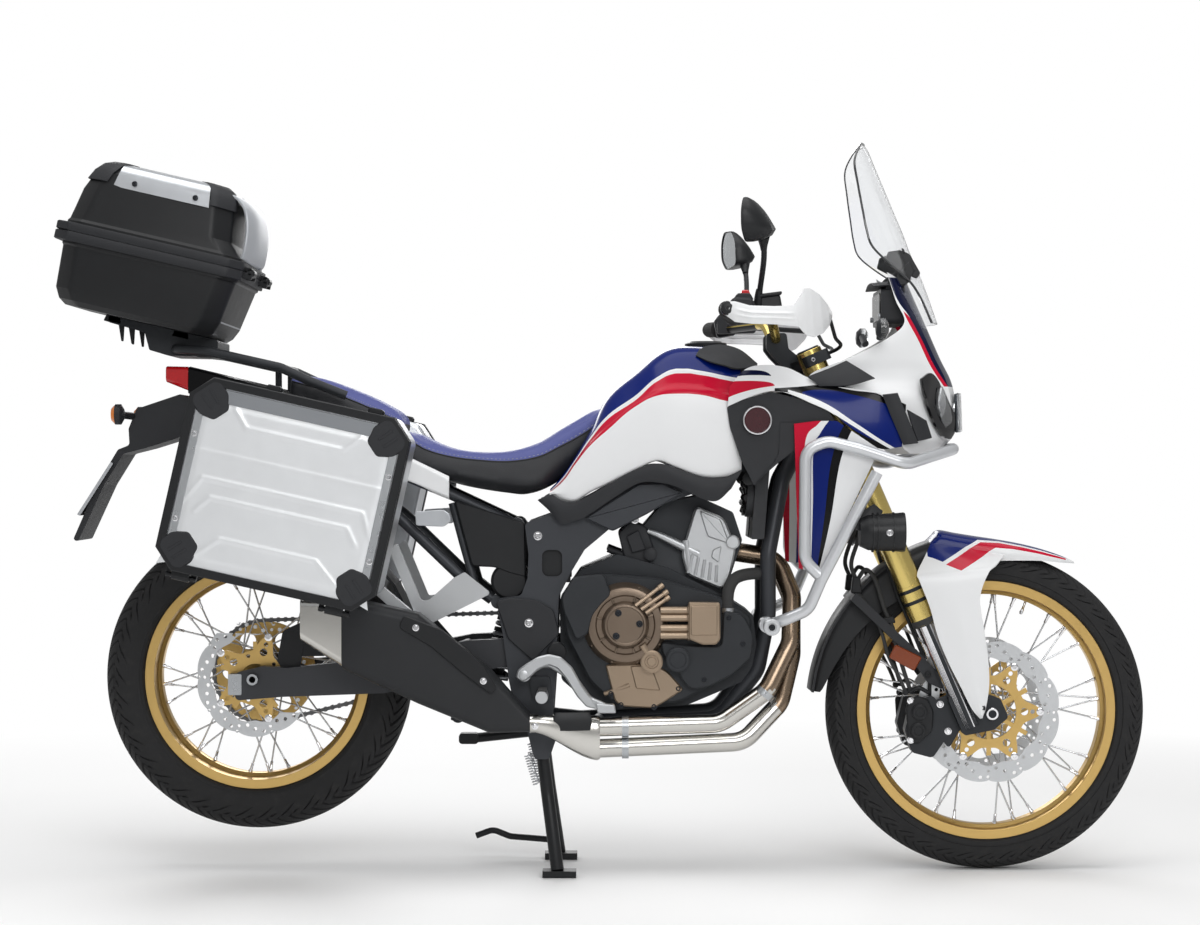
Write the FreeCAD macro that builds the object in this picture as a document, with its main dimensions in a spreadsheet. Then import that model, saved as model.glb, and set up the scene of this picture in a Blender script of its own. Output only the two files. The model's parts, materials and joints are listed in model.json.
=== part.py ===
import FreeCAD, Part
import math
import os

# Adventure motorcycle on its centre stand. Millimetres: +X forward, +Y left, +Z up, floor at Z = 0.
V = FreeCAD.Vector
os.makedirs("parts", exist_ok=True)
doc = FreeCAD.newDocument("adventure_motorcycle")

# name, value, meaning
SIZES = [
    ("front_axle_x", 824.5, "front axle, forward of the middle"),
    ("rear_axle_x", -761.5, "rear axle, held off the floor by the stand"),
    ("rear_axle_z", 422.0, "rear axle height on the stand"),
    ("front_tyre_radius", 347.7, "90/90-21 tyre"),
    ("front_tyre_width", 90.0, "90/90-21 tyre"),
    ("front_bead_radius", 266.7, "21 inch bead seat"),
    ("rear_tyre_radius", 333.6, "150/70-18 tyre"),
    ("rear_tyre_width", 150.0, "150/70-18 tyre"),
    ("rear_bead_radius", 228.6, "18 inch bead seat"),
    ("rim_lip", 15.0, "height of the rim lip over the bead seat"),
    ("spoke_radius", 2.2, "wire spoke"),
    ("seat_gap", 0.25, "clearance where one piece seats on another"),
    ("axle_radius", 12.0, "hollow axle, outside"),
    ("axle_bore_radius", 7.0, "hollow axle, inside"),
    ("running_fit", 0.05, "radial clearance of what turns on a pin"),
    ("front_disc_radius", 155.0, "front brake discs"),
    ("front_disc_y", 72.0, "front discs, out from the middle"),
    ("rear_disc_radius", 128.0, "rear brake disc"),
    ("rear_disc_y", -85.0, "rear disc"),
    ("disc_thick", 5.0, "brake discs"),
    ("rake", 23.5, "steering axis, degrees from upright"),
    ("fork_spread", 105.0, "fork legs, out from the middle"),
    ("fork_lead", 50.0, "axle, forward of the fork legs"),
    ("yoke_offset", 30.0, "fork legs, forward of the steering axis"),
    ("fork_tube_radius", 28.0, "upper fork tubes"),
    ("fork_slider_radius", 22.0, "chromed sliders"),
    ("bar_radius", 11.0, "handlebar ends"),
    ("crash_bar_radius", 12.5, "crash bars"),
    ("frame_tube_radius", 17.0, "cradle tubes"),
    ("subframe_tube_radius", 12.0, "rear frame tubes"),
    ("stand_tube_radius", 14.0, "centre stand legs"),
    ("stand_pivot_x", -142.0, "centre stand pivot"),
    ("stand_pivot_z", 266.0, "centre stand pivot"),
    ("pin_radius", 8.0, "stand pivot pins"),
    ("pannier_width", 225.0, "panniers, across the bike"),
    ("pannier_out", 470.0, "outer faces of the panniers from the middle"),
    ("pannier_tilt", 12.7, "panniers, nose down, degrees"),
    ("pannier_wall", 3.0, "pannier wall"),
    ("pannier_lid_depth", 34.0, "pannier lid, over the box"),
    ("box_half_width", 205.0, "top box"),
    ("box_wall", 4.0, "top box wall"),
    ("lid_gap", 0.3, "between a lid and its box"),
    ("hinge_radius", 5.0, "lid hinge pins"),
    ("screen_thick", 4.0, "windscreen"),
    ("chain_width", 14.0, "drive chain"),
    ("sprocket_radius", 112.0, "rear sprocket"),
    ("front_sprocket_radius", 35.0, "front sprocket"),
    ("vent_radius", 4.5, "ventilation holes in the brake discs"),
    ("exhaust_radius", 20.0, "header pipes"),
    ("rack_tube_radius", 9.0, "pannier hoops and cross bars"),
    ("grab_radius", 10.0, "grab rail"),
    ("peg_radius", 13.0, "rider's footpegs"),
    ("engine_half", 111.0, "crankcase, out from the middle"),
    ("head_half", 92.0, "cylinder head, out from the middle"),
    ("swingarm_y", 112.0, "swingarm legs, out from the middle"),
    ("swingarm_leg", 28.0, "swingarm legs, across"),
    ("filler_radius", 44.0, "filler cap"),
    ("mudguard_gap", 34.0, "front mudguard, clear of the tyre"),
    ("pannier_recess", 4.0, "outer panel of a pannier lid, in from its frame"),
    ("chain_y", 90.0, "chain line, left of the middle"),
]
sheet = doc.addObject("Spreadsheet::Sheet", "sizes")
for row, (alias, amount, note) in enumerate(SIZES, 1):
    sheet.set("A%d" % row, note)
    sheet.set("B%d" % row, str(amount))
    sheet.setAlias("B%d" % row, alias)
doc.recompute()


def size(alias):
    return float(sheet.get(alias))


counter = 0
RUN_SHARE = 0.47  # how much of a straight run a rounded corner may take


def add(kind, hint):
    global counter
    counter += 1
    return doc.addObject(kind, "%s_%d" % (hint, counter))


def bind(thing, field, amount):
    """Bind a property to a cell or formula, or set a plain number."""
    if isinstance(amount, str):
        thing.setExpression(field, amount)
    else:
        setattr(thing, field, amount)


def along(direction):
    return FreeCAD.Rotation(V(0, 0, 1), direction)


def rod(start, end, radius, bore=None):
    """A round bar between two points, hollow when it has a bore."""
    start, end = V(*start), V(*end)
    bars = []
    for amount in [radius] + ([bore] if bore else []):
        bar = add("Part::Cylinder", "rod")
        bind(bar, "Radius", amount)
        bar.Height = (end - start).Length
        bar.Placement = FreeCAD.Placement(start, along(end - start))
        bars.append(bar)
    return bars[0] if not bore else cut(bars[0], bars[1])


def cut(base, *tools):
    for tool in tools:
        piece = add("Part::Cut", "cut")
        piece.Base = base
        piece.Tool = tool
        base = piece
    return base


def fuse(*members):
    if len(members) == 1:
        return members[0]
    piece = add("Part::MultiFuse", "joined")
    piece.Shapes = list(members)
    return piece


def common(base, tool):
    piece = add("Part::Common", "shared")
    piece.Base = base
    piece.Tool = tool
    return piece


def mirror(thing):
    twin = add("Part::Mirroring", "twin")
    twin.Source = thing
    twin.Normal = V(0, 1, 0)
    return twin


def pair(*things):
    return [side for thing in things for side in (thing, mirror(thing))]


def outline(points, radius, closed=True):
    """Edges through the points, each corner rounded to the radius or as far as its runs allow."""
    pts = [V(*(list(p) + [0] * (3 - len(p)))) for p in points]
    edges = []
    first = last = None
    for i, here in enumerate(pts):
        begin = finish = here
        corner = None
        if closed or 0 < i < len(pts) - 1:
            to_back, to_front = V(pts[i - 1] - here), V(pts[(i + 1) % len(pts)] - here)
            half = to_back.getAngle(to_front) / 2
            reach = min(radius / math.tan(half) if half > 0.01 else 0.0,
                        RUN_SHARE * to_back.Length, RUN_SHARE * to_front.Length)
            if reach > 0.05 and half < 1.56:
                to_back.normalize()
                to_front.normalize()
                begin, finish = here + to_back * reach, here + to_front * reach
                sagitta = reach / math.cos(half) - reach * math.tan(half)
                corner = Part.Arc(begin, here + V(to_back + to_front).normalize() * sagitta, finish)
        if last is not None:
            edges.append(Part.LineSegment(last, begin))
        if corner:
            edges.append(corner)
        first = first or begin
        last = finish
    if closed:
        edges.append(Part.LineSegment(last, first))
    return edges


def sketch_in(body, plane, edges):
    face = [f for f in body.Origin.OriginFeatures if f.Role == plane + "_Plane"][0]
    drawing = body.newObject("Sketcher::SketchObject", body.Name + "_profile")
    drawing.AttachmentSupport = [(face, "")]
    drawing.MapMode = "FlatFace"
    for edge in edges:
        drawing.addGeometry(edge)
    return drawing


def padded(hint, plane, edges, thick, middle=True):
    """A body padded from a sketch on one of its own planes, both ways or one way."""
    body = add("PartDesign::Body", hint)
    pad = body.newObject("PartDesign::Pad", body.Name + "_pad")
    pad.Profile = sketch_in(body, plane, edges)
    pad.Midplane = middle
    bind(pad, "Length", thick)
    return body


def slab(points, across, thick, radius=0.0, plane="XZ"):
    """A plate padded both ways from its middle plane; the middle lies at `across`."""
    body = padded("slab", plane, outline(points, radius), thick)
    square = {"XZ": V(0, 1, 0), "YZ": V(1, 0, 0), "XY": V(0, 0, 1)}[plane]
    body.Placement.Base = square * across
    return body


def turned(profile, centre, axis=(0, 1, 0), radius=0.0):
    """A ring or drum: profile points are (along the axis, out from it)."""
    body = add("PartDesign::Body", "turned")
    drawing = sketch_in(body, "XY", outline(profile, radius))
    spin = body.newObject("PartDesign::Revolution", body.Name + "_spin")
    spin.Profile = drawing
    spin.ReferenceAxis = (drawing, ["H_Axis"])
    spin.Angle = 360
    body.Placement = FreeCAD.Placement(V(*centre), FreeCAD.Rotation(V(1, 0, 0), V(*axis)))
    return body


def tube(points, radius, bend):
    """A round tube along straight runs and tangent arcs."""
    edges = outline(points, bend, closed=False)
    path = add("Part::Feature", "path")
    path.Shape = Part.Wire([e.toShape() for e in edges])
    section = add("Part::Circle", "section")
    bind(section, "Radius", radius)
    heading = V(*points[1]) - V(*points[0])
    section.Placement = FreeCAD.Placement(V(*points[0]), along(heading))
    sweep = add("Part::Sweep", "tube")
    sweep.Sections = [section]
    sweep.Spine = (path, ["Edge%d" % (i + 1) for i in range(len(edges))])
    sweep.Solid = True
    return sweep


def loft(sections, radius=0.0, plane="YZ", ruled=True):
    """A body through a few like outlines; each section is (place, points)."""
    drawings = []
    for place, points in sections:
        wire = add("Part::Feature", "section")
        swap = {"YZ": lambda p: (place, p[0], p[1]), "XZ": lambda p: (p[0], place, p[1]),
                "XY": lambda p: (p[0], p[1], place)}[plane]
        wire.Shape = Part.Wire([e.toShape() for e in outline([swap(p) for p in points], radius)])
        drawings.append(wire)
    body = add("Part::Loft", "loft")
    body.Sections = drawings
    body.Solid = True
    body.Ruled = ruled
    return body


def block(corner, lengths):
    box = add("Part::Box", "block")
    for field, amount in zip(("Length", "Width", "Height"), lengths):
        bind(box, field, amount)
    box.Placement.Base = V(*corner)
    return box


NODES = {}


def node(label, *members):
    """One named sub-part, written to parts/LABEL.step."""
    piece = add("Part::Compound", label)
    piece.Links = list(members)
    piece.Label = label
    NODES[label] = piece


# Places ahead of the tank follow the front axle: those on the steering and the nose ride along
# whole, and those between the spars and the steering head stretch in proportion.
DRAWN_AXLE_X = 824.5
SPAR_FRONT, HEAD_BACK = 235.0, 440.0
LEAD = size("front_axle_x") - DRAWN_AXLE_X


def carried(*points):
    """Points on the fork or the nose, moved along with the front axle."""
    moved = [(p[0] + LEAD,) + tuple(p[1:]) for p in points]
    return moved if len(moved) > 1 else moved[0]


def stretch(x):
    return x + LEAD * min(max((x - SPAR_FRONT) / (HEAD_BACK - SPAR_FRONT), 0.0), 1.0)


def stretched(*points):
    """Points between the spars and the nose, moved by their share of the way to the head."""
    moved = [(stretch(p[0]),) + tuple(p[1:]) for p in points]
    return moved if len(moved) > 1 else moved[0]


# ---------------------------------------------------------------- wheels
GAP = size("seat_gap")
AXLE_FIT = size("axle_radius") + size("running_fit")
WHEELS = {
    "front": dict(x=size("front_axle_x"), z=size("front_tyre_radius"), tyre=size("front_tyre_radius"),
                  half=size("front_tyre_width") / 2, bead=size("front_bead_radius"), rim_half=35.0,
                  hub=30.0, flange=36.0, flange_y=34.0, hub_half=66.0, spokes=9),
    "rear": dict(x=size("rear_axle_x"), z=size("rear_axle_z"), tyre=size("rear_tyre_radius"),
                 half=size("rear_tyre_width") / 2, bead=size("rear_bead_radius"), rim_half=58.0,
                 hub=38.0, flange=46.0, flange_y=44.0, hub_half=78.0, spokes=8),
}


def tyre(w):
    lip, bead, half, top = w["rim_half"] - 4 - GAP, w["bead"] + GAP, w["half"], w["tyre"]
    belly = bead + (top - bead) * 0.5
    lip_top = bead + size("rim_lip") + 1
    profile = [(-lip, bead), (-lip, lip_top), (-half, belly), (-half * 0.93, top - half * 0.34), (-half * 0.5, top - half * 0.07),
               (0, top), (half * 0.5, top - half * 0.07), (half * 0.93, top - half * 0.34), (half, belly),
               (lip, lip_top), (lip, bead), (lip - 9, bead), (half - 10, belly), (half * 0.7, top - half * 0.3),
               (0, top - 12), (-half * 0.7, top - half * 0.3), (10 - half, belly), (9 - lip, bead)]
    return turned(profile, (w["x"], 0, w["z"]))


def rim(w):
    half, bead = w["rim_half"], w["bead"]
    lip = bead + size("rim_lip")
    well = bead - 9
    profile = [(-half, lip), (4 - half, lip), (4 - half, bead), (-18, bead - 2), (-13, well), (13, well),
               (18, bead - 2), (half - 4, bead), (half - 4, lip), (half, lip), (half, bead - 5), (20, bead - 7),
               (15, well - 6), (-15, well - 6), (-20, bead - 7), (-half, bead - 5)]
    return turned(profile, (w["x"], 0, w["z"]))


def spokes(w):
    """Tangent-laced wire spokes: on each side, one set leans forward and one back."""
    wires = []
    inner, outer = w["flange"] + size("spoke_radius") + GAP, w["bead"] - 15.6 - GAP
    swing = math.acos(inner / outer)
    for side in (-1, 1):
        for lean, at_hub, at_rim in ((-1, w["flange_y"] - 3.5, 11.5), (1, w["flange_y"] + 3.5, 5.0)):
            for index in range(w["spokes"]):
                turn = 2 * math.pi * (index + 0.25 * (1 + side) / 2 + 0.125 * lean) / w["spokes"]
                hub_turn = turn - lean * swing
                wires.append(rod((w["x"] + inner * math.cos(hub_turn), side * at_hub, w["z"] + inner * math.sin(hub_turn)),
                                 (w["x"] + outer * math.cos(turn), side * at_rim, w["z"] + outer * math.sin(turn)),
                                 "sizes.spoke_radius"))
    return wires


def hub(w, ends):
    flange, barrel, bore = w["flange"], w["hub"], size("axle_radius") + size("running_fit")
    y = w["flange_y"]
    profile = [(-w["hub_half"], bore), (-w["hub_half"], barrel - 4), (-y - 8, barrel), (-y - 7, flange), (7 - y, flange),
               (12 - y, barrel - 6), (y - 12, barrel - 6), (y - 7, flange), (y + 7, flange), (y + 8, barrel),
               (w["hub_half"], barrel - 4), (w["hub_half"], bore)]
    return fuse(turned(profile, (w["x"], 0, w["z"])), *ends)


PETAL_DIP = 5.0


def around(w, reach, turn):
    """A place round an axle, as (x, z)."""
    return (w["x"] + reach * math.cos(turn), w["z"] + reach * math.sin(turn))


def petal_disc(w, y, radius, waves, bore):
    """A wavy-edged brake rotor: a round bore, and in each petal two staggered ventilation holes."""
    step = math.pi / waves
    crest = min(radius / math.cos(step / 2), radius + 1.5)
    edges = outline([around(w, crest - (PETAL_DIP if k % 2 else 0), k * step) for k in range(2 * waves)], 14.0)
    edges.append(Part.Circle(V(w["x"], w["z"], 0), V(0, 0, 1), bore))
    face = radius - bore
    for k in range(waves):
        for share, turn in ((0.36, 2 * k * step), (0.66, (2 * k + 1) * step)):
            spot = around(w, bore + face * share, turn)
            edges.append(Part.Circle(V(spot[0], spot[1], 0), V(0, 0, 1), size("vent_radius")))
    rotor = padded("rotor", "XZ", edges, "sizes.disc_thick")
    rotor.Placement.Base = V(0, y, 0)
    return rotor


def carrier(w, y, bore, reach, arms):
    """The spider that carries a rotor: a ring with arms out to the rotor's bore."""
    thick = size("disc_thick")
    ring = rod((w["x"], y - thick / 2, w["z"]), (w["x"], y + thick / 2, w["z"]), bore + 14, bore)
    spider = [ring]
    for index in range(arms):
        arm = block((0, 0, 0), (10.0, "sizes.disc_thick", reach - bore - 6.8))
        turn = 360.0 * index / arms
        spin = FreeCAD.Rotation(V(0, 1, 0), turn)
        arm.Placement = FreeCAD.Placement(V(w["x"], y, w["z"]) + spin.multVec(V(-5, -thick / 2, bore + 5)), spin)
        spider.append(arm)
    return spider


front, rear = WHEELS["front"], WHEELS["rear"]
disc_y = size("front_disc_y")
node("front_tyre", tyre(front))
node("front_rim", rim(front))
node("front_spokes", *spokes(front))
node("front_hub", hub(front, [p for y in (-disc_y, disc_y) for p in carrier(front, y, 25.0, 97.0, 6)]
                      + pair(rod((front["x"], 60, front["z"]), (front["x"], disc_y, front["z"]), AXLE_FIT + 14.5, AXLE_FIT))))
node("front_discs", petal_disc(front, -disc_y, size("front_disc_radius"), 12, 95.5),
     petal_disc(front, disc_y, size("front_disc_radius"), 12, 95.5))
node("rear_tyre", tyre(rear))
node("rear_rim", rim(rear))
node("rear_spokes", *spokes(rear))
SPROCKET_RADIUS = size("sprocket_radius")
chain_y = size("chain_y")
sprocket = turned([(-3, AXLE_FIT), (-3, SPROCKET_RADIUS), (3, SPROCKET_RADIUS), (3, AXLE_FIT)],
                  (rear["x"], chain_y, rear["z"]))
windows = []
for k in range(6):
    x, z = around(rear, 78.0, math.pi * k / 3)
    windows.append(rod((x, chain_y - 9, z), (x, chain_y + 9, z), 18.0))
node("rear_hub", hub(rear, [cut(sprocket, *windows),
                            rod((rear["x"], 70, rear["z"]), (rear["x"], chain_y, rear["z"]), 45.0, AXLE_FIT),
                            rod((rear["x"], -70, rear["z"]), (rear["x"], size("rear_disc_y") + 2.5, rear["z"]), 34.0, AXLE_FIT)]
                     + carrier(rear, size("rear_disc_y"), 30.0, 80.0, 5)))
node("rear_disc", petal_disc(rear, size("rear_disc_y"), size("rear_disc_radius"), 10, 78.5))

# ---------------------------------------------------------------- fork and steering
RAKE = math.radians(size("rake"))
UP = V(-math.sin(RAKE), 0, math.cos(RAKE))
AHEAD = V(math.cos(RAKE), 0, math.sin(RAKE))
AXLE = V(front["x"], 0, front["z"])


def fork(rise, ahead=0.0, y=0.0):
    """A place by its height up the fork leg and its distance ahead of the leg."""
    spot = AXLE - AHEAD * size("fork_lead") + UP * rise + AHEAD * ahead
    return (spot.x, y, spot.z)


spread = size("fork_spread")
STEER = -size("yoke_offset")
LOW_YOKE, TOP_YOKE, COLLAR = 640.0, 850.0, 232.0


def square_to_fork(body, rise):
    body.Placement = FreeCAD.Placement(V(*fork(rise)), FreeCAD.Rotation(V(0, 0, 1), UP))
    return body


def fork_plate(rise, thick, half_y, clear):
    """A yoke: a plate square to the fork, clamped round both legs and the stem."""
    shape = [(-52, -38), (-52, 38), (-16, half_y), (38, half_y), (38, half_y - 62), (4, 30), (4, -30), (38, 62 - half_y),
             (38, -half_y), (-16, -half_y)]
    body = square_to_fork(padded("yoke", "XY", outline(shape, 9.0), thick), rise)
    legs = [rod(fork(rise - 60, 0, y), fork(rise + 60, 0, y), size("fork_tube_radius") + clear) for y in (-spread, spread)]
    return cut(body, *legs)


def steering_room(low, high, behind, half):
    """The space behind the steering axis that the fork sweeps, between two heights up the leg."""
    shape = [(STEER - behind, -half), (STEER - behind, half), (200, half), (200, -half)]
    return square_to_fork(padded("room", "XY", outline(shape, 30.0), high - low, middle=False), low)


node("fork_tubes", *pair(rod(fork(COLLAR, 0, spread), fork(TOP_YOKE + 22, 0, spread), "sizes.fork_tube_radius")))
YOKE_HALF, STEM_RADIUS = spread + 34.0, 13.0
low_yoke = fork_plate(LOW_YOKE, 34.0, YOKE_HALF, GAP)
top_yoke = fork_plate(TOP_YOKE, 24.0, YOKE_HALF, GAP)
node("fork_yokes", fuse(low_yoke, top_yoke, rod(fork(LOW_YOKE - 16, STEER), fork(TOP_YOKE + 11, STEER), STEM_RADIUS)))
lug = slab([(fork(70, -24)[0], fork(70, -24)[2]), (fork(70, 26)[0], fork(70, 26)[2]), (fork(22, 80)[0], fork(22, 80)[2]),
            (fork(-22, 80)[0], fork(-22, 80)[2]), (fork(-34, 40)[0], fork(-34, 40)[2]), (fork(-20, -24)[0], fork(-20, -24)[2])],
           spread, 30.0, 10.0)
axle_hole = rod((AXLE.x, 60, AXLE.z), (AXLE.x, 160, AXLE.z), size("axle_radius") + 0.02)
slider = fuse(rod(fork(-10, 0, spread), fork(COLLAR - GAP, 0, spread), "sizes.fork_slider_radius"), lug)
node("fork_sliders", *pair(cut(slider, axle_hole)),
     rod((AXLE.x, -126, AXLE.z), (AXLE.x, 126, AXLE.z), "sizes.axle_radius", "sizes.axle_bore_radius"))

caliper = slab(carried((655, 372), (700, 385), (728, 352), (735, 300), (700, 250), (655, 262), (640, 310)), spread - 27, 44.0,
               12.0)
disc_room = rod((AXLE.x, disc_y - 5, AXLE.z), (AXLE.x, disc_y + 5, AXLE.z), size("front_disc_radius") + 6)
rim_room = rod((AXLE.x, 30, AXLE.z), (AXLE.x, spread - 41, AXLE.z), 300.0)
bracket = slab(carried((700, 372), (742, 392), (770, 330), (735, 270), (712, 300)), spread - 9, 8.0, 6.0)
caliper_piece = cut(fuse(cut(caliper, disc_room), cut(bracket, lug)), slider)
node("front_calipers", *pair(caliper_piece))

# Mudguard with its fork guards: an arched shell over the tyre and a blade down each leg.
crown = carried((1024, 668), (978, 691), (900, 712), (800, 727), (723, 739), (701, 711), (712, 690), (800, 690), (900, 680),
                (985, 660))
shell = slab(crown, 0, 2 * 58.0, 8.0)
hollow = slab(carried((1040, 642), (985, 672), (900, 695), (824, 707), (690, 718), (690, 600), (1040, 600)), 0, 2 * 53.0, 6.0)
blade_out = carried((701, 711), (673, 654), (662, 646), (690, 575), (706, 516), (728, 461), (753, 411), (778, 361), (806, 338),
                    (818, 345), (829, 355), (818, 411), (814, 466), (806, 521), (799, 576), (781, 621), (818, 659),
                    (853, 680), (800, 712))
guard_side = slab(blade_out, spread + 32, 5.0, 10.0)
bridge = slab(carried((701, 711), (712, 735), (800, 724), (800, 690), (720, 690)), 0, 2 * (spread + 30), 8.0)
bridge_room = slab(carried((680, 700), (704, 706), (725, 722), (802, 712), (802, 600), (680, 600)), 0, 2 * (spread + 26), 8.0)
guard_boss = rod(*carried((784, spread + 15.1, 374), (784, spread + 31, 374)), 9.0)
axle_end = rod((AXLE.x, -200, AXLE.z), (AXLE.x, 200, AXLE.z), size("axle_radius") + 8)
guard = cut(fuse(shell, cut(bridge, bridge_room), *pair(guard_side, guard_boss)), hollow, axle_end)
FENDER_RADIUS = size("front_tyre_radius") + size("mudguard_gap") + 2.3
arc = [(AXLE.x + r * math.cos(math.radians(a)), AXLE.z + r * math.sin(math.radians(a)))
       for r, angles in ((FENDER_RADIUS, range(118, 175, 7)), (FENDER_RADIUS - 5, range(174, 117, -7))) for a in angles]
fender = slab(arc, 0, 2 * 56.0)
stay = slab(carried((650, 470), (662, 488), (716, 430), (742, 420), (742, 398), (716, 400), (690, 412)), 92.0, 4.0, 5.0)
feet = slab(carried((536, 606), (664, 484), (652, 470), (524, 590)), 72.0, 44.0, 2.0)
node("front_mudguard", guard, cut(fuse(fender, *pair(feet, stay)), *pair(slider, caliper)))

# Handlebar, grips, guards, mirrors and cables turn with the fork.
bar_r = size("bar_radius")
BAR_HALF = [(239, 430, 1199), (268, 250, 1192), (352, 105, 1196), (366, 60, 1150)]
BAR_POINTS = carried(*[(x, -y, z) for x, y, z in BAR_HALF] + BAR_HALF[::-1])
bar_room = tube(BAR_POINTS, bar_r + 0.02, 60.0)
riser = slab(carried((344, 1168), (388, 1168), (392, 1134), (412, 1118), (412, 1092), (382, 1092), (356, 1118), (344, 1134)), 50.0,
             24.0, 8.0)
handlebar = tube(BAR_POINTS, "sizes.bar_radius", 60.0)
node("handlebar", handlebar, *pair(cut(riser, bar_room, top_yoke)))
grip = rod(*carried((259, 306, 1194.5), (240, 424, 1198.7)), 16.5)
switch = slab(carried((243, 1216), (290, 1218), (296, 1180), (252, 1172)), 275.0, 44.0, 8.0)
lever = tube(carried((326, 244, 1192), (322, 330, 1196), (300, 400, 1200), (290, 436, 1200)), 6.0, 60.0)
clamp = slab(carried((250, 1210), (338, 1202), (338, 1182), (250, 1180)), 236.0, 26.0, 6.0)
node("grips_and_levers", *pair(cut(fuse(grip, switch), bar_room), cut(clamp, bar_room, switch), cut(lever, switch, clamp)))
# A handguard is one wall: its plan curve swept upright, trimmed to its narrow arm and flared front.
guard_plan = carried((245, 452), (300, 466), (370, 450), (430, 400), (462, 330), (466, 290), (452, 286), (440, 330), (410, 384),
                     (360, 432), (300, 450), (252, 438))
guard_side_view = carried((234, 1183), (300, 1168), (396, 1166), (420, 1150), (452, 1160), (474, 1200), (452, 1230), (432, 1245),
                          (396, 1222), (300, 1224), (234, 1217))
handguard = common(slab(guard_plan, 1197.0, 100.0, 6.0, "XY"), slab(guard_side_view, 370.0, 220.0, 12.0))
guard_arm = rod(*carried((241, 430.3, 1199), (241, 452, 1199)), 14.0)
guard_stay = rod(*carried((334, 238, 1194), (458, 304, 1190)), 6.0)
node("handguards", *pair(cut(fuse(handguard, guard_arm, guard_stay), clamp, handlebar)))
head = slab(carried((285, 1437), (274, 1420), (272, 1370), (285, 1348), (302, 1344), (335, 1356), (345, 1378), (335, 1405),
                    (310, 1430)), 388.0, 96.0, 14.0)
head_front = slab([(340, 1352), (344, 1420), (372, 1440), (420, 1436), (436, 1400), (432, 1360), (400, 1342)], carried((310,))[0],
                  120.0, 16.0, "YZ")
shaped = common(head, head_front)
stem = tube(carried((314, 246, 1203), (318, 262, 1250), (322, 330, 1310), (318, 368, 1362)), 6.0, 40.0)
node("mirrors", *pair(fuse(shaped, cut(stem, clamp))))
CABLE_RADIUS = 4.0
lead = tube(carried((340, 232, 1197), (420, 236, 1216), (468, 206, 1196), (486, 150, 1152))
            + [fork(TOP_YOKE, 74, 96), fork(TOP_YOKE, 30, 70)], CABLE_RADIUS, 40.0)
brake_hose = tube([fork(LOW_YOKE - 20, 12, 62)] + carried((566, 64, 800), (596, 66, 700), (627, 74, 600), (669, 79, 500),
                                                          (696, 80, 430), (696, 80, 372)), CABLE_RADIUS, 60.0)
node("cables", *pair(cut(lead, clamp, top_yoke), cut(brake_hose, low_yoke, caliper_piece)))

# ---------------------------------------------------------------- frame
HEAD_LOW, HEAD_TOP = fork(LOW_YOKE + 24, STEER), fork(TOP_YOKE - 20, STEER)
spar = [(235, 838), (60, 778), (0, 742), (-50, 700), (-80, 650), (-105, 600), (-112, 430), (-120, 312), (-190, 312),
        (-212, 420), (-225, 520), (-240, 595), (-186, 602), (-172, 640), (-170, 690), (-178, 757), (-60, 800), (60, 858),
        (235, 893)]
neck = loft([(234.9, [(109, 838), (139, 838), (139, 893), (109, 893)]), (stretch(350.0), [(34, 900), (58, 900), (58, 975), (34, 975)]),
             (stretch(436.0), [(4, 958), (26, 958), (26, 1044), (4, 1044)])])
window = slab([(-141, 700), (-98, 700), (-98, 643), (-141, 643)], 124.0, 60.0, 14.0)
side_spar = cut(slab(spar, 124.0, 30.0, 12.0), window)
cradle = tube(stretched((448, 14, 982), (378, 64, 850), (345, 100, 690), (345, 100, 560), (322, 100, 440), (240, 98, 335),
                        (-60, 98, 318), (-176, 106, 330)), "sizes.frame_tube_radius", 60.0)
stand_x, stand_z = size("stand_pivot_x"), size("stand_pivot_z")
stand_lug = slab([(stand_x - 34, stand_z + 54), (stand_x + 40, stand_z + 54), (stand_x + 16, stand_z - 16),
                  (stand_x - 16, stand_z - 16)], 116.0, 14.0, 10.0)
stand_pin = rod((stand_x, 58, stand_z), (stand_x, 120, stand_z), "sizes.pin_radius")
head_tube = rod(HEAD_LOW, HEAD_TOP, 32.0)
stem_room = rod(fork(LOW_YOKE, STEER), fork(TOP_YOKE, STEER), STEM_RADIUS + size("running_fit"))
cross = [rod((-190, -112, 622), (-190, 112, 622), 14.0), rod((-20, -98, 318), (-20, 98, 318), 12.0),
         rod(*stretched((345, -100, 640), (345, 100, 640)), 12.0), rod((-205, -112, 352), (-205, 112, 352), 12.0)]
SIDE_AXIS = V(0, 0.94, 0.3412)
SIDE_PIVOT = V(-40, 146, 296)
side_lug = slab([(-84, 330), (4, 330), (-24, 274), (-56, 274)], 117.0, 22.0, 10.0)
side_pin = rod(tuple(SIDE_PIVOT - SIDE_AXIS * 26), tuple(SIDE_PIVOT + SIDE_AXIS * 16), "sizes.pin_radius")
fairing_stay = rod(*carried((454, 0, 1000), (690, 0, 1014)), 11.0)
frame = cut(fuse(fairing_stay, *pair(side_spar, neck, cradle, stand_lug, stand_pin), head_tube, *cross, side_lug, side_pin),
            stem_room)
node("main_frame", frame)

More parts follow.
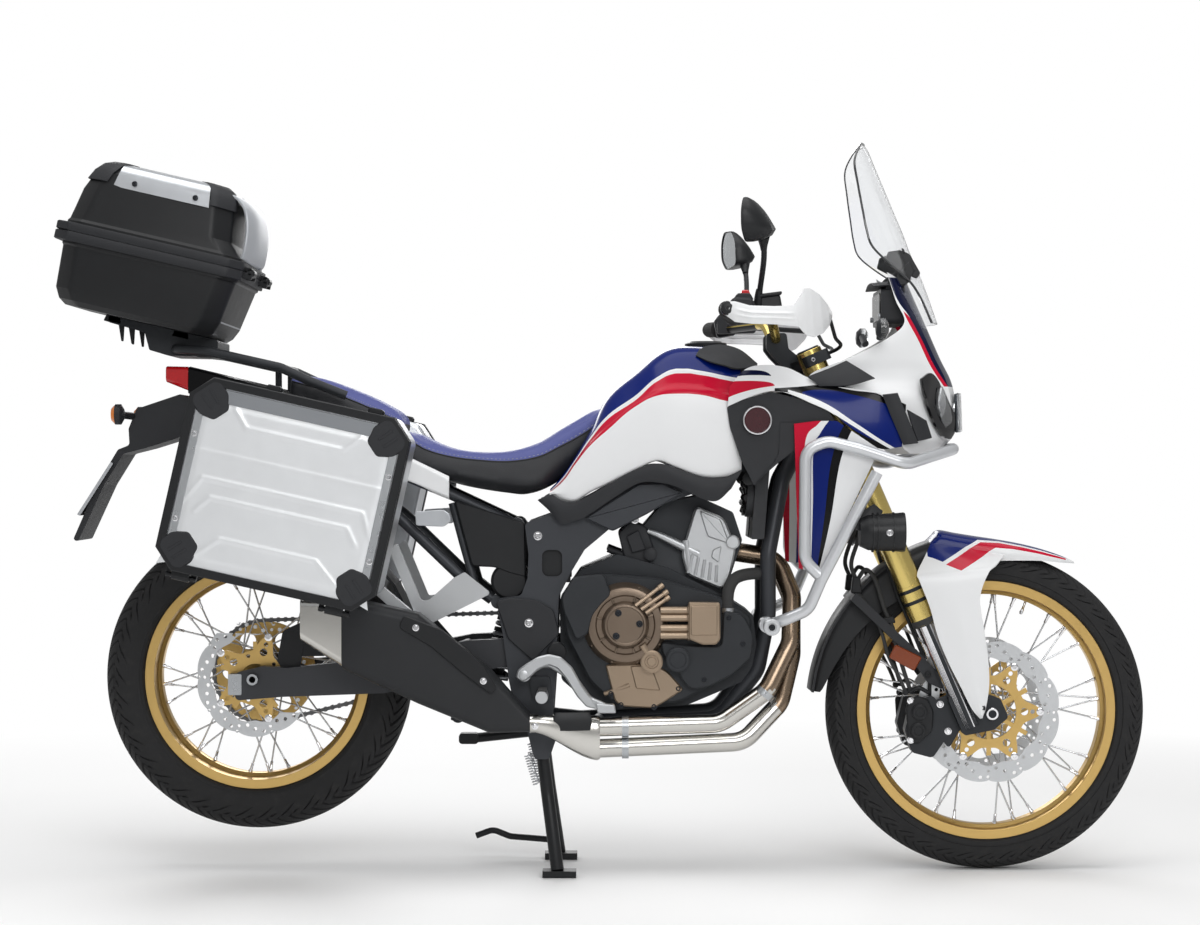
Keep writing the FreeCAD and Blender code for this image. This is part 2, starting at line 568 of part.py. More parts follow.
sub_r = "sizes.subframe_tube_radius"
rail = tube([(-195, 95, 752), (-345, 100, 822), (-560, 110, 930), (-860, 112, 1010)], sub_r, 60.0)
strut = tube([(-250, 97, 592), (-315, 104, 640), (-450, 107, 770), (-720, 110, 962)], sub_r, 60.0)
link = tube([(-335, 98, 800), (-312, 101, 715), (-285, 100, 618)], 9.0, 40.0)
tie = [rod((-560, -108, 932), (-560, 108, 932), 9.0), rod((-840, -110, 1006), (-840, 110, 1006), 9.0)]
boss = rod((-196, 80, 752), (-196, 108.6, 752), 16.0)
boss_low = rod((-236, 80, 588), (-236, 108.6, 588), 16.0)
subframe = fuse(*pair(rail, strut, link, boss, boss_low), *tie)
node("subframe", subframe)

# ---------------------------------------------------------------- engine
CASE_Y, HEAD_Y = size("engine_half"), size("head_half")
OUTPUT_X, OUTPUT_Z = -60.0, 520.0
case = slab([(-100, 420), (-104, 590), (-60, 655), (20, 690), (130, 660), (250, 600), (312, 560), (322, 480), (300, 420),
             (170, 365), (-20, 352)], 0, 2 * CASE_Y, 16.0)
cylinder = slab([(20, 684), (130, 655), (250, 597), (290, 720), (270, 780), (193, 815), (120, 800)], 0, 2 * HEAD_Y, 12.0)
tooth_r = size("front_sprocket_radius")
front_sprocket = turned([(-3, 0), (-3, tooth_r), (3, tooth_r), (3, 0)], (OUTPUT_X, chain_y, OUTPUT_Z))
output = rod((OUTPUT_X, 60, OUTPUT_Z), (OUTPUT_X, chain_y, OUTPUT_Z), 14.0)
chain_room = block((-120, 78, 430), (150, 60, 160))
block_body = fuse(cut(fuse(case, cylinder), chain_room), output, front_sprocket)
node("engine_block", cut(block_body, frame))
covers = []
for centre, radius, depth in (((36, 543), 88.0, 66.0), ((93, 463), 26.0, 50.0), ((149, 467), 25.0, 56.0)):
    covers.append(rod((centre[0], -CASE_Y, centre[1]), (centre[0], -CASE_Y - depth, centre[1]), radius))
covers.append(rod((38, -170, 546), (38, -186, 546), 44.0))
flank = slab([(-95, 570), (-75, 643), (-8, 650), (110, 640), (240, 600), (308, 560), (306, 500), (280, 440), (150, 372),
              (10, 372), (-40, 420), (-92, 520)], -CASE_Y - 17, 34.0, 18.0)
left_cover = fuse(slab([(-70, 470), (-50, 600), (60, 640), (150, 560), (160, 470), (60, 410)],
                       CASE_Y + 19.3, 38.0, 26.0), rod((45, CASE_Y + 37, 525), (45, CASE_Y + 61, 525), 74.0))
head_cover = slab([(193, 800), (250, 770), (272, 730), (277, 685), (252, 622), (230, 612), (180, 650), (150, 680),
                   (160, 740)], HEAD_Y + 12, 24.0, 14.0)
throttle = slab([(88, 742), (170, 742), (166, 708), (84, 712)], HEAD_Y + 9.3, 18.0, 8.0)
node("engine_covers", cut(fuse(flank, *covers), frame), cut(left_cover, frame),
     *pair(cut(fuse(head_cover, throttle), cylinder, case)))
core = slab(stretched((308, 722), (322, 905), (350, 905), (336, 722)), 70.0, 92.0, 3.0)
fan = turned([(0, 4), (0, 44), (18, 44), (18, 4)], stretched((318, 66, 812)), (-0.997, 0, 0.076))
node("radiators", *pair(cut(core, cradle, side_spar, neck), cut(fan, core)))

# ---------------------------------------------------------------- exhaust
pipe_r = "sizes.exhaust_radius"
headers = [tube([(276, -40, 692), (368, -50, 678), (398, -84, 600), (392, -120, 500), (340, -148, 400),
                 (240, -152, 330), (-20, -152, 322)], pipe_r, 60.0),
           tube([(276, 40, 692), (366, 34, 678), (402, -10, 590), (398, -66, 470), (370, -116, 370), (290, -146, 290),
                 (-20, -148, 276)], pipe_r, 60.0)]
collect = loft([(-21.5, [(-176, 252), (-126, 252), (-126, 346), (-176, 346)]),
                (-164.5, [(-212, 316), (-156, 316), (-156, 350), (-212, 350)])], 14.0)
can = loft([(-165.0, [(-228, 318), (-148, 318), (-148, 352), (-228, 352)]),
            (-250.0, [(-236, 316), (-146, 316), (-146, 450), (-236, 450)]),
            (-400.0, [(-240, 378), (-140, 378), (-140, 568), (-240, 568)]),
            (-560.0, [(-240, 452), (-140, 452), (-140, 604), (-240, 604)])], 22.0)
outlet = loft([(-560.5, [(-236, 456), (-144, 456), (-144, 600), (-236, 600)]),
               (-650.0, [(-222, 510), (-158, 510), (-158, 602), (-222, 602)])], 20.0)
outlet = cut(outlet, rod((-600, -190, 545), (-670, -190, 565), 20.0))
node("silencer", can, outlet)
node("exhaust_pipes", *[cut(header, cylinder, case) for header in headers], collect)

# ---------------------------------------------------------------- tank and seats
tank = loft([(-60.0, [(-112, 905), (112, 905), (92, 940), (-92, 940)]),
             (30.0, [(-128, 862), (128, 862), (110, 1040), (-110, 1040)]),
             (120.0, [(-168, 870), (168, 870), (126, 1132), (-126, 1132)]),
             (stretch(250.0), [(-176, 890), (176, 890), (130, 1134), (-130, 1134)]),
             (stretch(360.0), [(-150, 975), (150, 975), (118, 1090), (-118, 1090)])], 42.0)
cap = rod((215, 0, 1118), (215, 0, 1142), "sizes.filler_radius")
tank = cut(tank, frame, steering_room(540, 1060, 92.0, 190.0))
node("fuel_tank", fuse(tank, cap))
seat = loft([(15.0, [(-72, 985), (72, 985), (64, 1028), (-64, 1028)]),
             (-60.0, [(-92, 900), (92, 900), (84, 978), (-84, 978)]),
             (-150.0, [(-140, 812), (140, 812), (128, 922), (-128, 922)]),
             (-330.0, [(-150, 846), (150, 846), (138, 914), (-138, 914)])], 22.0)
node("rider_seat", cut(seat, tank, frame, *pair(rail, boss)))
pillion = loft([(-432.0, [(-128, 945), (128, 945), (116, 985), (-116, 985)]),
                (-500.0, [(-132, 940), (132, 940), (118, 1018), (-118, 1018)]),
                (-600.0, [(-122, 958), (122, 958), (108, 1068), (-108, 1068)]),
                (-690.0, [(-104, 1010), (104, 1010), (94, 1084), (-94, 1084)])], 20.0)
step = loft([(-334.0, [(-124, 826), (124, 826), (138, 914), (-138, 914)]),
             (-431.6, [(-116, 868), (116, 868), (118, 975), (-118, 975)])], 18.0)
tail_side = loft([(-340.0, [(127, 805), (150, 812), (150, 850), (131, 862)]),
                  (-435.0, [(125, 845), (152, 850), (146, 900), (130, 905)]),
                  (-700.0, [(126, 975), (146, 975), (138, 1040), (120, 1050)]),
                  (-905.0, [(66, 1040), (100, 1035), (92, 1092), (60, 1096)])], 6.0)
node("pillion_seat", cut(pillion, *pair(rail, strut, tail_side)), cut(step, *pair(rail, strut, link, tail_side)))

# ---------------------------------------------------------------- bodywork
dark_side = slab(stretched((-160, 775), (-90, 760), (-50, 775), (50, 825), (100, 848), (130, 843), (210, 820), (292, 830),
                           (368, 900), (372, 978), (490, 975), (480, 1000), (385, 1040), (350, 1038), (262, 1000),
                           (276, 920), (290, 873), (232, 846), (215, 849), (135, 884), (110, 884), (50, 851), (-60, 804),
                           (-85, 801), (-130, 813)), 188.0, 12.0, 6.0)
panel = slab(stretched((-130, 813), (-85, 801), (-60, 804), (50, 851), (110, 884), (135, 884), (215, 849), (232, 846),
                       (290, 873), (276, 920), (262, 1000), (250, 1030), (170, 1036), (130, 1033), (60, 995), (0, 950),
                       (-60, 900)), 181.0, 12.0, 6.0)
badge = rod(*stretched((318, 194.2, 977), (318, 200, 977)), 30.0)
post = rod((0, 139.2, 812), (0, 186, 812), 7.0)
node("tank_trims", *pair(fuse(dark_side, post), cut(panel, tank, dark_side, seat), badge))
upper_side = slab(stretched((264, 1040), (290, 1088), (350, 1093), (420, 1072), (575, 1062), (622, 1040), (660, 930), (600, 904),
                            (565, 884), (397, 966), (484, 1002), (385, 1043), (350, 1041)), 206.0, 14.0, 10.0)
wing = slab(stretched((397, 972), (566, 890), (448, 662), (436, 668), (404, 760)), 214.0, 14.0, 8.0)
fairing_post = rod(*stretched((402, 60, 846), (425, 207.2, 850)), 7.0)
node("side_fairings", *pair(cut(upper_side, tank, dark_side), cut(fuse(wing, fairing_post), upper_side, cradle)))
nose = loft([(-190.0, carried((430, 1074), (520, 1098), (600, 1120), (640, 1040), (655, 945), (640, 925), (575, 1058))),
             (-150.0, carried((455, 1085), (560, 1150), (622, 1178), (660, 1120), (694, 1040), (700, 912), (650, 915))),
             (-70.0, carried((520, 1120), (570, 1160), (632, 1200), (690, 1140), (738, 1070), (742, 945), (700, 915))),
             (0.0, carried((560, 1130), (585, 1165), (640, 1212), (705, 1150), (752, 1070), (755, 950), (712, 912)))],
            0.0, "XZ")
fork_room = loft([(880.0, carried((330, -170), (646, -170), (646, 170), (330, 170))),
                  (1170.0, carried((220, -170), (548, -170), (548, 170), (220, 170)))], 30.0, "XY")
lens = slab(carried((712, 1010), (722, 1045), (741, 1030), (752, 985), (742, 950), (716, 962), (690, 985), (690, 1020)), -88.0,
            96.0, 10.0)
dash_room = block(carried((560, -110, 1186)), (110, 220, 60))
face = cut(nose, fork_room, lens, dash_room, fairing_stay)
node("front_fairing", *pair(face))
node("headlights", *pair(lens))
thick = size("screen_thick")
GLASS = [(562, 1585, 60), (600, 1495, 128), (640, 1395, 152), (660, 1345, 154), (700, 1240, 150), (722, 1190, 120)]
BOW = 0.0028
sheets = []
for x, z, half in carried(*GLASS):
    front_edge = [V(x - BOW * y * y, y, z) for y in (-half, 0, half)]
    back_edge = [p - V(thick, 0, 0) for p in front_edge]
    wire = add("Part::Feature", "section")
    wire.Shape = Part.Wire([Part.Arc(*front_edge).toShape(), Part.LineSegment(front_edge[2], back_edge[2]).toShape(),
                            Part.Arc(back_edge[2], back_edge[1], back_edge[0]).toShape(),
                            Part.LineSegment(back_edge[0], front_edge[0]).toShape()])
    sheets.append(wire)
glass = add("Part::Loft", "glass")
glass.Sections = sheets
glass.Solid = True
glass.Ruled = True
node("windscreen", cut(glass, *pair(cut(nose, dash_room))))
dash = loft([(590.0 + LEAD, [(-85, 1186.3), (85, 1186.3), (85, 1262), (-85, 1262)]),
             (640.0 + LEAD, [(-95, 1186.3), (95, 1186.3), (95, 1270), (-95, 1270)])], 12.0)
brace = tube(carried((604, 76, 1210), (612, 78, 1290), (664, 78, 1304)), 7.0, 30.0)
node("instrument_panel", cut(fuse(dash, *pair(brace)), glass))

node("tail_fairing", *pair(cut(tail_side, rail, strut, link)))
grab = tube([(-560, 138, 1030), (-640, 146, 1062), (-700, 146, 1090), (-860, 146, 1126), (-930, 110, 1132),
             (-946, 0, 1134)], "sizes.grab_radius", 50.0)
grab_leg = rod((-708, 112, 1088), (-708, 108, 978), 7.0)
cross_bars = [rod((x, -146, z), (x, 146, z), "sizes.rack_tube_radius") for x, z in ((-701, 1090), (-860, 1126))]
lamp = loft([(-905.5, [(-92, 1042), (92, 1042), (92, 1094), (-92, 1094)]),
             (-958.0, [(-70, 1062), (70, 1062), (70, 1096), (-70, 1096)])], 10.0)
node("tail_light", lamp)
flap = slab([(-832, 994), (-832, 1018), (-880, 1016), (-925, 1035), (-1020, 1003), (-1037, 960), (-1035, 925), (-1060, 915), (-1105, 840),
             (-1157, 720), (-1146, 716), (-1090, 838), (-1048, 906), (-1000, 918), (-930, 940), (-850, 990)], 0,
            2 * 78.0, 8.0)
plate = slab([(-1074, 888), (-1068, 885), (-1140, 772), (-1146, 775)], 0, 2 * 90.0, 1.0)
PLATE_MIDDLE, PLATE_NORMAL = V(-1093, 0, 852), V(-113, 0, 72).normalize()
plate_holes = [rod(tuple(PLATE_MIDDLE + V(0, y, 0) - PLATE_NORMAL * 30), tuple(PLATE_MIDDLE + V(0, y, 0) + PLATE_NORMAL * 30),
                   3.0) for y in (-50, 50)]
tie_room = rod((-840, -110, 1006), (-840, 110, 1006), 9.0 + GAP)
node("rear_mudguard", cut(fuse(flap, plate), *plate_holes, tie_room, lamp))
blinkers = []
for x, z, y in ((578 + LEAD, 1170, 196), (-1050, 990, 118)):
    pod = turned([(-14, 0), (-12, 14), (-4, 22), (8, 22), (14, 12), (14, 0)], (x, y + 20, z), (1, 0, 0))
    arm = rod((x + (30 if x < 0 else 4), y - 62, z - (4 if x < 0 else 26)), (x, y, z), 8.0)
    blinkers.append(fuse(pod, arm))
node("indicators", *pair(cut(blinkers[0], mirror(nose), upper_side), cut(blinkers[1], flap)))

# ---------------------------------------------------------------- crash bars and lamps
crash_r = "sizes.crash_bar_radius"
upper_bar = tube(stretched((742, 0, 916), (742, 130, 916), (628, 232, 883), (528, 238, 916), (462, 240, 932), (415, 240, 914),
                           (413, 238, 681), (446, 236, 648)), crash_r, 45.0)
lower_bar = tube(stretched((566, 236, 866), (448, 238, 640), (421, 236, 577), (364, 226, 552), (340, 150, 540)), crash_r, 40.0)
bar_foot = rod(*stretched((340, 108, 540), (340, 160, 540)), 17.0)
node("crash_bars", fuse(*pair(upper_bar, lower_bar, cut(bar_foot, cradle))))
drum = turned([(0, 0), (0, 30), (18, 38), (86, 41), (92, 38), (92, 0)], carried((530, 222, 740)), (1, 0, 0))
hanger = slab(carried((500, 760), (560, 800), (580, 784), (540, 736)), 226.0, 10.0, 4.0)
node("fog_lamps", *pair(cut(fuse(drum, hanger), upper_bar, lower_bar)))

# ---------------------------------------------------------------- pegs and controls
peg = rod((-140, 145, 392), (-140, 232, 392), "sizes.peg_radius")
peg_arm = slab([(-170, 430), (-124, 430), (-118, 378), (-160, 378)], 145.25, 12.0, 8.0)
pedal = tube([(-179, -170, 436), (-130, -174, 462), (-70, -176, 425), (-40, -178, 384), (-2, -190, 368)], 7.0, 30.0)
shift = tube([(-30, 170, 480), (-10, 172, 440), (12, 176, 398)], 7.0, 30.0)
toe = rod((4, 170, 398), (4, 215, 398), 9.0)
node("footpegs", *pair(fuse(peg, peg_arm)), fuse(pedal, rod((-179, -139.2, 436), (-179, -178, 436), 15.0)),
     fuse(shift, toe, rod((-30, 150.1, 480), (-30, 178, 480), 9.0)))
hanger_plate = slab([(-308, 652), (-250, 606), (-402, 530), (-470, 700), (-452, 716), (-400, 590), (-384, 592),
                     (-330, 640)], 118.0, 8.0, 6.0)
folded = slab([(-498, 606), (-486, 626), (-392, 546), (-396, 528), (-412, 528)], 133.25, 22.0, 8.0)
node("passenger_pegs", *pair(cut(hanger_plate, strut, link)), folded, cut(mirror(folded), can))

# ---------------------------------------------------------------- swingarm, shock and drive
ARM_Y, ARM_LEG = size("swingarm_y"), size("swingarm_leg")
arm_side = slab([(-800, 435), (-740, 450), (-690, 446), (-500, 466), (-300, 505), (-150, 512), (-150, 466), (-300, 432),
                 (-480, 392), (-700, 384), (-800, 376)], ARM_Y, ARM_LEG, 10.0)
pivot_tube = rod((-172, 5 - ARM_Y, 488), (-172, ARM_Y - 5, 488), 22.0)
bridge_arm = slab([(-300, 500), (-300, 440), (-355, 440), (-355, 480)], 0, 2 * (ARM_Y - 12), 10.0)
axle_slot = rod((rear["x"], 90, rear["z"]), (rear["x"], 140, rear["z"]), size("axle_radius") + 0.02)
tensioner = slab([(-815, 433), (-815, 388), (-786, 388), (-786, 433)], ARM_Y, ARM_LEG + 2, 3.0)
slot = mirror(axle_slot)
node("swingarm", cut(fuse(*pair(cut(arm_side, side_spar), tensioner), pivot_tube, bridge_arm), axle_slot, slot),
     rod((rear["x"], -140, rear["z"]), (rear["x"], 140, rear["z"]), "sizes.axle_radius",
         "sizes.axle_bore_radius"))
SHOCK_LOW, SHOCK_TOP = V(-262, 0, 366), V(-190, 0, 622)
shock_way = V(SHOCK_TOP - SHOCK_LOW).normalize()
coil = [turned([(0, 16), (0, 30), (8, 30), (8, 16)], tuple(SHOCK_LOW + shock_way * (52 + 25 * turn)), tuple(shock_way))
        for turn in range(7)]
shock_link = slab([(-345, 322), (-338, 348), (-240, 370), (-219, 366), (-217.3, 352), (-219, 338)], 0, 30.0, 4.0)
node("rear_shock", cut(fuse(rod(tuple(SHOCK_LOW), tuple(SHOCK_TOP), 17.0), *coil, shock_link,
                            rod((-327, -22, 333), (-327, 22, 333), 15.0)), frame))
PITCH_REAR, PITCH_FRONT = SPROCKET_RADIUS + 2, size("front_sprocket_radius") + 3
run = math.hypot(rear["x"] - OUTPUT_X, rear["z"] - OUTPUT_Z)
dip = math.atan2(OUTPUT_Z - rear["z"], OUTPUT_X - rear["x"])
lift = math.asin((PITCH_REAR - PITCH_FRONT) / run)


def chain_body(extra, width):
    """The strip round both sprockets, a given distance outside the chain line."""
    arcs = []
    for x, z, reach, middle, half in ((rear["x"], rear["z"], PITCH_REAR + extra, dip + math.pi, math.pi / 2 + lift),
                                      (OUTPUT_X, OUTPUT_Z, PITCH_FRONT + extra, dip, math.pi / 2 - lift)):
        arcs.append([V(x + reach * math.cos(middle + a), z + reach * math.sin(middle + a), 0) for a in (-half, 0, half)])
    back, front_arc = arcs
    edges = [Part.Arc(*back), Part.LineSegment(back[2], front_arc[0]), Part.Arc(*front_arc),
             Part.LineSegment(front_arc[2], back[0])]
    body = padded("chain", "XZ", edges, width)
    body.setExpression(".Placement.Base.y", "sizes.chain_y")
    return body


node("drive_chain", cut(chain_body(6.0, "sizes.chain_width"), chain_body(-1.0, 60.0)))
grip_body = slab([(-600, 470), (-600, 540), (-640, 552), (-700, 525), (-704, 492), (-690, 470)], -86.0, 38.0, 14.0)
grip_slot = rod((rear["x"], -93, rear["z"]), (rear["x"], -77, rear["z"]), size("rear_disc_radius") + 6)
torque_arm = slab([(-700, 525), (-650, 525), (-664, 440), (-716, 440)], -100.0, 12.0, 6.0)
node("rear_caliper", cut(fuse(grip_body, torque_arm), grip_slot, rod((rear["x"], -66, rear["z"]), (rear["x"], -130, rear["z"]), 62.0),
                         mirror(arm_side)))
mud = [(rear["x"] + r * math.cos(math.radians(a)), rear["z"] + r * math.sin(math.radians(a)))
       for r, angles in ((362, range(20, 132, 14)), (356, range(118, 6, -14))) for a in angles]
hug = slab(mud, 0, 2 * 78.0)
hug_arm = slab([(-352, 478), (-340, 496), (-408, 574), (-430, 562)], 60.0, 6.0, 3.0)
node("hugger", cut(fuse(hug, *pair(hug_arm)), bridge_arm))

# ---------------------------------------------------------------- luggage


def tilted(tilt, *things):
    """Turn pieces drawn level about the Y axis, nose down."""
    spin = FreeCAD.Placement(V(), FreeCAD.Rotation(V(0, 1, 0), tilt))
    for thing in things:
        thing.Placement = spin.multiply(thing.Placement)
    return things[0] if len(things) == 1 else things


def chamfered(low_u, high_u, low_v, high_v, corner):
    return [(low_u + corner, low_v), (low_u, low_v + corner), (low_u, high_v - corner), (low_u + corner, high_v),
            (high_u - corner, high_v), (high_u, high_v - corner), (high_u, low_v + corner), (high_u - corner, low_v)]


PANNIER = (-1048.0, -596.0, 460.0, 857.0)
CORNER = 40.0
tilt = size("pannier_tilt")
wall = size("pannier_wall")
out, across = size("pannier_out"), size("pannier_width")
parting = out - size("pannier_lid_depth")
inside_face = out - across
u0, u1, v0, v1 = PANNIER


def pannier_shell(y0, y1, open_side, floor):
    """Half a case: chamfered walls and one closed face; open_side is +1 outward or -1 inward."""
    outer = slab(chamfered(u0, u1, v0, v1, CORNER), (y0 + y1) / 2, y1 - y0, 4.0)
    inner = slab(chamfered(u0 + wall, u1 - wall, v0 + wall, v1 - wall, CORNER - wall * 0.4), (y0 + y1) / 2 + floor * open_side,
                 y1 - y0, 3.0)
    return cut(outer, inner)


def corner_cap(u, v, side_u, side_v):
    """A blunt five-sided cap over one corner of the lid, pointing to the middle."""
    tongue = [(24, -36), (24, 36), (70, 33), (94, 16), (94, -16), (70, -33)]
    half = math.sqrt(0.5)
    shape = [(u - side_u * (d + a) * half, v - side_v * (d - a) * half) for d, a in tongue]
    return slab(shape, out - (recess + 1) / 2, recess + 1, 5.0)


hinge_v, hinge_r = v0 - size("hinge_radius") - 6, size("hinge_radius")
recess = size("pannier_recess")
box_body = pannier_shell(inside_face, parting, 1, wall)
# The lid's outer panel lies in a frame, with a pressed bead along its top and bottom and a cap on each corner.
panel_room = slab(chamfered(u0 + 16, u1 - 16, v0 + 16, v1 - 34, CORNER), out, 2 * recess, 3.0)
beads = [slab([(u0 + 60, v), (u0 + 84, v + rise), (u1 - 84, v + rise), (u1 - 60, v)], out - recess, 4.0, 5.0)
         for v, rise in ((v0 + 66, 26), (v1 - 92, -26))]
caps = [corner_cap(u, v, side_u, side_v) for u, side_u in ((u0, -1), (u1, 1)) for v, side_v in ((v0, -1), (v1, 1))]
lid_body = fuse(cut(pannier_shell(parting + size("lid_gap"), out, -1, wall + recess), panel_room), *beads, *caps)
KNUCKLES = [(u, 18.0) for u in (-990.0, -672.0)]
pin_lugs, lid_knuckles = [], []
for place, half in KNUCKLES:
    pin_lugs.append(rod((place - half - 14, parting, hinge_v), (place + half + 14, parting, hinge_v), hinge_r))
    for end in (place - half - 14, place + half + 4):
        pin_lugs.append(block((end, parting - 8, hinge_v - 8), (10, 8, 24)))
    knuckle = rod((place - half, parting, hinge_v), (place + half, parting, hinge_v), hinge_r + 4)
    web = block((place - half, parting + 3, hinge_v - 4), (2 * half, 12, 22))
    bore = rod((place - half - 20, parting, hinge_v), (place + half + 20, parting, hinge_v),
               hinge_r + size("running_fit"))
    lid_knuckles.append(cut(fuse(knuckle, web), bore))
frame_band = [cut(slab(chamfered(u0 - 2, u1 + 2, v0 - 2, v1 + 2, CORNER), y, 10.0),
                  slab(chamfered(u0 + 1, u1 - 1, v0 + 1, v1 - 1, CORNER), y, 30.0)) for y in (parting - 5, parting + 5.3)]
latches = [block((u, parting - 18, v1 + 2), (34, 17.7, 9)) for u in (-905.0, -694.0)]
hasps = [block((u + 4, parting + 0.6, v1 + 2), (26, 16, 12)) for u in (-905.0, -694.0)]
box_side = tilted(tilt, fuse(box_body, frame_band[0], *latches, *pin_lugs))
lid_side = tilted(tilt, fuse(lid_body, frame_band[1], *hasps, *lid_knuckles))
node("pannier_left", box_side)
node("pannier_right", mirror(box_side))
node("pannier_lid_left", lid_side)
node("pannier_lid_right", mirror(lid_side))
carry_y = inside_face - 9.0 - GAP
hoop = tilted(tilt, tube([(-820, carry_y, 560), (-980, carry_y, 560), (-980, carry_y, 785), (-660, carry_y, 785),
                          (-660, carry_y, 560), (-821, carry_y, 560)], 9.0, 40.0))
props = [tilted(tilt, rod((u, 112, 785), (u, carry_y, 785), 8.0)) for u in (-905, -700)]
node("pannier_carrier", *pair(cut(fuse(hoop, *props), rail, strut, tail_side)))

BOX_TILT = 13.0
half_box, box_wall = size("box_half_width"), size("box_wall")


def case_shell(profile, inset, half):
    return cut(slab(profile, 0, 2 * half, 12.0), slab(inset, 0, 2 * (half - box_wall), 9.0))


BOX_PART = 1086.0
RIM_DEPTH = 22.0
lean = math.radians(BOX_TILT)
# The rear edge of the rim is as far behind the middle as the front tyre is ahead of it.
RIM_REAR = (-(front["x"] + front["tyre"]) - (BOX_PART - RIM_DEPTH) * math.sin(lean)) / math.cos(lean)
base_shell = case_shell([(-1440, BOX_PART), (-1434, 962), (-1408, 932), (-1090, 932), (-1074, 946), (-1052, BOX_PART)],
                        [(-1436, BOX_PART + 20), (-1430, 964), (-1405, 936), (-1093, 936), (-1078, 948),
                         (-1054, BOX_PART + 20)], half_box)
base_rim = cut(slab([(RIM_REAR, BOX_PART), (RIM_REAR, BOX_PART - RIM_DEPTH), (-1046, BOX_PART - RIM_DEPTH),
                      (-1046, BOX_PART)], 0,
                    2 * (half_box + 6), 3.0),
               slab([(-1436, BOX_PART + 20), (-1435, BOX_PART - 30), (-1056, BOX_PART - 30), (-1056, BOX_PART + 20)], 0,
                    2 * (half_box - box_wall)))
LID_LOW = BOX_PART + size("lid_gap")
lid_shell = case_shell([(-1440, LID_LOW), (-1438, 1140), (-1424, 1184), (-1388, 1251), (-1120, 1250), (-1100, 1232),
                        (-1088, 1140), (-1052, LID_LOW)],
                       [(-1436, LID_LOW - 20), (-1434, 1140), (-1420, 1182), (-1385, 1247), (-1122, 1246),
                        (-1104, 1230), (-1092, 1140), (-1056, LID_LOW - 20)], half_box)
lid_rim = cut(slab([(RIM_REAR, LID_LOW), (RIM_REAR, LID_LOW + 20), (-1046, LID_LOW + 20), (-1046, LID_LOW)], 0,
                   2 * (half_box + 6), 3.0),
              slab([(-1436, LID_LOW - 20), (-1435, LID_LOW + 30), (-1060, LID_LOW + 30), (-1056, LID_LOW - 20)], 0,
                   2 * (half_box - box_wall)))
HINGE_U = -1034.0
lid_lugs, base_lugs = [], []
for y in (-130.0, 130.0):
    base_lugs.append(rod((HINGE_U, y - 34, BOX_PART), (HINGE_U, y + 34, BOX_PART), hinge_r))
    for end in (y - 34, y + 24):
        base_lugs.append(block((-1048, end, BOX_PART - 14), (20, 10, 13)))
    sleeve = fuse(rod((HINGE_U, y - 20, BOX_PART), (HINGE_U, y + 20, BOX_PART), hinge_r + 4),
                  block((-1048, y - 20, BOX_PART + 3), (14, 40, 8)))
    lid_lugs.append(cut(sleeve, rod((HINGE_U, y - 40, BOX_PART), (HINGE_U, y + 40, BOX_PART),
                                    hinge_r + size("running_fit"))))
base = tilted(BOX_TILT, fuse(base_shell, base_rim, *base_lugs))
lid = tilted(BOX_TILT, fuse(lid_shell, lid_rim, *lid_lugs))
node("topbox", base)
node("topbox_lid", lid)
rack_plate = slab([(-1078, 1205.2), (-1078, 1190), (-1000, 1168), (-990, 1130), (-950, 1118), (-850, 1116),
                   (-842, 1124), (-842, 1150.6)], 0, 180.0, 5.0)
top_under = tilted(BOX_TILT, block((-1500, -300, 932 - GAP), (700, 600, 300)))
node("rear_carrier", cut(fuse(*pair(grab, grab_leg), *cross_bars, cut(rack_plate, top_under)), *pair(rail)))

# ---------------------------------------------------------------- stands
pin = size("pin_radius")
fit = pin + size("running_fit")
leg_r = "sizes.stand_tube_radius"
FOOT = (stand_x + 34, 138.0, 14.0)
leg = tube([(stand_x, 84, stand_z), (stand_x + 12, 92, 170), FOOT], leg_r, 60.0)
sleeve = rod((stand_x, 62, stand_z), (stand_x, 106, stand_z), 16.0)
shoe = block((stand_x + 2, 108, 0), (72, 46, 14))
tie_bar = rod((stand_x + 11, -92, 160), (stand_x + 11, 92, 160), 11.0)
tread_arm = tube([(stand_x + 30, 134, 40), (-220, 160, 45), (-258, 162, 60), (-296, 162, 46)], 7.0, 30.0)
stand = fuse(*pair(leg, sleeve, shoe), tie_bar, tread_arm)
low = block((-500, -300, -40), (900, 600, 40))
node("centre_stand", cut(stand, *pair(rod((stand_x, 40, stand_z), (stand_x, 130, stand_z), fit)), low))
reach = V(-0.9925, 0.0407, -0.1121) * 262
side_end = SIDE_PIVOT + reach
side_leg = rod(tuple(SIDE_PIVOT), tuple(side_end), 11.0)
side_sleeve = rod(tuple(SIDE_PIVOT - SIDE_AXIS * 9), tuple(SIDE_PIVOT + SIDE_AXIS * 9), 15.0)
side_hole = rod(tuple(SIDE_PIVOT - SIDE_AXIS * 30), tuple(SIDE_PIVOT + SIDE_AXIS * 30), fit)
side_foot = slab([(side_end.x - 34, side_end.z + 12), (side_end.x + 10, side_end.z + 12), (side_end.x + 10, side_end.z - 12),
                  (side_end.x - 34, side_end.z - 12)], side_end.y, 34.0, 8.0)
node("side_stand", cut(fuse(side_leg, side_sleeve, side_foot), side_hole))


# ---------------------------------------------------------------- checks and files
doc.recompute()
broken = [thing.Name for thing in doc.Objects if "Invalid" in thing.State or "Error" in thing.State]
empty = [label for label, piece in NODES.items() if piece.Shape.isNull() or not piece.Shape.isValid()]
if broken or empty:
    raise RuntimeError("failed objects %s, failed sub-parts %s" % (broken, empty))
for label, piece in NODES.items():
    piece.Shape.exportStep("parts/%s.step" % label)
print(len(NODES), "sub-parts")
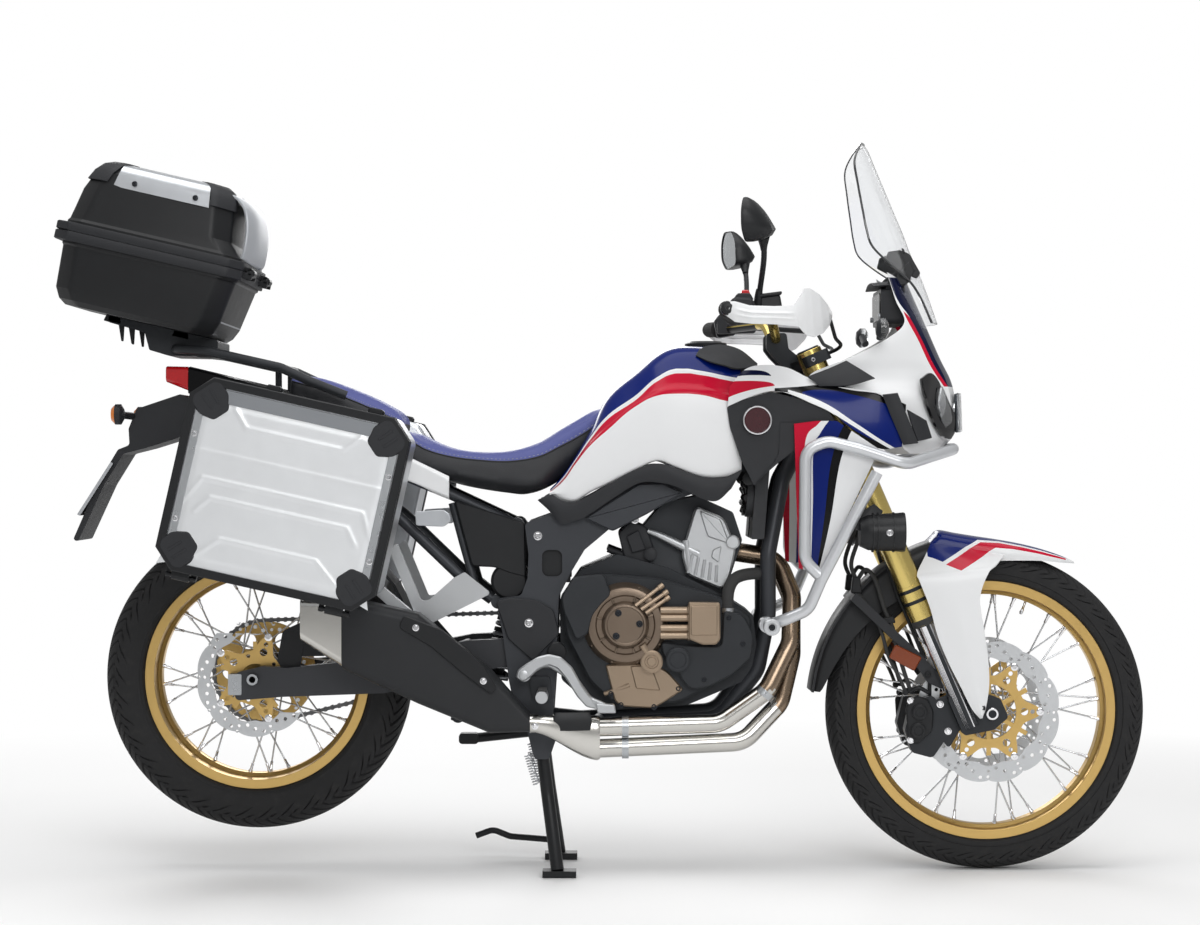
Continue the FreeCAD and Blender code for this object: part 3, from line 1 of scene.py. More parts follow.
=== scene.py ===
"""Adventure motorcycle on its centre stand: skins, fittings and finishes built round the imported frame.

Metres, +X forward, +Y left, +Z up, floor at Z = 0.
"""
from __future__ import annotations

import json
import logging
import math
from dataclasses import dataclass
from enum import Enum
from functools import partial
from typing import Callable, Iterable, Sequence

import bmesh
import bpy
import numpy as np
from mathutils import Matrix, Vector
from mathutils.bvhtree import BVHTree


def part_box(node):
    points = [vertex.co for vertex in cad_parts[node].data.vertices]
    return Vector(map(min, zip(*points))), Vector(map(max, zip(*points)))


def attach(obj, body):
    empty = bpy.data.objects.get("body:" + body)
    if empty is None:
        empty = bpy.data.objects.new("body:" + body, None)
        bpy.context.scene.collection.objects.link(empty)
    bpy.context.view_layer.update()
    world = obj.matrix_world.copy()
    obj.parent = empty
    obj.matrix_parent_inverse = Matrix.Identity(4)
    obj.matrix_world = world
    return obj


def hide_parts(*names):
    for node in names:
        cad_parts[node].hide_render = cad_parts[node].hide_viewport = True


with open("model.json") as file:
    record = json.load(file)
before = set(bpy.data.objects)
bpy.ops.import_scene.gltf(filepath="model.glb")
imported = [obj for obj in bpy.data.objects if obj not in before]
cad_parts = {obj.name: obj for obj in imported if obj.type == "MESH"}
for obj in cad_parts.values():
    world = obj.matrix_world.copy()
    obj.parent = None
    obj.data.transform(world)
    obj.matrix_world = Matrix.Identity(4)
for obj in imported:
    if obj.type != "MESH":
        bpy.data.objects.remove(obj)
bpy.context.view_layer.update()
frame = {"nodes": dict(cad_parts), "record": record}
LOG = logging.getLogger("motorcycle")
Point = tuple[float, ...]
Mesh = tuple[np.ndarray, list[tuple[int, ...]]]
MM = 0.001
PANEL, SHROUD, TRIM = 3.0, 3.5, 4.0  # millimetres: walls of painted panels, shrouds and dark trim
RIM_BULGE = 0.25  # how far a panel's rims stand out, as a share of its wall
MERGE = 2e-5  # metres: closer points of a piece become one
PACKED_MERGE = 1e-5  # metres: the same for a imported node
REAL_EDGE = 30.0  # degrees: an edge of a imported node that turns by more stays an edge
FLAT = 0.4  # degrees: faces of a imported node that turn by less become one
CLOUD, SHEEN, SPECK = 14.0, 45.0, 60.0  # features per metre of colour drift, sheen drift and dust


# ------------------------------------------------------------------ finishes
class Grain(Enum):
    """Small relief of a finish."""

    NONE = "none"
    CAST = "cast"
    PEBBLED = "pebbled"
    BRUSHED = "brushed"
    RUBBER = "rubber"


def linear(tint: str) -> tuple[float, float, float, float]:
    """A hex colour as linear light.

    Args:
        tint: six hex digits.

    Returns:
        Red, green, blue and alpha: each channel c is (c + 0.055) / 1.055 to the power 2.4.
    """
    channels = [int(tint[i:i + 2], 16) / 255 for i in (0, 2, 4)]
    return tuple(c / 12.92 if c <= 0.04045 else ((c + 0.055) / 1.055) ** 2.4 for c in channels) + (1.0,)


class Nodes:
    """A short way to build a node tree."""

    def __init__(self, name: str) -> None:
        """Start a material of that name with an empty principled shader."""
        self.material = bpy.data.materials.new(name)
        self.material.use_nodes = True
        self.tree = self.material.node_tree
        self.shader = self.tree.nodes["Principled BSDF"]
        self.where = self.tree.nodes.new("ShaderNodeTexCoord").outputs["Object"]

    def add(self, kind: str, inputs: dict | None = None, **settings: object) -> bpy.types.Node:
        """Add a node.

        Args:
            kind: the node's class.
            inputs: socket to a value, or to another node's output.
            settings: the node's own properties.

        Returns:
            The new node.
        """
        made = self.tree.nodes.new(kind)
        for key, setting in settings.items():
            setattr(made, key, setting)
        for key, given in (inputs or {}).items():
            if isinstance(given, bpy.types.NodeSocket):
                self.tree.links.new(given, made.inputs[key])
            else:
                made.inputs[key].default_value = given
        return made

    def math(self, operation: str, first: object, second: object = 0.5) -> bpy.types.NodeSocket:
        """One arithmetic step on two values or sockets."""
        return self.add("ShaderNodeMath", {0: first, 1: second}, operation=operation).outputs[0]

    def mix(self, share: object, first: object, second: object) -> bpy.types.NodeSocket:
        """Blend two colours: share 0 gives the first and 1 the second."""
        made = self.add("ShaderNodeMix", {0: share, 6: first, 7: second}, data_type="RGBA")
        return made.outputs[2]

    def noise(self, scale: float, detail: float = 3.0, stretch: Point | None = None) -> bpy.types.NodeSocket:
        """Cloudy noise in object space, with features of 1 / scale metres, stretched where asked."""
        where = self.where
        if stretch:
            where = self.add("ShaderNodeMapping", {"Vector": where, "Scale": stretch}).outputs[0]
        return self.add("ShaderNodeTexNoise",
                        {"Vector": where, "Scale": scale, "Detail": detail}).outputs["Fac"]


@dataclass(frozen=True)
class Edge:
    """A painted boundary: a smooth line through points (along, across), in metres."""

    points: tuple[Point, ...]
    sharp: bool = False

    def height(self, nodes: Nodes, along: bpy.types.NodeSocket) -> bpy.types.NodeSocket:
        """The line's height over a place, read from a curve scaled to the unit square."""
        low, high = np.min(self.points, 0), np.max(self.points, 0)
        span = np.maximum(high - low, 1e-4)
        share = nodes.add("ShaderNodeMapRange", {0: along, 1: low[0], 2: low[0] + span[0]}).outputs[0]
        made = nodes.add("ShaderNodeFloatCurve", {1: share})
        curve = made.mapping.curves[0]
        spots = [tuple((np.array(p) - low) / span) for p in sorted(self.points)]
        for place in spots[1:-1]:
            curve.points.new(float(place[0]), float(place[1]))
        for place, end in ((spots[0], curve.points[0]), (spots[-1], curve.points[len(curve.points) - 1])):
            end.location = (float(place[0]), float(place[1]))
        for point in curve.points:
            point.handle_type = "VECTOR" if self.sharp else "AUTO"
        made.mapping.update()
        return nodes.add("ShaderNodeMapRange",
                         {0: made.outputs[0], 3: low[1], 4: low[1] + span[1]}).outputs[0]


@dataclass(frozen=True)
class Band:
    """A painted band between two edges, each a function of x, or of z where upright is set."""

    tint: str
    low: Edge
    high: Edge
    upright: bool = False

    def mask(self, nodes: Nodes, axes: dict[str, bpy.types.NodeSocket]) -> bpy.types.NodeSocket:
        """One inside the band: over its low edge, under its high edge, and within the run that both cover."""
        along, across = (axes["z"], axes["x"]) if self.upright else (axes["x"], axes["z"])
        start = max(min(p[0] for p in e.points) for e in (self.low, self.high))
        stop = min(max(p[0] for p in e.points) for e in (self.low, self.high))
        inside = nodes.math("GREATER_THAN", across, self.low.height(nodes, along))
        inside = nodes.math("MULTIPLY", inside,
                            nodes.math("LESS_THAN", across, self.high.height(nodes, along)))
        inside = nodes.math("MULTIPLY", inside, nodes.math("GREATER_THAN", along, start))
        return nodes.math("MULTIPLY", inside, nodes.math("LESS_THAN", along, stop))


@dataclass(frozen=True)
class Finish:
    """A surface finish with its own colour drift, sheen drift and small relief."""

    name: str
    tint: str
    rough: float = 0.45
    metal: float = 0.0
    coat: float = 0.0
    grain: Grain = Grain.NONE
    relief: float = 0.15
    scale: float = 900.0
    drift: float = 0.06
    dust: float = 0.0
    glow: float = 0.0
    clear: float = 0.0
    shine: float = 0.3
    bands: tuple[Band, ...] = ()
    streak: Point = (1.0, 1.0, 40.0)

    def material(self) -> bpy.types.Material:
        """The finish as a material, made once."""
        known = bpy.data.materials.get(self.name)
        return known if known else self.build()

    def build(self) -> bpy.types.Material:
        """Lay colour drift, painted bands, sheen drift and relief over a principled shader."""
        nodes = Nodes(self.name)
        shader, tree = nodes.shader, nodes.tree
        base = np.array(linear(self.tint))
        cloud = nodes.noise(CLOUD, 4.0)
        dark, light = base * (1 - self.drift), np.minimum(base * (1 + self.drift) + 0.002, 1.0)
        colour = nodes.mix(cloud, tuple(dark[:3]) + (1.0,), tuple(light[:3]) + (1.0,))
        if self.bands:
            split = nodes.add("ShaderNodeSeparateXYZ", {0: nodes.where})
            axes = {"x": split.outputs[0], "z": split.outputs[2]}
            for band in self.bands:
                colour = nodes.mix(band.mask(nodes, axes), colour, linear(band.tint))
        if self.dust:
            speck = nodes.add("ShaderNodeMapRange",
                              {0: nodes.noise(SPECK, 6.0), 1: 0.55, 2: 0.75, 4: self.dust}).outputs[0]
            colour = nodes.mix(speck, colour, linear("8F8A80"))
        tree.links.new(colour, shader.inputs["Base Color"])
        sheen = nodes.add("ShaderNodeMapRange",
                          {0: nodes.noise(SHEEN, 3.0), 3: max(self.rough - 0.05, 0.02), 4: self.rough + 0.06})
        tree.links.new(sheen.outputs[0], shader.inputs["Roughness"])
        shader.inputs["Metallic"].default_value = self.metal
        shader.inputs["Specular IOR Level"].default_value = self.shine
        shader.inputs["Coat Weight"].default_value = self.coat
        shader.inputs["Coat Roughness"].default_value = 0.04
        if self.glow:
            shader.inputs["Emission Color"].default_value = linear(self.tint)
            shader.inputs["Emission Strength"].default_value = self.glow
        if self.clear:
            shader.inputs["Transmission Weight"].default_value = self.clear
            shader.inputs["IOR"].default_value = 1.46
        if self.grain is not Grain.NONE:
            bump = nodes.add("ShaderNodeBump",
                             {"Height": self.texture(nodes), "Strength": self.relief, "Distance": 0.0006})
            tree.links.new(bump.outputs[0], shader.inputs["Normal"])
        return nodes.material

    def texture(self, nodes: Nodes) -> bpy.types.NodeSocket:
        """The height of the small relief: cells for pebbled skins, streaks for brushed metal, noise else."""
        if self.grain is Grain.PEBBLED:
            cells = nodes.add("ShaderNodeTexVoronoi", {"Vector": nodes.where, "Scale": self.scale},
                              feature="F1")
            return cells.outputs["Distance"]
        if self.grain is Grain.BRUSHED:
            return nodes.noise(self.scale, 2.0, self.streak)
        return nodes.noise(self.scale, 5.0 if self.grain is Grain.CAST else 2.0)


def edge_by_x(*spots: Point, sharp: bool = False) -> Edge:
    """A painted edge through places (x, z) in millimetres, as a function of x."""
    return Edge(tuple((x * MM, z * MM) for x, z in spots), sharp)


def edge_by_z(*spots: Point) -> Edge:
    """A painted edge through places (x, z) in millimetres, as a function of z."""
    return Edge(tuple((z * MM, x * MM) for x, z in spots))


def painted(name: str, *bands: Band) -> Finish:
    """The machine's white paint under its bands."""
    return Finish(name, "DEDFE0", rough=0.2, coat=0.08, shine=0.16, drift=0.012, bands=bands)


# ------------------------------------------------------------------ surfaces
def spline(points: Sequence[Point], count: int, closed: bool = False) -> np.ndarray:
    """A smooth line through points.

    Each span is the cubic whose slope at a point is half the chord of the point's neighbours.

    Args:
        points: what the line goes through.
        count: samples along the whole line, evenly shared over the spans.
        closed: whether the line runs back to its start.

    Returns:
        The samples, one row each.
    """
    p = np.asarray(points, float)
    n = len(p)
    t = np.linspace(0, n if closed else n - 1, count, endpoint=not closed)
    i = np.minimum(t.astype(int), n - 1 if closed else n - 2)
    f = (t - i)[:, None]
    pick = (lambda k: p[(i + k) % n]) if closed else (lambda k: p[np.clip(i + k, 0, n - 1)])
    a, b, c, d = pick(-1), pick(0), pick(1), pick(2)
    if not closed:
        a = np.where((i == 0)[:, None], 2 * b - c, a)
        d = np.where((i == n - 2)[:, None], 2 * c - b, d)
    return 0.5 * (2 * b + (c - a) * f + (2 * a - 5 * b + 4 * c - d) * f ** 2 + (3 * b - a - 3 * c + d)
                  * f ** 3)


def patch(net: Sequence[Sequence[Point]], rows: int, columns: int, closed: bool = False) -> np.ndarray:
    """A smooth surface through a net of points: the spline taken along the net's rows, then across them."""
    grid = np.asarray(net, float)
    along = np.stack([spline(row, columns, closed) for row in grid])
    return np.stack([spline(along[:, k], rows) for k in range(columns)], 1)


def skin(grid: np.ndarray, close_u: bool = False, close_v: bool = False, caps: bool = False) -> Mesh:
    """Faces over a grid of points; caps close the first and last row."""
    rows, columns = grid.shape[:2]
    index = np.arange(rows * columns).reshape(rows, columns)
    if close_u:
        index = np.vstack([index, index[:1]])
    if close_v:
        index = np.hstack([index, index[:, :1]])
    quads = np.stack([index[:-1, :-1], index[:-1, 1:], index[1:, 1:], index[1:, :-1]], -1).reshape(-1, 4)
    faces = [tuple(q) for q in quads.tolist()]
    if caps:
        faces += [tuple(range(columns))[::-1], tuple(range((rows - 1) * columns, rows * columns))]
    return grid.reshape(-1, 3), faces


def joined(meshes: Iterable[Mesh]) -> Mesh:
    """Several meshes as one."""
    points, faces, base = [], [], 0
    for spots, members in meshes:
        points.append(spots)
        faces += [tuple(k + base for k in face) for face in members]
        base += len(spots)
    return np.vstack(points), faces


def frame_of(axis: Sequence[float]) -> np.ndarray:
    """Two directions square to an axis, and the axis, as the columns of a matrix."""
    w = np.asarray(axis, float) / np.linalg.norm(axis)
    helper = np.array([0.0, 0, 1]) if abs(w[2]) < 0.9 else np.array([1.0, 0, 0])
    u = np.cross(helper, w)
    u /= np.linalg.norm(u)
    return np.stack([u, np.cross(w, u), w], 1)


def lathe(profile: Sequence[Point], centre: Sequence[float], axis: Sequence[float] = (0, 1, 0),
          sides: int = 48, closed: bool = False) -> Mesh:
    """A profile of (along, out) turned round an axis.

    Point = centre + along * w + out * (cos t * u + sin t * v), with u, v square to the axis w.
    """
    p = np.asarray(profile, float)
    t = np.linspace(0, 2 * math.pi, sides, endpoint=False)
    base = frame_of(axis)
    ring = np.cos(t)[:, None] * base[:, 0] + np.sin(t)[:, None] * base[:, 1]
    grid = np.asarray(centre) + p[:, None, :1] * base[:, 2] + p[:, None, 1:] * ring[None]
    return skin(grid, close_u=closed, close_v=True, caps=not closed)


def pipe(points: Sequence[Point], radius: float | Sequence[float], sides: int = 16, steps: int = 0,
         smooth: bool = True) -> Mesh:
    """A round tube along a smooth line: each ring stands square to the line, carried on without twist.

    Args:
        points: what the line goes through.
        radius: one radius, or one for each point.
        sides: faces round the tube.
        steps: rings, or as many as the points need.
        smooth: whether the line bends smoothly through the points.

    Returns:
        The tube with both ends closed.
    """
    count = steps or len(points) * 6
    line = spline(points, count) if smooth else np.asarray(points, float)
    radii = np.full(len(line), radius) if np.isscalar(radius) else spline([(r,) for r in radius],
                                                                          len(line))[:, 0]
    heading = np.gradient(line, axis=0)
    heading /= np.linalg.norm(heading, axis=1)[:, None]
    side = frame_of(heading[0])[:, 0]
    rings = []
    t = np.linspace(0, 2 * math.pi, sides, endpoint=False)
    for place, way, reach in zip(line, heading, radii):
        side = side - way * np.dot(side, way)
        side /= np.linalg.norm(side)
        up = np.cross(way, side)
        rings.append(place + reach * (np.cos(t)[:, None] * side + np.sin(t)[:, None] * up))
    return skin(np.array(rings), close_v=True, caps=True)


def plate(outline: Sequence[Point], low: float, high: float, edge: float = 0.001, plane: str = "xz") -> Mesh:
    """A flat plate between two levels, its rims broken by a narrow slope.

    Args:
        outline: corners in the plane, in order.
        low: level of one face, on the axis square to the plane.
        high: level of the other face.
        edge: width of the slope.
        plane: the two axes of the outline.

    Returns:
        The closed plate: the outline at four levels, the outer two drawn in towards the inside by the edge.
    """
    p = np.asarray(outline, float)
    before, after = p - np.roll(p, 1, 0), np.roll(p, -1, 0) - p
    turn = lambda d: np.stack([d[:, 1], -d[:, 0]], 1) / np.maximum(np.linalg.norm(d, axis=1)[:, None], 1e-9)
    normal = turn(before) + turn(after)
    normal /= np.maximum(np.linalg.norm(normal, axis=1)[:, None], 0.5)
    area = np.sum(p[:, 0] * np.roll(p[:, 1], -1) - p[:, 1] * np.roll(p[:, 0], -1))
    drawn = p - np.sign(area) * normal * edge
    axes = ["xyz".index(a) for a in plane]
    other = 3 - sum(axes)
    rings = []
    for shape, level in ((drawn, low), (p, low + edge), (p, high - edge), (drawn, high)):
        ring = np.zeros((len(p), 3))
        ring[:, axes] = shape
        ring[:, other] = level
        rings.append(ring)
    return skin(np.array(rings), close_v=True, caps=True)


def sheet_of(grid: np.ndarray, thick: float) -> Mesh:
    """A panel of even thickness with rounded rims, its outside on a grid of points.

    Args:
        grid: the outside.
        thick: the wall, laid on the side that the rows and columns turn away from.

    Returns:
        A closed shell: the grid, the grid moved along its normals, and a rim between.
    """
    du, dv = np.gradient(grid, axis=0), np.gradient(grid, axis=1)
    normal = np.cross(du, dv)
    normal /= np.maximum(np.linalg.norm(normal, axis=2)[..., None], 1e-12)
    inner = grid - normal * thick
    rows, columns = grid.shape[:2]
    loop = [(0, k) for k in range(columns)] + [(k, columns - 1) for k in range(1, rows)]
    loop += [(rows - 1, k) for k in range(columns - 2, -1, -1)] + [(k, 0) for k in range(rows - 2, 0, -1)]
    outside, faces = skin(grid)
    inside, back = skin(inner)
    size = len(outside)
    ids = np.array([r * columns + c for r, c in loop])
    middle = (outside[ids] + inside[ids]) / 2
    centre = outside.mean(0)
    away = middle - centre
    away /= np.maximum(np.linalg.norm(away, axis=1)[:, None], 1e-9)
    middle = middle + away * thick * RIM_BULGE
    rim = 2 * size + np.arange(len(ids))
    faces = [f[::-1] for f in faces] + [tuple(k + size for k in f) for f in back]
    for a in range(len(ids)):
        b = (a + 1) % len(ids)
        faces += [(int(ids[a]), int(ids[b]), int(rim[b]), int(rim[a])),
                  (int(rim[a]), int(rim[b]), int(ids[b]) + size, int(ids[a]) + size)]
    return np.vstack([outside, inside, middle]), faces


def flipped(mesh: Mesh) -> Mesh:
    """The mesh's twin on the other side of the middle plane."""
    return mesh[0] * (1, -1, 1), [face[::-1] for face in mesh[1]]


def mirrored(mesh: Mesh) -> Mesh:
    """The mesh and its twin."""
    return joined([mesh, flipped(mesh)])


def round_y(angle: float) -> np.ndarray:
    """Turn about the y axis that takes +x towards +z, in radians."""
    c, s = math.cos(angle), math.sin(angle)
    return np.array([[c, 0, -s], [0, 1, 0], [s, 0, c]])


def rounded(outline: Sequence[Point], radius: float, steps: int = 4) -> list[Point]:
    """An outline with each corner replaced by a short curve: the quadratic through its two cut points."""
    p = np.asarray(outline, float)
    spots = []
    for here, back, front in zip(p, np.roll(p, 1, 0), np.roll(p, -1, 0)):
        to_back, to_front = back - here, front - here
        reach = min(radius, 0.45 * np.linalg.norm(to_back), 0.45 * np.linalg.norm(to_front))
        a = here + to_back / np.linalg.norm(to_back) * reach
        b = here + to_front / np.linalg.norm(to_front) * reach
        for t in np.linspace(0, 1, steps + 1):
            spots.append(tuple((1 - t) ** 2 * a + 2 * t * (1 - t) * here + t ** 2 * b))
    return spots


def linked(name: str, data: bpy.types.ID) -> bpy.types.Object:
    """A new object of that name for the data, put into the scene."""
    made = bpy.data.objects.new(name, data)
    bpy.context.scene.collection.objects.link(made)
    return made


def data_of(name: str, mesh: Mesh, merge: float = 0.0) -> bpy.types.Mesh:
    """A mesh as scene data with its faces turned outwards, its points merged where closer than a distance."""
    data = bpy.data.meshes.new(name)
    data.from_pydata(np.asarray(mesh[0]).tolist(), [], mesh[1])
    shape = bmesh.new()
    shape.from_mesh(data)
    if merge:
        bmesh.ops.remove_doubles(shape, verts=shape.verts, dist=merge)
    bmesh.ops.recalc_face_normals(shape, faces=shape.faces)
    shape.to_mesh(data)
    shape.free()
    return data


def settle(made: bpy.types.Object, finish: Finish, slot: str, body: str = "chassis",
           stands_for: Sequence[str] = (), crease: float = 35.0, bevel: float = 0.0,
           level: int = 0) -> bpy.types.Object:
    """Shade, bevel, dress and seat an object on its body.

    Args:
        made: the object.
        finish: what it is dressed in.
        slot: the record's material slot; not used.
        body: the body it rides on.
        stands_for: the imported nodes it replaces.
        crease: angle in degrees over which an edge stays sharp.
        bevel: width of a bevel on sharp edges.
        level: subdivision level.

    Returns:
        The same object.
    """
    data = made.data
    data.polygons.foreach_set("use_smooth", [True] * len(data.polygons))
    data.set_sharp_from_angle(angle=math.radians(crease))
    if bevel:
        rim = made.modifiers.new("rim", "BEVEL")
        rim.width, rim.segments, rim.limit_method = bevel, 2, "ANGLE"
        rim.angle_limit = math.radians(crease)
        rim.harden_normals = False
        rim.use_clamp_overlap = True
    if level:
        finer = made.modifiers.new("finer", "SUBSURF")
        finer.levels = finer.render_levels = level
    data.materials.clear()
    data.materials.append(finish.material())
    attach(made, body)
    if stands_for:
        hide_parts(*stands_for)
    LOG.info("piece %s on %s, %d faces", made.name, body, len(data.polygons))
    return made


def piece(name: str, mesh: Mesh, *looks: object, **more: object) -> bpy.types.Object:
    """Put a mesh into the scene under a name; what follows the mesh goes to settle."""
    return settle(linked(name, data_of(name, mesh, MERGE)), *looks, **more)


@dataclass(frozen=True)
class Zone:
    """Faces of a piece that wear another finish, picked by their centres."""

    finish: Finish
    pick: Callable[[np.ndarray], np.ndarray]


def body_of(node: str) -> str:
    """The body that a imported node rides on."""
    return next(body for body, members in frame["record"]["behaviour"]["bodies"].items() if node in members)


def polished(node: str, finish: Finish, slot: str, zones: Sequence[Zone] = (), bevel: float = 0.0012,
             keep: Callable[[np.ndarray], np.ndarray] | None = None) -> bpy.types.Object:
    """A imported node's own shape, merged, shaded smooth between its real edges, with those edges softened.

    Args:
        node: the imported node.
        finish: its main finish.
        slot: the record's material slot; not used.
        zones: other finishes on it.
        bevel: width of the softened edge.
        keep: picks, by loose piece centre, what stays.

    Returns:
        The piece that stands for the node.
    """
    shape = bmesh.new()
    shape.from_mesh(frame["nodes"][node].data)
    bmesh.ops.remove_doubles(shape, verts=shape.verts, dist=PACKED_MERGE)
    if keep:
        drop_loose(shape, keep)
    bmesh.ops.dissolve_limit(shape, angle_limit=math.radians(FLAT), verts=shape.verts, edges=shape.edges)
    data = bpy.data.meshes.new(node + "_skin")
    shape.to_mesh(data)
    shape.free()
    made = settle(linked(node + "_skin", data), finish, slot, body_of(node), [node], REAL_EDGE, bevel)
    centres = np.zeros(len(data.polygons) * 3)
    data.polygons.foreach_get("center", centres)
    kinds = np.zeros(len(data.polygons), int)
    for number, zone in enumerate(zones, 1):
        data.materials.append(zone.finish.material())
        kinds[zone.pick(centres.reshape(-1, 3))] = number
    data.polygons.foreach_set("material_index", kinds.tolist())
    return made


def drop_loose(shape: bmesh.types.BMesh, keep: Callable[[np.ndarray], np.ndarray]) -> None:
    """Take away the loose parts whose centres aren't picked."""
    left = set(shape.verts)
    while left:
        part, front = set(), [left.pop()]
        while front:
            vert = front.pop()
            part.add(vert)
            for edge in vert.link_edges:
                other = edge.other_vert(vert)
                if other in left:
                    left.discard(other)
                    front.append(other)
        spots = np.array([v.co for v in part])
        if not keep((spots.min(0) + spots.max(0))[None] / 2)[0]:
            bmesh.ops.delete(shape, geom=list(part), context="VERTS")


# ------------------------------------------------------------------ the finishes of this machine
BLUE, RED, NIGHT, BLACK = "031A64", "BA1230", "0A1030", "0B0B0D"
WHITE_PAINT = Finish("white_paint", "DEDFE0", rough=0.22, coat=0.25, drift=0.01)
GOLD = Finish("gold_anodised", "D0AE6C", rough=0.3, metal=0.9, grain=Grain.BRUSHED, relief=0.1, scale=300)
GOLD_TUBE = Finish("gold_fork", "D9C276", rough=0.22, metal=0.95, grain=Grain.BRUSHED, relief=0.06, scale=500)
CHROME = Finish("chrome", "D8DADD", rough=0.08, metal=1.0, drift=0.01)
STEEL = Finish("brushed_steel", "B4B7BA", rough=0.28, metal=0.95, grain=Grain.BRUSHED, relief=0.2, scale=260)
SPOKE_STEEL = Finish("spoke_steel", "C9CBCE", rough=0.25, metal=0.9)
BRONZE = Finish("bronze_cover", "75675A", rough=0.34, metal=0.8, grain=Grain.CAST, relief=0.2, scale=1400,
                drift=0.1)
CAST_SILVER = Finish("cast_silver", "B9BBBD", rough=0.38, metal=0.85, grain=Grain.CAST, relief=0.35,
                     scale=1100)
CAST_DARK = Finish("cast_dark", "2E3033", rough=0.48, metal=0.4, grain=Grain.CAST, relief=0.4, scale=1100,
                   drift=0.12)
FRAME_GREY = Finish("frame_grey", "3A3C40", rough=0.4, metal=0.35, grain=Grain.CAST, relief=0.12, scale=900)
SATIN_BLACK = Finish("satin_black", "1C1D1F", rough=0.4, metal=0.1, grain=Grain.CAST, relief=0.08, scale=1200)
GLOSS_BLACK = Finish("gloss_black", "0D0D0F", rough=0.12, coat=0.7)
PLASTIC = Finish("grained_plastic", "26272A", rough=0.55, grain=Grain.PEBBLED, relief=0.25, scale=900)
RUBBER = Finish("rubber", "19191A", rough=0.72, grain=Grain.RUBBER, relief=0.35, scale=700, dust=0.06)
TYRE_RUBBER = Finish("tyre_rubber", "1D1D1E", rough=0.7, grain=Grain.RUBBER, relief=0.3, scale=500, dust=0.02)
SEAT_SIDE = Finish("seat_side", "222326", rough=0.5, grain=Grain.PEBBLED, relief=0.4, scale=700)
BAR_SILVER = Finish("silver_enamel", "C9CBCE", rough=0.3, metal=0.55, coat=0.3, drift=0.03)
ALLOY = Finish("brushed_alloy", "C6C9CD", rough=0.3, metal=0.85, grain=Grain.BRUSHED, relief=0.12, scale=220,
               streak=(1, 1, 30))
PANEL_ALLOY = Finish("panel_alloy", "DFE1E3", rough=0.36, metal=0.5, grain=Grain.BRUSHED, relief=0.1,
                     scale=220, streak=(1, 1, 30))
BAND_GREY = Finish("band_grey", "8A8D91", rough=0.4, metal=0.6)
BOX_BLACK = Finish("box_black", "17181A", rough=0.42, grain=Grain.PEBBLED, relief=0.18, scale=1100)
PIPE_STEEL = Finish("pipe_steel", "C8C6C1", rough=0.2, metal=1.0, drift=0.05)
PIPE_BRONZE = Finish("pipe_bronze", "8C7A68", rough=0.26, metal=0.95, drift=0.18)
SILENCER_DARK = Finish("silencer_dark", "2A2B2D", rough=0.5, metal=0.3, grain=Grain.CAST, relief=0.15,
                       scale=1000)
CLEAR = Finish("clear_screen", "FAFBFC", rough=0.03, clear=0.97, drift=0.0, shine=0.4)
LENS = Finish("lamp_lens", "F6F8FA", rough=0.03, clear=0.94, drift=0.0, shine=0.5)
REFLECTOR = Finish("reflector", "E6E8EA", rough=0.06, metal=1.0)
RED_LENS = Finish("red_lens", "B80F16", rough=0.12, coat=0.8, glow=0.08)
SIDE_AMBER = Finish("side_amber", "7A3511", rough=0.2, coat=0.7, grain=Grain.PEBBLED, relief=0.5, scale=500)
AMBER_LENS = Finish("amber_lens", "D9781A", rough=0.15, coat=0.7, glow=0.05)
SMOKE_LENS = Finish("smoked_lens", "3A3B3D", rough=0.08, coat=0.8)
MIRROR_GLASS = Finish("mirror_glass", "E8ECEF", rough=0.02, metal=1.0, drift=0.0)
BRONZE_LIGHT = Finish("bronze_trim", "9A8875", rough=0.34, metal=0.8, grain=Grain.CAST, relief=0.2,
                      scale=1400)
DARK_BOLT = Finish("dark_bolt", "303236", rough=0.3, metal=0.8)
CHAIN_STEEL = Finish("chain_steel", "6F7072", rough=0.34, metal=0.95)
SPRING_GREY = Finish("spring_grey", "9A9CA0", rough=0.35, metal=0.5, coat=0.3)
BAND_LIGHT = Finish("band_light", "B2B5B9", rough=0.42, metal=0.35)
ARM_GREY = Finish("arm_grey", "3C3D40", rough=0.42, metal=0.4, grain=Grain.CAST, relief=0.2, scale=1000)
HUB_BLACK = Finish("hub_black", "35373A", rough=0.4, metal=0.5)
LAMP_BOWL = Finish("lamp_bowl", "55595E", rough=0.2, metal=0.9)
BADGE_RED = Finish("badge_red", "3A0E16", rough=0.2, coat=0.8)
FINS = Finish("radiator_core", "3C3D3F", rough=0.5, metal=0.5, grain=Grain.BRUSHED, relief=0.8, scale=120,
              streak=(1, 1, 30))


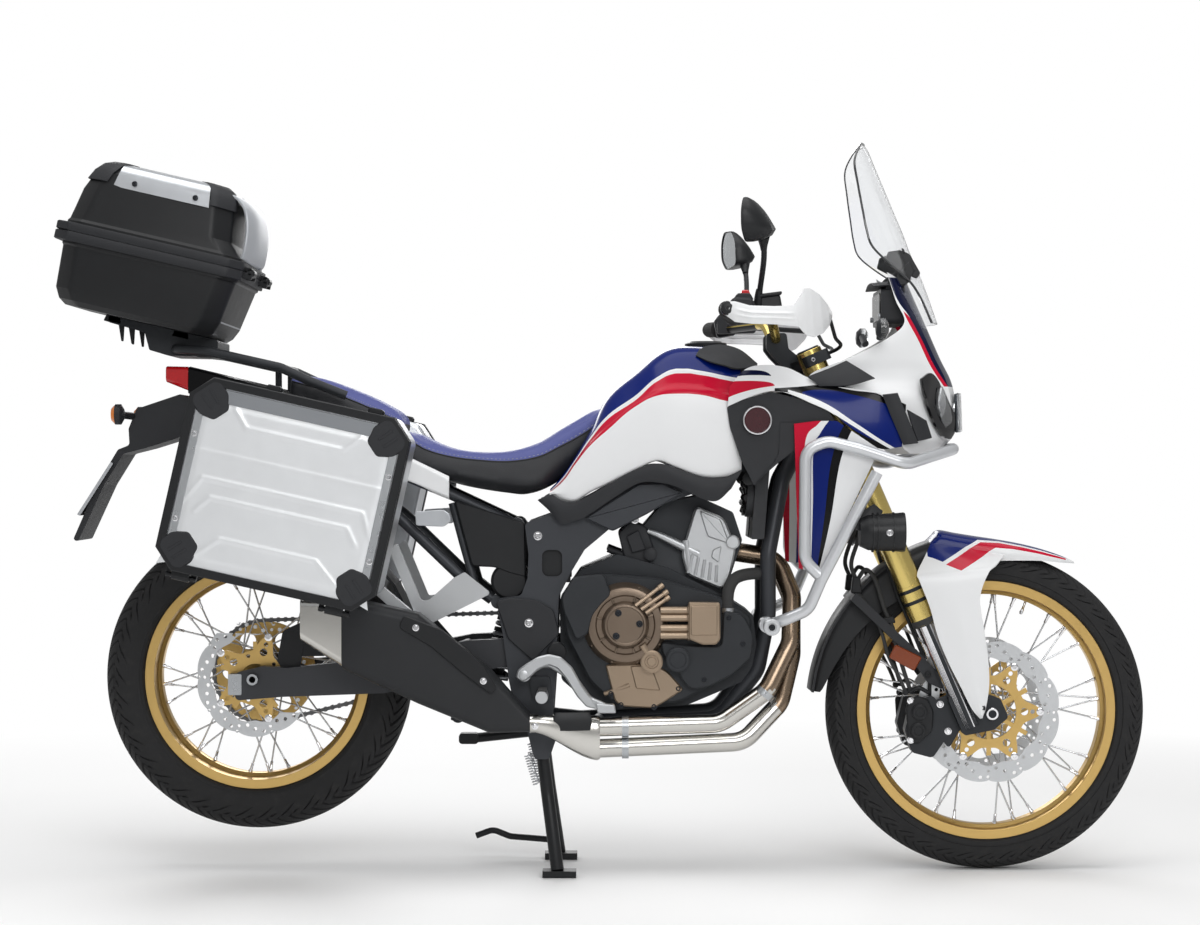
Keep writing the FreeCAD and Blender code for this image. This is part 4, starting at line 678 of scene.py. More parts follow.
# ------------------------------------------------------------------ wheels
@dataclass
class Wheel:
    """A wire wheel with its tyre, spokes and rotors.

    The tread is cut by slanted grooves that fade in the middle rib.
    """

    side: str
    x: float
    z: float
    radius: float
    half: float
    bead: float
    rim_half: float
    flange: float
    flange_y: float
    per_set: int
    pitches: int
    tread_depth: float = 0.0055
    spoke_radius: float = 0.0019

    def outline(self) -> tuple[np.ndarray, np.ndarray]:
        """Half of the tyre's section, from crown to bead.

        Returns:
            Rows of (out, across), and where each tread row lies between crown and shoulder, 0 to 1.
        """
        top, half, bead = self.radius, self.half, self.bead
        across = np.array([0, 0.1, 0.24, 0.26, 0.42, 0.44, 0.6, 0.72, 0.84, 0.93, 0.96]) * half
        drop = (1 - np.sqrt(np.maximum(1 - (across / half) ** 2 * 0.86, 0))) * (top - bead) * 0.42
        tread = np.stack([top - drop, across], 1)
        low = tread[-1, 0]
        wall = [(low - 0.004, half * 0.975), (low - 0.012, half * 0.995), ((low + bead) / 2 + 0.012, half),
                ((low + bead) / 2, half * 0.99), (bead + 0.03, half * 0.94), (bead + 0.026, half * 0.945),
                (bead + 0.019, (half + self.rim_half) / 2), (bead + 0.015, self.rim_half - 0.001),
                (bead + 0.002, self.rim_half - 0.005)]
        return np.vstack([tread, wall]), across / across[-1]

    def tyre(self) -> Mesh:
        """The tyre: each grid column follows a groove, so that groove walls stay crisp.

        Radius = section radius, less the groove depth where the column lies in a groove and the row
        between the groove's ends.
        """
        section, place = self.outline()
        right = np.hstack([section[:, :1], -section[:, 1:]])
        rows = np.vstack([section[::-1], right[1:]])
        wall = np.full(len(section) - len(place), 1.3)
        wall[-3:] = 1.12, 1.06, 1.02
        shares = np.concatenate([wall, place[::-1]])
        spots = np.concatenate([shares, -shares[::-1][1:]])
        # one pitch of the tread: its columns, and which of them lie in the main and the short groove
        phases = np.array([0.0, 0.02, 0.15, 0.17, 0.33, 0.5, 0.52, 0.61, 0.63, 0.82])
        depth_main = np.array([0, 1, 1, 0, 0, 0, 0, 0, 0, 0.0])
        depth_short = np.array([0, 0, 0, 0, 0, 0, 1, 1, 0, 0.0])
        turn = (np.arange(self.pitches)[:, None] + phases).ravel() * 2 * math.pi / self.pitches
        main, short = np.tile(depth_main, self.pitches), np.tile(depth_short, self.pitches)
        reach = np.abs(spots)
        lane = lambda low, high: ((reach > low) & (reach < high)).astype(float)
        left = lane(0.08, 1.09)[:, None] * main + lane(0.5, 1.04)[:, None] * short
        flip = lane(0.08, 1.09)[:, None] * np.roll(main, 5) + lane(0.5, 1.04)[:, None] * np.roll(short, 5)
        cut = np.where((spots > 0)[:, None], left, flip) * self.tread_depth
        lean = np.minimum(reach, 1.0) ** 1.3 * 1.15 - np.clip(reach - 1.0, 0, 0.12) * 7.5
        slant = lean * 2 * math.pi / self.pitches
        angle = turn[None] - slant[:, None]
        aside = np.where(reach > 1.0, 0.55, 0.0)[:, None] * cut
        out, across = rows[:, :1] - (cut - aside), rows[:, 1:] - np.sign(rows[:, 1:]) * aside
        grid = np.stack([self.x + out * np.cos(angle), np.broadcast_to(across, angle.shape),
                         self.z + out * np.sin(angle)], -1)
        return skin(grid, close_v=True)

    def wires(self) -> tuple[Mesh, Mesh]:
        """Tangent-laced spokes and their nipples: on each side one set leans forward and one back."""
        bars, nipples = [], []
        inner, outer = self.flange + 0.0026, self.bead - 0.0165
        swing = math.acos(inner / outer)
        for side in (-1, 1):
            for lean, at_hub, at_rim in ((-1, self.flange_y - 0.0035, 0.0115),
                                         (1, self.flange_y + 0.0035, 0.005)):
                for index in range(self.per_set):
                    turn = 2 * math.pi * (index + 0.125 * (1 + side) + 0.125 * lean) / self.per_set
                    at = turn - lean * swing
                    start = np.array([self.x + inner * math.cos(at), side * at_hub,
                                      self.z + inner * math.sin(at)])
                    stop = np.array([self.x + outer * math.cos(turn), side * at_rim,
                                     self.z + outer * math.sin(turn)])
                    way = (stop - start) / np.linalg.norm(stop - start)
                    bars.append(pipe([start, stop], self.spoke_radius, 8, smooth=False))
                    nipples.append(lathe([(0, 0.0024), (0.001, 0.0032), (0.014, 0.0032), (0.018, 0.0048),
                                          (0.021, 0.0048)], stop - way * 0.02, way, 8))
        return joined(bars), joined(nipples)

    def heads(self) -> Mesh:
        """Spoke heads on the hub flanges, and the air valve in the rim."""
        ring = []
        for side in (-1, 1):
            for index in range(2 * self.per_set):
                turn = math.pi * (index + 0.25) / self.per_set
                centre = (self.x + (self.flange - 0.006) * math.cos(turn), side * (self.flange_y + 0.0068),
                          self.z + (self.flange - 0.006) * math.sin(turn))
                ring.append(lathe([(0, 0.0036), (0.0012, 0.0034), (0.002, 0.0018)], centre, (0, side, 0), 8))
        valve = (self.x + (self.bead - 0.045) * math.cos(1.2), 0.0,
                 self.z + (self.bead - 0.045) * math.sin(1.2))
        way = (math.cos(1.2), 0, math.sin(1.2))
        ring.append(lathe([(0, 0.0022), (0.004, 0.0042), (0.012, 0.0042), (0.013, 0.003), (0.032, 0.003)],
                          valve, way, 12))
        return joined(ring)

    def perforated(self, rim: np.ndarray, bore: np.ndarray, holes: Iterable[tuple[float, float, float]],
                   y: float, thick: float) -> Mesh:
        """A flat ring between two loops of (radius, angle), pierced by holes.

        Args:
            rim: the outer loop, in metres and radians.
            bore: the inner loop.
            holes: (radius, angle, hole radius) for each hole.
            y: level of one face.
            thick: thickness of the ring.

        Returns:
            The ring, with its inner walls.
        """
        shape = bmesh.new()
        ends = []
        circle = np.linspace(0, 2 * math.pi, 12, endpoint=False)
        loops = [np.stack([loop[:, 0] * np.cos(loop[:, 1]), loop[:, 0] * np.sin(loop[:, 1])], 1)
                 for loop in (rim, bore)]
        loops += [np.stack([r * math.cos(a) + s * np.cos(circle), r * math.sin(a) + s * np.sin(circle)], 1)
                  for r, a, s in holes]
        for loop in loops:
            ring = [shape.verts.new((self.x + u, y, self.z + w)) for u, w in loop]
            ends += [shape.edges.new((a, b)) for a, b in zip(ring, ring[1:] + ring[:1])]
        bmesh.ops.triangle_fill(shape, edges=ends, use_beauty=True)
        raised = bmesh.ops.extrude_face_region(shape, geom=list(shape.faces))
        bmesh.ops.translate(shape, verts=[v for v in raised["geom"] if isinstance(v, bmesh.types.BMVert)],
                            vec=(0, thick, 0))
        shape.verts.index_update()
        mesh = np.array([v.co for v in shape.verts]), [tuple(v.index for v in f.verts) for f in shape.faces]
        shape.free()
        return mesh

    def rotors(self) -> None:
        """Wavy rotors with rows of holes, on pierced gold carriers held by buttons."""
        front, body = self.side == "front", self.side + "_wheel"
        if front:
            levels, far, near, waves = (-0.072, 0.072), 0.1545, 0.1115, 12
        else:
            levels, far, near, waves = (-0.085,), 0.1275, 0.092, 10
        t = np.linspace(0, 2 * math.pi, 240, endpoint=False)
        wave = np.abs(np.sin(waves * t / 2)) ** 0.6
        rim = np.stack([far - 0.0065 + 0.0065 * wave, t], 1)
        bore = np.stack([near + 0.006 * np.abs(np.cos(waves * t / 2)) ** 1.5, t], 1)
        holes = [(near + 0.0115 + (far - near - 0.0225) * k / 2,
                  2 * math.pi * (n + 0.5 + 0.26 * (k - 1)) / waves, 0.0041) for n in range(waves)
                 for k in range(3)]
        holes += [(near + 0.0175 + 0.0125 * k, 2 * math.pi * (n + 0.98) / waves, 0.0034)
                  for n in range(waves) for k in range(2)]
        rings, spiders, buttons = [], [], []
        finish = Finish(self.side + "_rotor", "C9CBCD", rough=0.3, metal=0.75, grain=Grain.BRUSHED,
                        relief=0.2, scale=400)
        arms = np.abs(np.cos(waves * t / 4)) ** 5
        lobes = np.stack([near - 0.033 + 0.035 * arms, t], 1)
        middle = np.stack([np.full(240, near - 0.052), t], 1)
        ports = [(near - reach, 4 * math.pi * n / waves, hole) for n in range(waves // 2)
                 for reach, hole in ((0.034, 0.0085), (0.0165, 0.005))]
        ports += [(near - 0.0425, 4 * math.pi * (n + 0.5) / waves, 0.0045) for n in range(waves // 2)]
        for y in levels:
            side = -1 if y < 0 else 1
            rings.append(self.perforated(rim, bore, holes, y - 0.00245, 0.0049))
            spiders.append(self.perforated(lobes, middle, ports, y - 0.0026 + 0.0005 * side, 0.0052))
            buttons += [lathe([(0, 0.0085), (0.0008, 0.0085), (0.0013, 0.0076), (0.0013, 0.004),
                               (0.0003, 0.0036), (0.0003, 0.0002)],
                              (self.x + near * math.cos(a), y + 0.003 * side, self.z + near * math.sin(a)),
                              (0, side, 0), 16) for a in (4 * math.pi * n / waves for n in range(waves // 2))]
        piece(self.side + "_rotors", joined(rings), finish, "steel", body,
              ["front_discs" if front else "rear_disc"], crease=30)
        piece(self.side + "_rotor_carriers", joined(spiders), GOLD, "gold", body, crease=30)
        piece(self.side + "_rotor_buttons", joined(buttons), CHROME, "chrome", body, crease=30)

    def dress(self) -> None:
        """Build what the wheel lacks and dress what it has."""
        body, name = self.side + "_wheel", self.side
        piece(name + "_tyre_tread", self.tyre(), TYRE_RUBBER, "tyre", body, [name + "_tyre"], crease=28)
        bars, nipples = self.wires()
        piece(name + "_wires", bars, SPOKE_STEEL, "chrome", body, [name + "_spokes"], crease=60)
        piece(name + "_nipples", nipples, CHROME, "chrome", body, crease=50)
        piece(name + "_spoke_heads", self.heads(), SPOKE_STEEL, "chrome", body, crease=50)
        polished(name + "_rim", GOLD, "gold", bevel=0.0008)
        hub_far = 0.06 if self.side == "front" else 0.079
        polished(name + "_hub", HUB_BLACK, "dark_metal",
                 [Zone(GOLD, lambda c: (np.abs(c[:, 1]) > hub_far) & (c[:, 1] < 0.088))], bevel=0.0006)
        self.rotors()


# ------------------------------------------------------------------ bodywork
def web(edge_a: Sequence[Point], edge_b: Sequence[Point], bulge: float = 0.0, rows: int = 40,
        columns: int = 12, smooth: bool = True) -> np.ndarray:
    """A surface between two edges, millimetres in and metres out.

    Args:
        edge_a: points of one edge, (x, y, z).
        edge_b: as many points of the other edge.
        bulge: how far the middle stands out sideways, in millimetres.
        rows: samples along the edges.
        columns: samples across.
        smooth: whether the edges run smoothly through their points.

    Returns:
        A grid: each row blends the two edges linearly, and its y gains bulge times 4 s (1 - s) outwards.
    """
    line = spline if smooth else straight
    a, b = line(edge_a, rows), line(edge_b, rows)
    share = np.linspace(0, 1, columns)[None, :, None]
    grid = a[:, None] * (1 - share) + b[:, None] * share
    grid[..., 1] += np.sign(grid[..., 1].mean()) * bulge * 4 * share[..., 0] * (1 - share[..., 0])
    return grid * MM


def straight(points: Sequence[Point], count: int) -> np.ndarray:
    """Samples along straight runs between points, evenly shared over the runs."""
    p = np.asarray(points, float)
    t = np.linspace(0, len(p) - 1, count)
    i = np.minimum(t.astype(int), len(p) - 2)
    return p[i] * (1 - (t - i))[:, None] + p[i + 1] * (t - i)[:, None]


def shell(name: str, grid: np.ndarray, thick: float, finish: Finish, slot: str, body: str = "chassis",
          stands_for: Sequence[str] = (), twin: bool = True, crease: float = 40.0) -> bpy.types.Object:
    """A panel of even wall on a grid, and its twin on the left, in millimetres of thickness."""
    made = sheet_of(grid, thick * MM)
    return piece(name, mirrored(made) if twin else made, finish, slot, body, stands_for, crease)


@dataclass
class Tank:
    """The fuel tank with its painted flanks.

    Stations run along the machine, each a section from the lower rim to the crown.
    """

    stations: tuple[float, ...] = (-124, -98, -70, -36, 0, 60, 105, 145, 200, 250, 284)
    rim: tuple[float, ...] = (815, 805, 803, 824, 841, 871, 890, 876, 857, 857, 872)
    red_low: tuple[float, ...] = (824, 845, 883, 925, 957, 1007, 1029, 1033, 1030, 1018, 1014)
    red_top: tuple[float, ...] = (825, 850, 890, 938, 980, 1021, 1060, 1077, 1073, 1063, 1057)
    blue_low: tuple[float, ...] = (826, 853, 893, 944, 988, 1031, 1069, 1087, 1082, 1072, 1066)
    crown: tuple[float, ...] = (828, 858, 902, 960, 1031, 1083, 1121, 1138, 1139, 1134, 1112)
    out: tuple[float, ...] = (148, 153, 158, 164, 170, 179, 185, 188, 189, 185, 176)

    def edge(self, heights: Sequence[float]) -> Edge:
        """A painted line through the stations."""
        return edge_by_x(*zip(self.stations, heights))

    def finish(self) -> Finish:
        """White flank, red band, white line and blue crown."""
        over = self.edge([1200.0] * (len(self.stations) - 1) + [1201.0])
        return painted("tank_paint", Band(RED, self.edge(self.red_low), self.edge(self.red_top)),
                       Band(BLUE, self.edge(self.blue_low), over))

    def build(self) -> None:
        """The tank skin, its dark front cover, filler cap and lower trim."""
        net = []
        for row in zip(self.stations, self.rim, self.red_low, self.red_top, self.blue_low, self.crown,
                       self.out):
            x, rim, low, high, blue, top, out = row
            flank = rim + (low - rim) * 0.5
            net.append([(x, -out + 9, rim), (x, -out, rim + 9), (x, -out - 4, flank), (x, -out + 1, low - 2),
                        (x, -out + 13, (low + high) / 2), (x, -out + 22, high), (x, -out + 30, blue + 4),
                        (x, -out * 0.62, top - (top - blue) * 0.18), (x, -out * 0.3, top - 1), (x, 0, top)])
        grid = patch(np.array(net), 64, 56) * MM
        shell("tank_skin", grid, PANEL, self.finish(), "white", stands_for=["fuel_tank"])
        cover = web([(188, -140, 1116), (219, -157, 1103), (250, -157, 1095), (276, -151, 1088),
                     (320, -118, 1094)],
                    [(196, -118, 1130), (215, -96, 1139), (248, -84, 1142), (287, -76, 1131),
                     (324, -70, 1102)], 5, 32, 16)
        shell("tank_front_cover", cover, TRIM, PLASTIC, "black_plastic")
        cap = [(0, 0.046), (0.005, 0.046), (0.007, 0.042), (0.0075, 0.036), (0.010, 0.034), (0.0105, 0.0)]
        piece("filler_cap", lathe(cap, (0.215, 0, 1.142), (0, 0, 1), 40), SATIN_BLACK, "black_plastic",
              crease=25)
        low = [(-150, 806), (-128, 786), (-101, 758), (-70, 763), (-42, 775), (10, 810), (66, 843),
               (117, 843), (160, 830), (200, 810), (232, 806), (262, 832)]
        top = [(-140, 812), (-124, 820), (-98, 806), (-70, 804), (-36, 819), (10, 846), (60, 873), (105, 885),
               (145, 875), (200, 857), (250, 856), (284, 872)]
        outs = (146, 150, 156, 161, 166, 174, 181, 187, 191, 193, 193, 190)
        trim = web([(x, -o, z) for (x, z), o in zip(low, outs)],
                   [(x, -o - 1, z) for (x, z), o in zip(top, outs)], 5, 72, 12)
        shell("tank_lower_trim", trim, TRIM, PLASTIC, "black_plastic", stands_for=["tank_trims"])
        side = web([(253, -191, 1003), (259, -193, 962), (282, -196, 894), (310, -198, 838), (336, -200, 868),
                    (361, -202, 896)],
                   [(265, -193, 1014), (344, -205, 1036), (400, -210, 1022), (464, -213, 997),
                    (479, -213, 975), (365, -204, 971)], 0, 48, 14, smooth=False)
        shell("side_cover", side, TRIM, PLASTIC, "black_plastic")
        ring = [(0, 0.030), (0.003, 0.030), (0.004, 0.028), (0.003, 0.026), (0.0015, 0.025), (0.0012, 0.0)]
        badge = mirrored(lathe(ring, (0.316, -0.2045, 0.9767), (0, -1, 0), 48))
        piece("round_badge", badge, BADGE_RED, "steel", crease=25)
        rims = mirrored(lathe([(0.0005, 0.0305), (0.0042, 0.0305), (0.0048, 0.029), (0.0042, 0.0275),
                               (0.0005, 0.0275)], (0.316, -0.2045, 0.9767), (0, -1, 0), 48, closed=True))
        piece("badge_rim", rims, CHROME, "chrome", crease=30)


@dataclass
class SideFairing:
    """The shroud on each side: an upper panel that runs to the nose and a lower wing before the radiator."""

    def upper_finish(self) -> Finish:
        """White, with the tank's red run out to a point and a blue field under a white slash."""
        at = edge_by_x
        return painted(
            "shroud_paint",
            Band(RED, at((240, 1018), (300, 1040), (352, 1049)), at((240, 1056), (300, 1060), (352, 1050))),
            Band(NIGHT, at((262, 1064), (300, 1072), (345, 1070)), at((262, 1070), (300, 1083), (345, 1071))),
            Band(BLACK, at((352, 1038), (400, 1030), (470, 998), (490, 965), (575, 915), (640, 900)),
                 at((352, 1044), (400, 1047), (450, 1051), (520, 1046), (585, 1032), (640, 1006))),
            Band(BLUE, at((410, 1030), (470, 1002), (500, 970), (560, 935), (640, 910)),
                 at((410, 1036), (450, 1041), (520, 1030), (585, 1012), (640, 990))),
            Band("E4E5E6", at((380, 1036), (450, 1004), (520, 962), (585, 922), (620, 905)),
                 at((380, 1041), (450, 1016), (520, 972), (585, 930), (620, 911))))

    def wing_finish(self) -> Finish:
        """White behind upright bands: red at the rear edge, then blue, then black."""
        at = edge_by_z
        return painted(
            "wing_paint", Band(RED, at((380, 650), (380, 990)),
                               at((412, 650), (414, 800), (416, 930), (440, 965), (470, 990)), upright=True),
            Band(BLUE, at((428, 650), (432, 800), (434, 920), (446, 946), (480, 990)),
                 at((440, 650), (455, 760), (474, 905), (520, 990)), upright=True),
            Band(BLACK, at((440, 650), (455, 760), (474, 905), (520, 990)),
                 at((443, 650), (468, 760), (494, 905), (540, 990)), upright=True))

    def build(self) -> None:
        """Upper panel and wing."""
        low = [(254, -192, 1006), (300, -203, 1026), (344, -211, 1038), (380, -215, 1033), (430, -219, 1012),
               (474, -221, 990), (520, -219, 952), (572, -212, 917), (622, -200, 920)]
        top = [(258, -184, 1048), (290, -188, 1084), (330, -190, 1094), (380, -192, 1088), (425, -194, 1067),
               (470, -198, 1056), (525, -200, 1044), (580, -200, 1032), (632, -192, 1010)]
        shell("shroud_upper", web(low, top, 5, 72, 16), SHROUD, self.upper_finish(), "white",
              stands_for=["side_fairings"])
        head = [(393, -214, 968), (440, -219, 974), (482, -221, 974), (530, -219, 942), (572, -214, 914)]
        foot = [(404, -204, 664), (416, -207, 661), (428, -208, 660), (440, -207, 661), (452, -204, 664)]
        shell("shroud_wing", web(head, foot, 4, 40, 40, smooth=False), SHROUD, self.wing_finish(), "white")


@dataclass
class Nose:
    """The front fairing: two flanks, the face between them, dark vents, lamps and their surround."""

    rear: tuple[Point, ...] = (
        (600, -112, 1296), (618, -120, 1235), (636, -128, 1190), (604, -145, 1156), (520, -170, 1112),
        (432, -192, 1076), (448, -198, 1054), (515, -204, 1043), (580, -206, 1030), (600, -204, 980),
        (622, -199, 924), (642, -186, 906))
    front: tuple[Point, ...] = (
        (626, -92, 1283), (646, -96, 1238), (665, -100, 1197), (686, -106, 1150), (703, -110, 1112),
        (714, -112, 1090), (723, -114, 1072), (731, -114, 1050), (737, -112, 1020), (740, -110, 985),
        (735, -108, 948), (700, -112, 906))
    keel: tuple[Point, ...] = (
        (652, 0, 1278), (668, 0, 1238), (685, 0, 1197), (704, 0, 1150), (720, 0, 1112), (731, 0, 1090),
        (740, 0, 1072), (747, 0, 1050), (752, 0, 1020), (754, 0, 985), (750, 0, 948), (712, 0, 908))

    def finish(self) -> Finish:
        """White, with a blue band over a red line along the leading edge."""
        at = edge_by_z
        return painted(
            "nose_paint",
            Band(RED, at((634, 1212), (640, 1197), (666, 1150), (692, 1096), (722, 1050)),
                 at((634, 1212), (649, 1197), (675, 1150), (701, 1096), (731, 1050)), upright=True),
            Band(NIGHT, at((604, 1285), (620, 1240), (649, 1197), (675, 1150), (701, 1096), (731, 1050)),
                 at((700, 1285), (720, 1197), (740, 1150), (760, 1096), (790, 1050)), upright=True))

    def build(self) -> None:
        """Skins, vents, lamp surrounds and lamps."""
        paint = self.finish()
        shell("nose_flank", web(self.rear, self.front, 7, 84, 20), PANEL, paint, "white",
              stands_for=["front_fairing"])
        face = web(self.front, self.keel, 0, 84, 18)
        share = np.linspace(0, 1, 18)[None]
        face[..., 0] += 0.010 * np.sin(share * math.pi)
        shell("nose_face", face, PANEL, paint, "white")
        vents = {"vent_top": ([(424, -196, 1066), (470, -187, 1084), (506, -177, 1100)],
                              [(447, -200, 1051), (510, -203, 1050), (564, -196, 1064)]),
                 "vent_side": ([(580, -209, 1029), (598, -209, 985), (624, -204, 925)],
                               [(612, -212, 1033), (634, -210, 980), (656, -204, 929)]),
                 "vent_front": ([(634, -209, 998), (644, -207, 965), (656, -203, 933)],
                                [(676, -184, 976), (682, -182, 958), (688, -180, 940)])}
        for name, (a, b) in vents.items():
            shell(name, web(a, b, 3, 24, 10) - np.array([0, 0.003, 0]), 6.0, PLASTIC, "black_plastic")
        rim_a = [(668, -170, 1066), (690, -150, 1078), (708, -136, 1062), (722, -130, 1030), (744, -116, 994),
                 (748, -112, 960), (738, -118, 938)]
        rim_b = [(676, -178, 1030), (680, -176, 1018), (684, -172, 1004), (688, -168, 992), (694, -164, 978),
                 (702, -158, 962), (712, -146, 944)]
        shell("lamp_surround", web(rim_b, rim_a, 3, 48, 10), 10.0, GLOSS_BLACK, "black_plastic")
        lens_a = [(704, -156, 1012), (708, -150, 1040), (716, -142, 1048), (732, -124, 1018),
                  (745, -112, 992), (748, -106, 966)]
        lens_b = [(706, -158, 1000), (710, -156, 988), (714, -152, 976), (722, -142, 964), (730, -128, 954),
                  (738, -116, 948)]
        shell("headlamp_glass", web(lens_b, lens_a, 5, 40, 12), TRIM, LENS, "glass",
              stands_for=["headlights"])
        front_a = [(758, -20, 1030), (757, -50, 1034), (752, -84, 1036), (744, -110, 1034)]
        front_b = [(760, -16, 966), (759, -50, 958), (755, -84, 954), (746, -112, 952)]
        lamp = web(front_b, front_a, 0, 24, 12)
        shell("headlamp_front", lamp + np.array([0.008, 0, 0]), 2.5, LENS, "glass")
        bowl = lamp + np.array([0.001, 0, 0])
        shell("headlamp_mask", bowl, 6.0, LAMP_BOWL, "steel")
        dish = [(-4, 24.5), (2.6, 24.5), (3.4, 23), (1.4, 20), (0.2, 10), (-0.2, 0.5)]
        eyes = [drum(dish, (x, y * side, 994), (0.97, turn * side, 0), 32) for side in (-1, 1)
                for x, y, turn in ((759.5, 45, 0.06), (753.5, 86, 0.26))]
        piece("headlamp_eyes", joined(eyes), REFLECTOR, "chrome", crease=30)


# ------------------------------------------------------------------ small makers, millimetres in
def slab(outline: Sequence[Point], low: float, high: float, radius: float = 3.0, edge: float = 1.0,
         plane: str = "xz") -> Mesh:
    """A plate with rounded corners and broken rims between two levels."""
    return plate(np.array(rounded(outline, radius)) * MM, low * MM, high * MM, edge * MM, plane)


def drum(profile: Sequence[Point], centre: Sequence[float], axis: Sequence[float] = (0, -1, 0),
         sides: int = 40, closed: bool = False) -> Mesh:
    """A turned piece: the profile's first number runs along the axis and its second outwards."""
    return lathe(np.array(profile, float) * MM, np.array(centre, float) * MM, axis, sides, closed)


def hose(points: Sequence[Point], radius: float | Sequence[float], sides: int = 12,
         smooth: bool = True) -> Mesh:
    """A round tube through points, of one radius or one for each point."""
    return pipe(np.array(points, float) * MM, np.array(radius) * MM, sides, smooth=smooth)


def rod(start: Point, stop: Point, radius: float, sides: int) -> Mesh:
    """A straight round bar."""
    return hose([start, stop], radius, sides, False)


def bolts(places: Iterable[Point], radius: float = 5.0, height: float = 4.5,
          axis: Sequence[float] = (0, -1, 0)) -> Mesh:
    """Socket-head bolts: a washer, a domed head and a sunk socket, the height measured from the place."""
    head = [(-2, radius * 1.45), (0.8, radius * 1.45), (1, radius), (height - 1, radius),
            (height, radius * 0.82), (height, radius * 0.5), (height - 2.4, radius * 0.46)]
    return joined(drum(head, place, axis, 16) for place in places)


def ring(outer: Sequence[Point], inner: Sequence[Point], low: float, high: float, edge: float = 1.0) -> Mesh:
    """A flat frame in the xz plane between two outlines of equal count, its outer rims broken by an edge."""
    a, b = np.asarray(outer, float), np.asarray(inner, float)
    drawn = a + (b - a) * min(edge / np.linalg.norm((b - a)[0]), 0.5)
    levels = ((drawn, low), (a, low + edge), (a, high - edge), (drawn, high), (b, high), (b, low))
    rings = [np.stack([shape[:, 0], np.full(len(shape), level), shape[:, 1]], 1) for shape, level in levels]
    return skin(np.array(rings) * MM, close_u=True, close_v=True)


def cup(outer: Sequence[np.ndarray], inner: Sequence[np.ndarray]) -> Mesh:
    """A hollow shell from rings of equal count in metres, each list from the open edge to the closed end."""
    shells = []
    for rings in (outer, inner):
        spots, faces = skin(np.array(rings), close_v=True)
        count = len(rings[0])
        shells.append((spots, faces + [tuple(range(len(spots) - count, len(spots)))]))
    return joined(shells + [skin(np.array([outer[0], inner[0]]), close_v=True)])


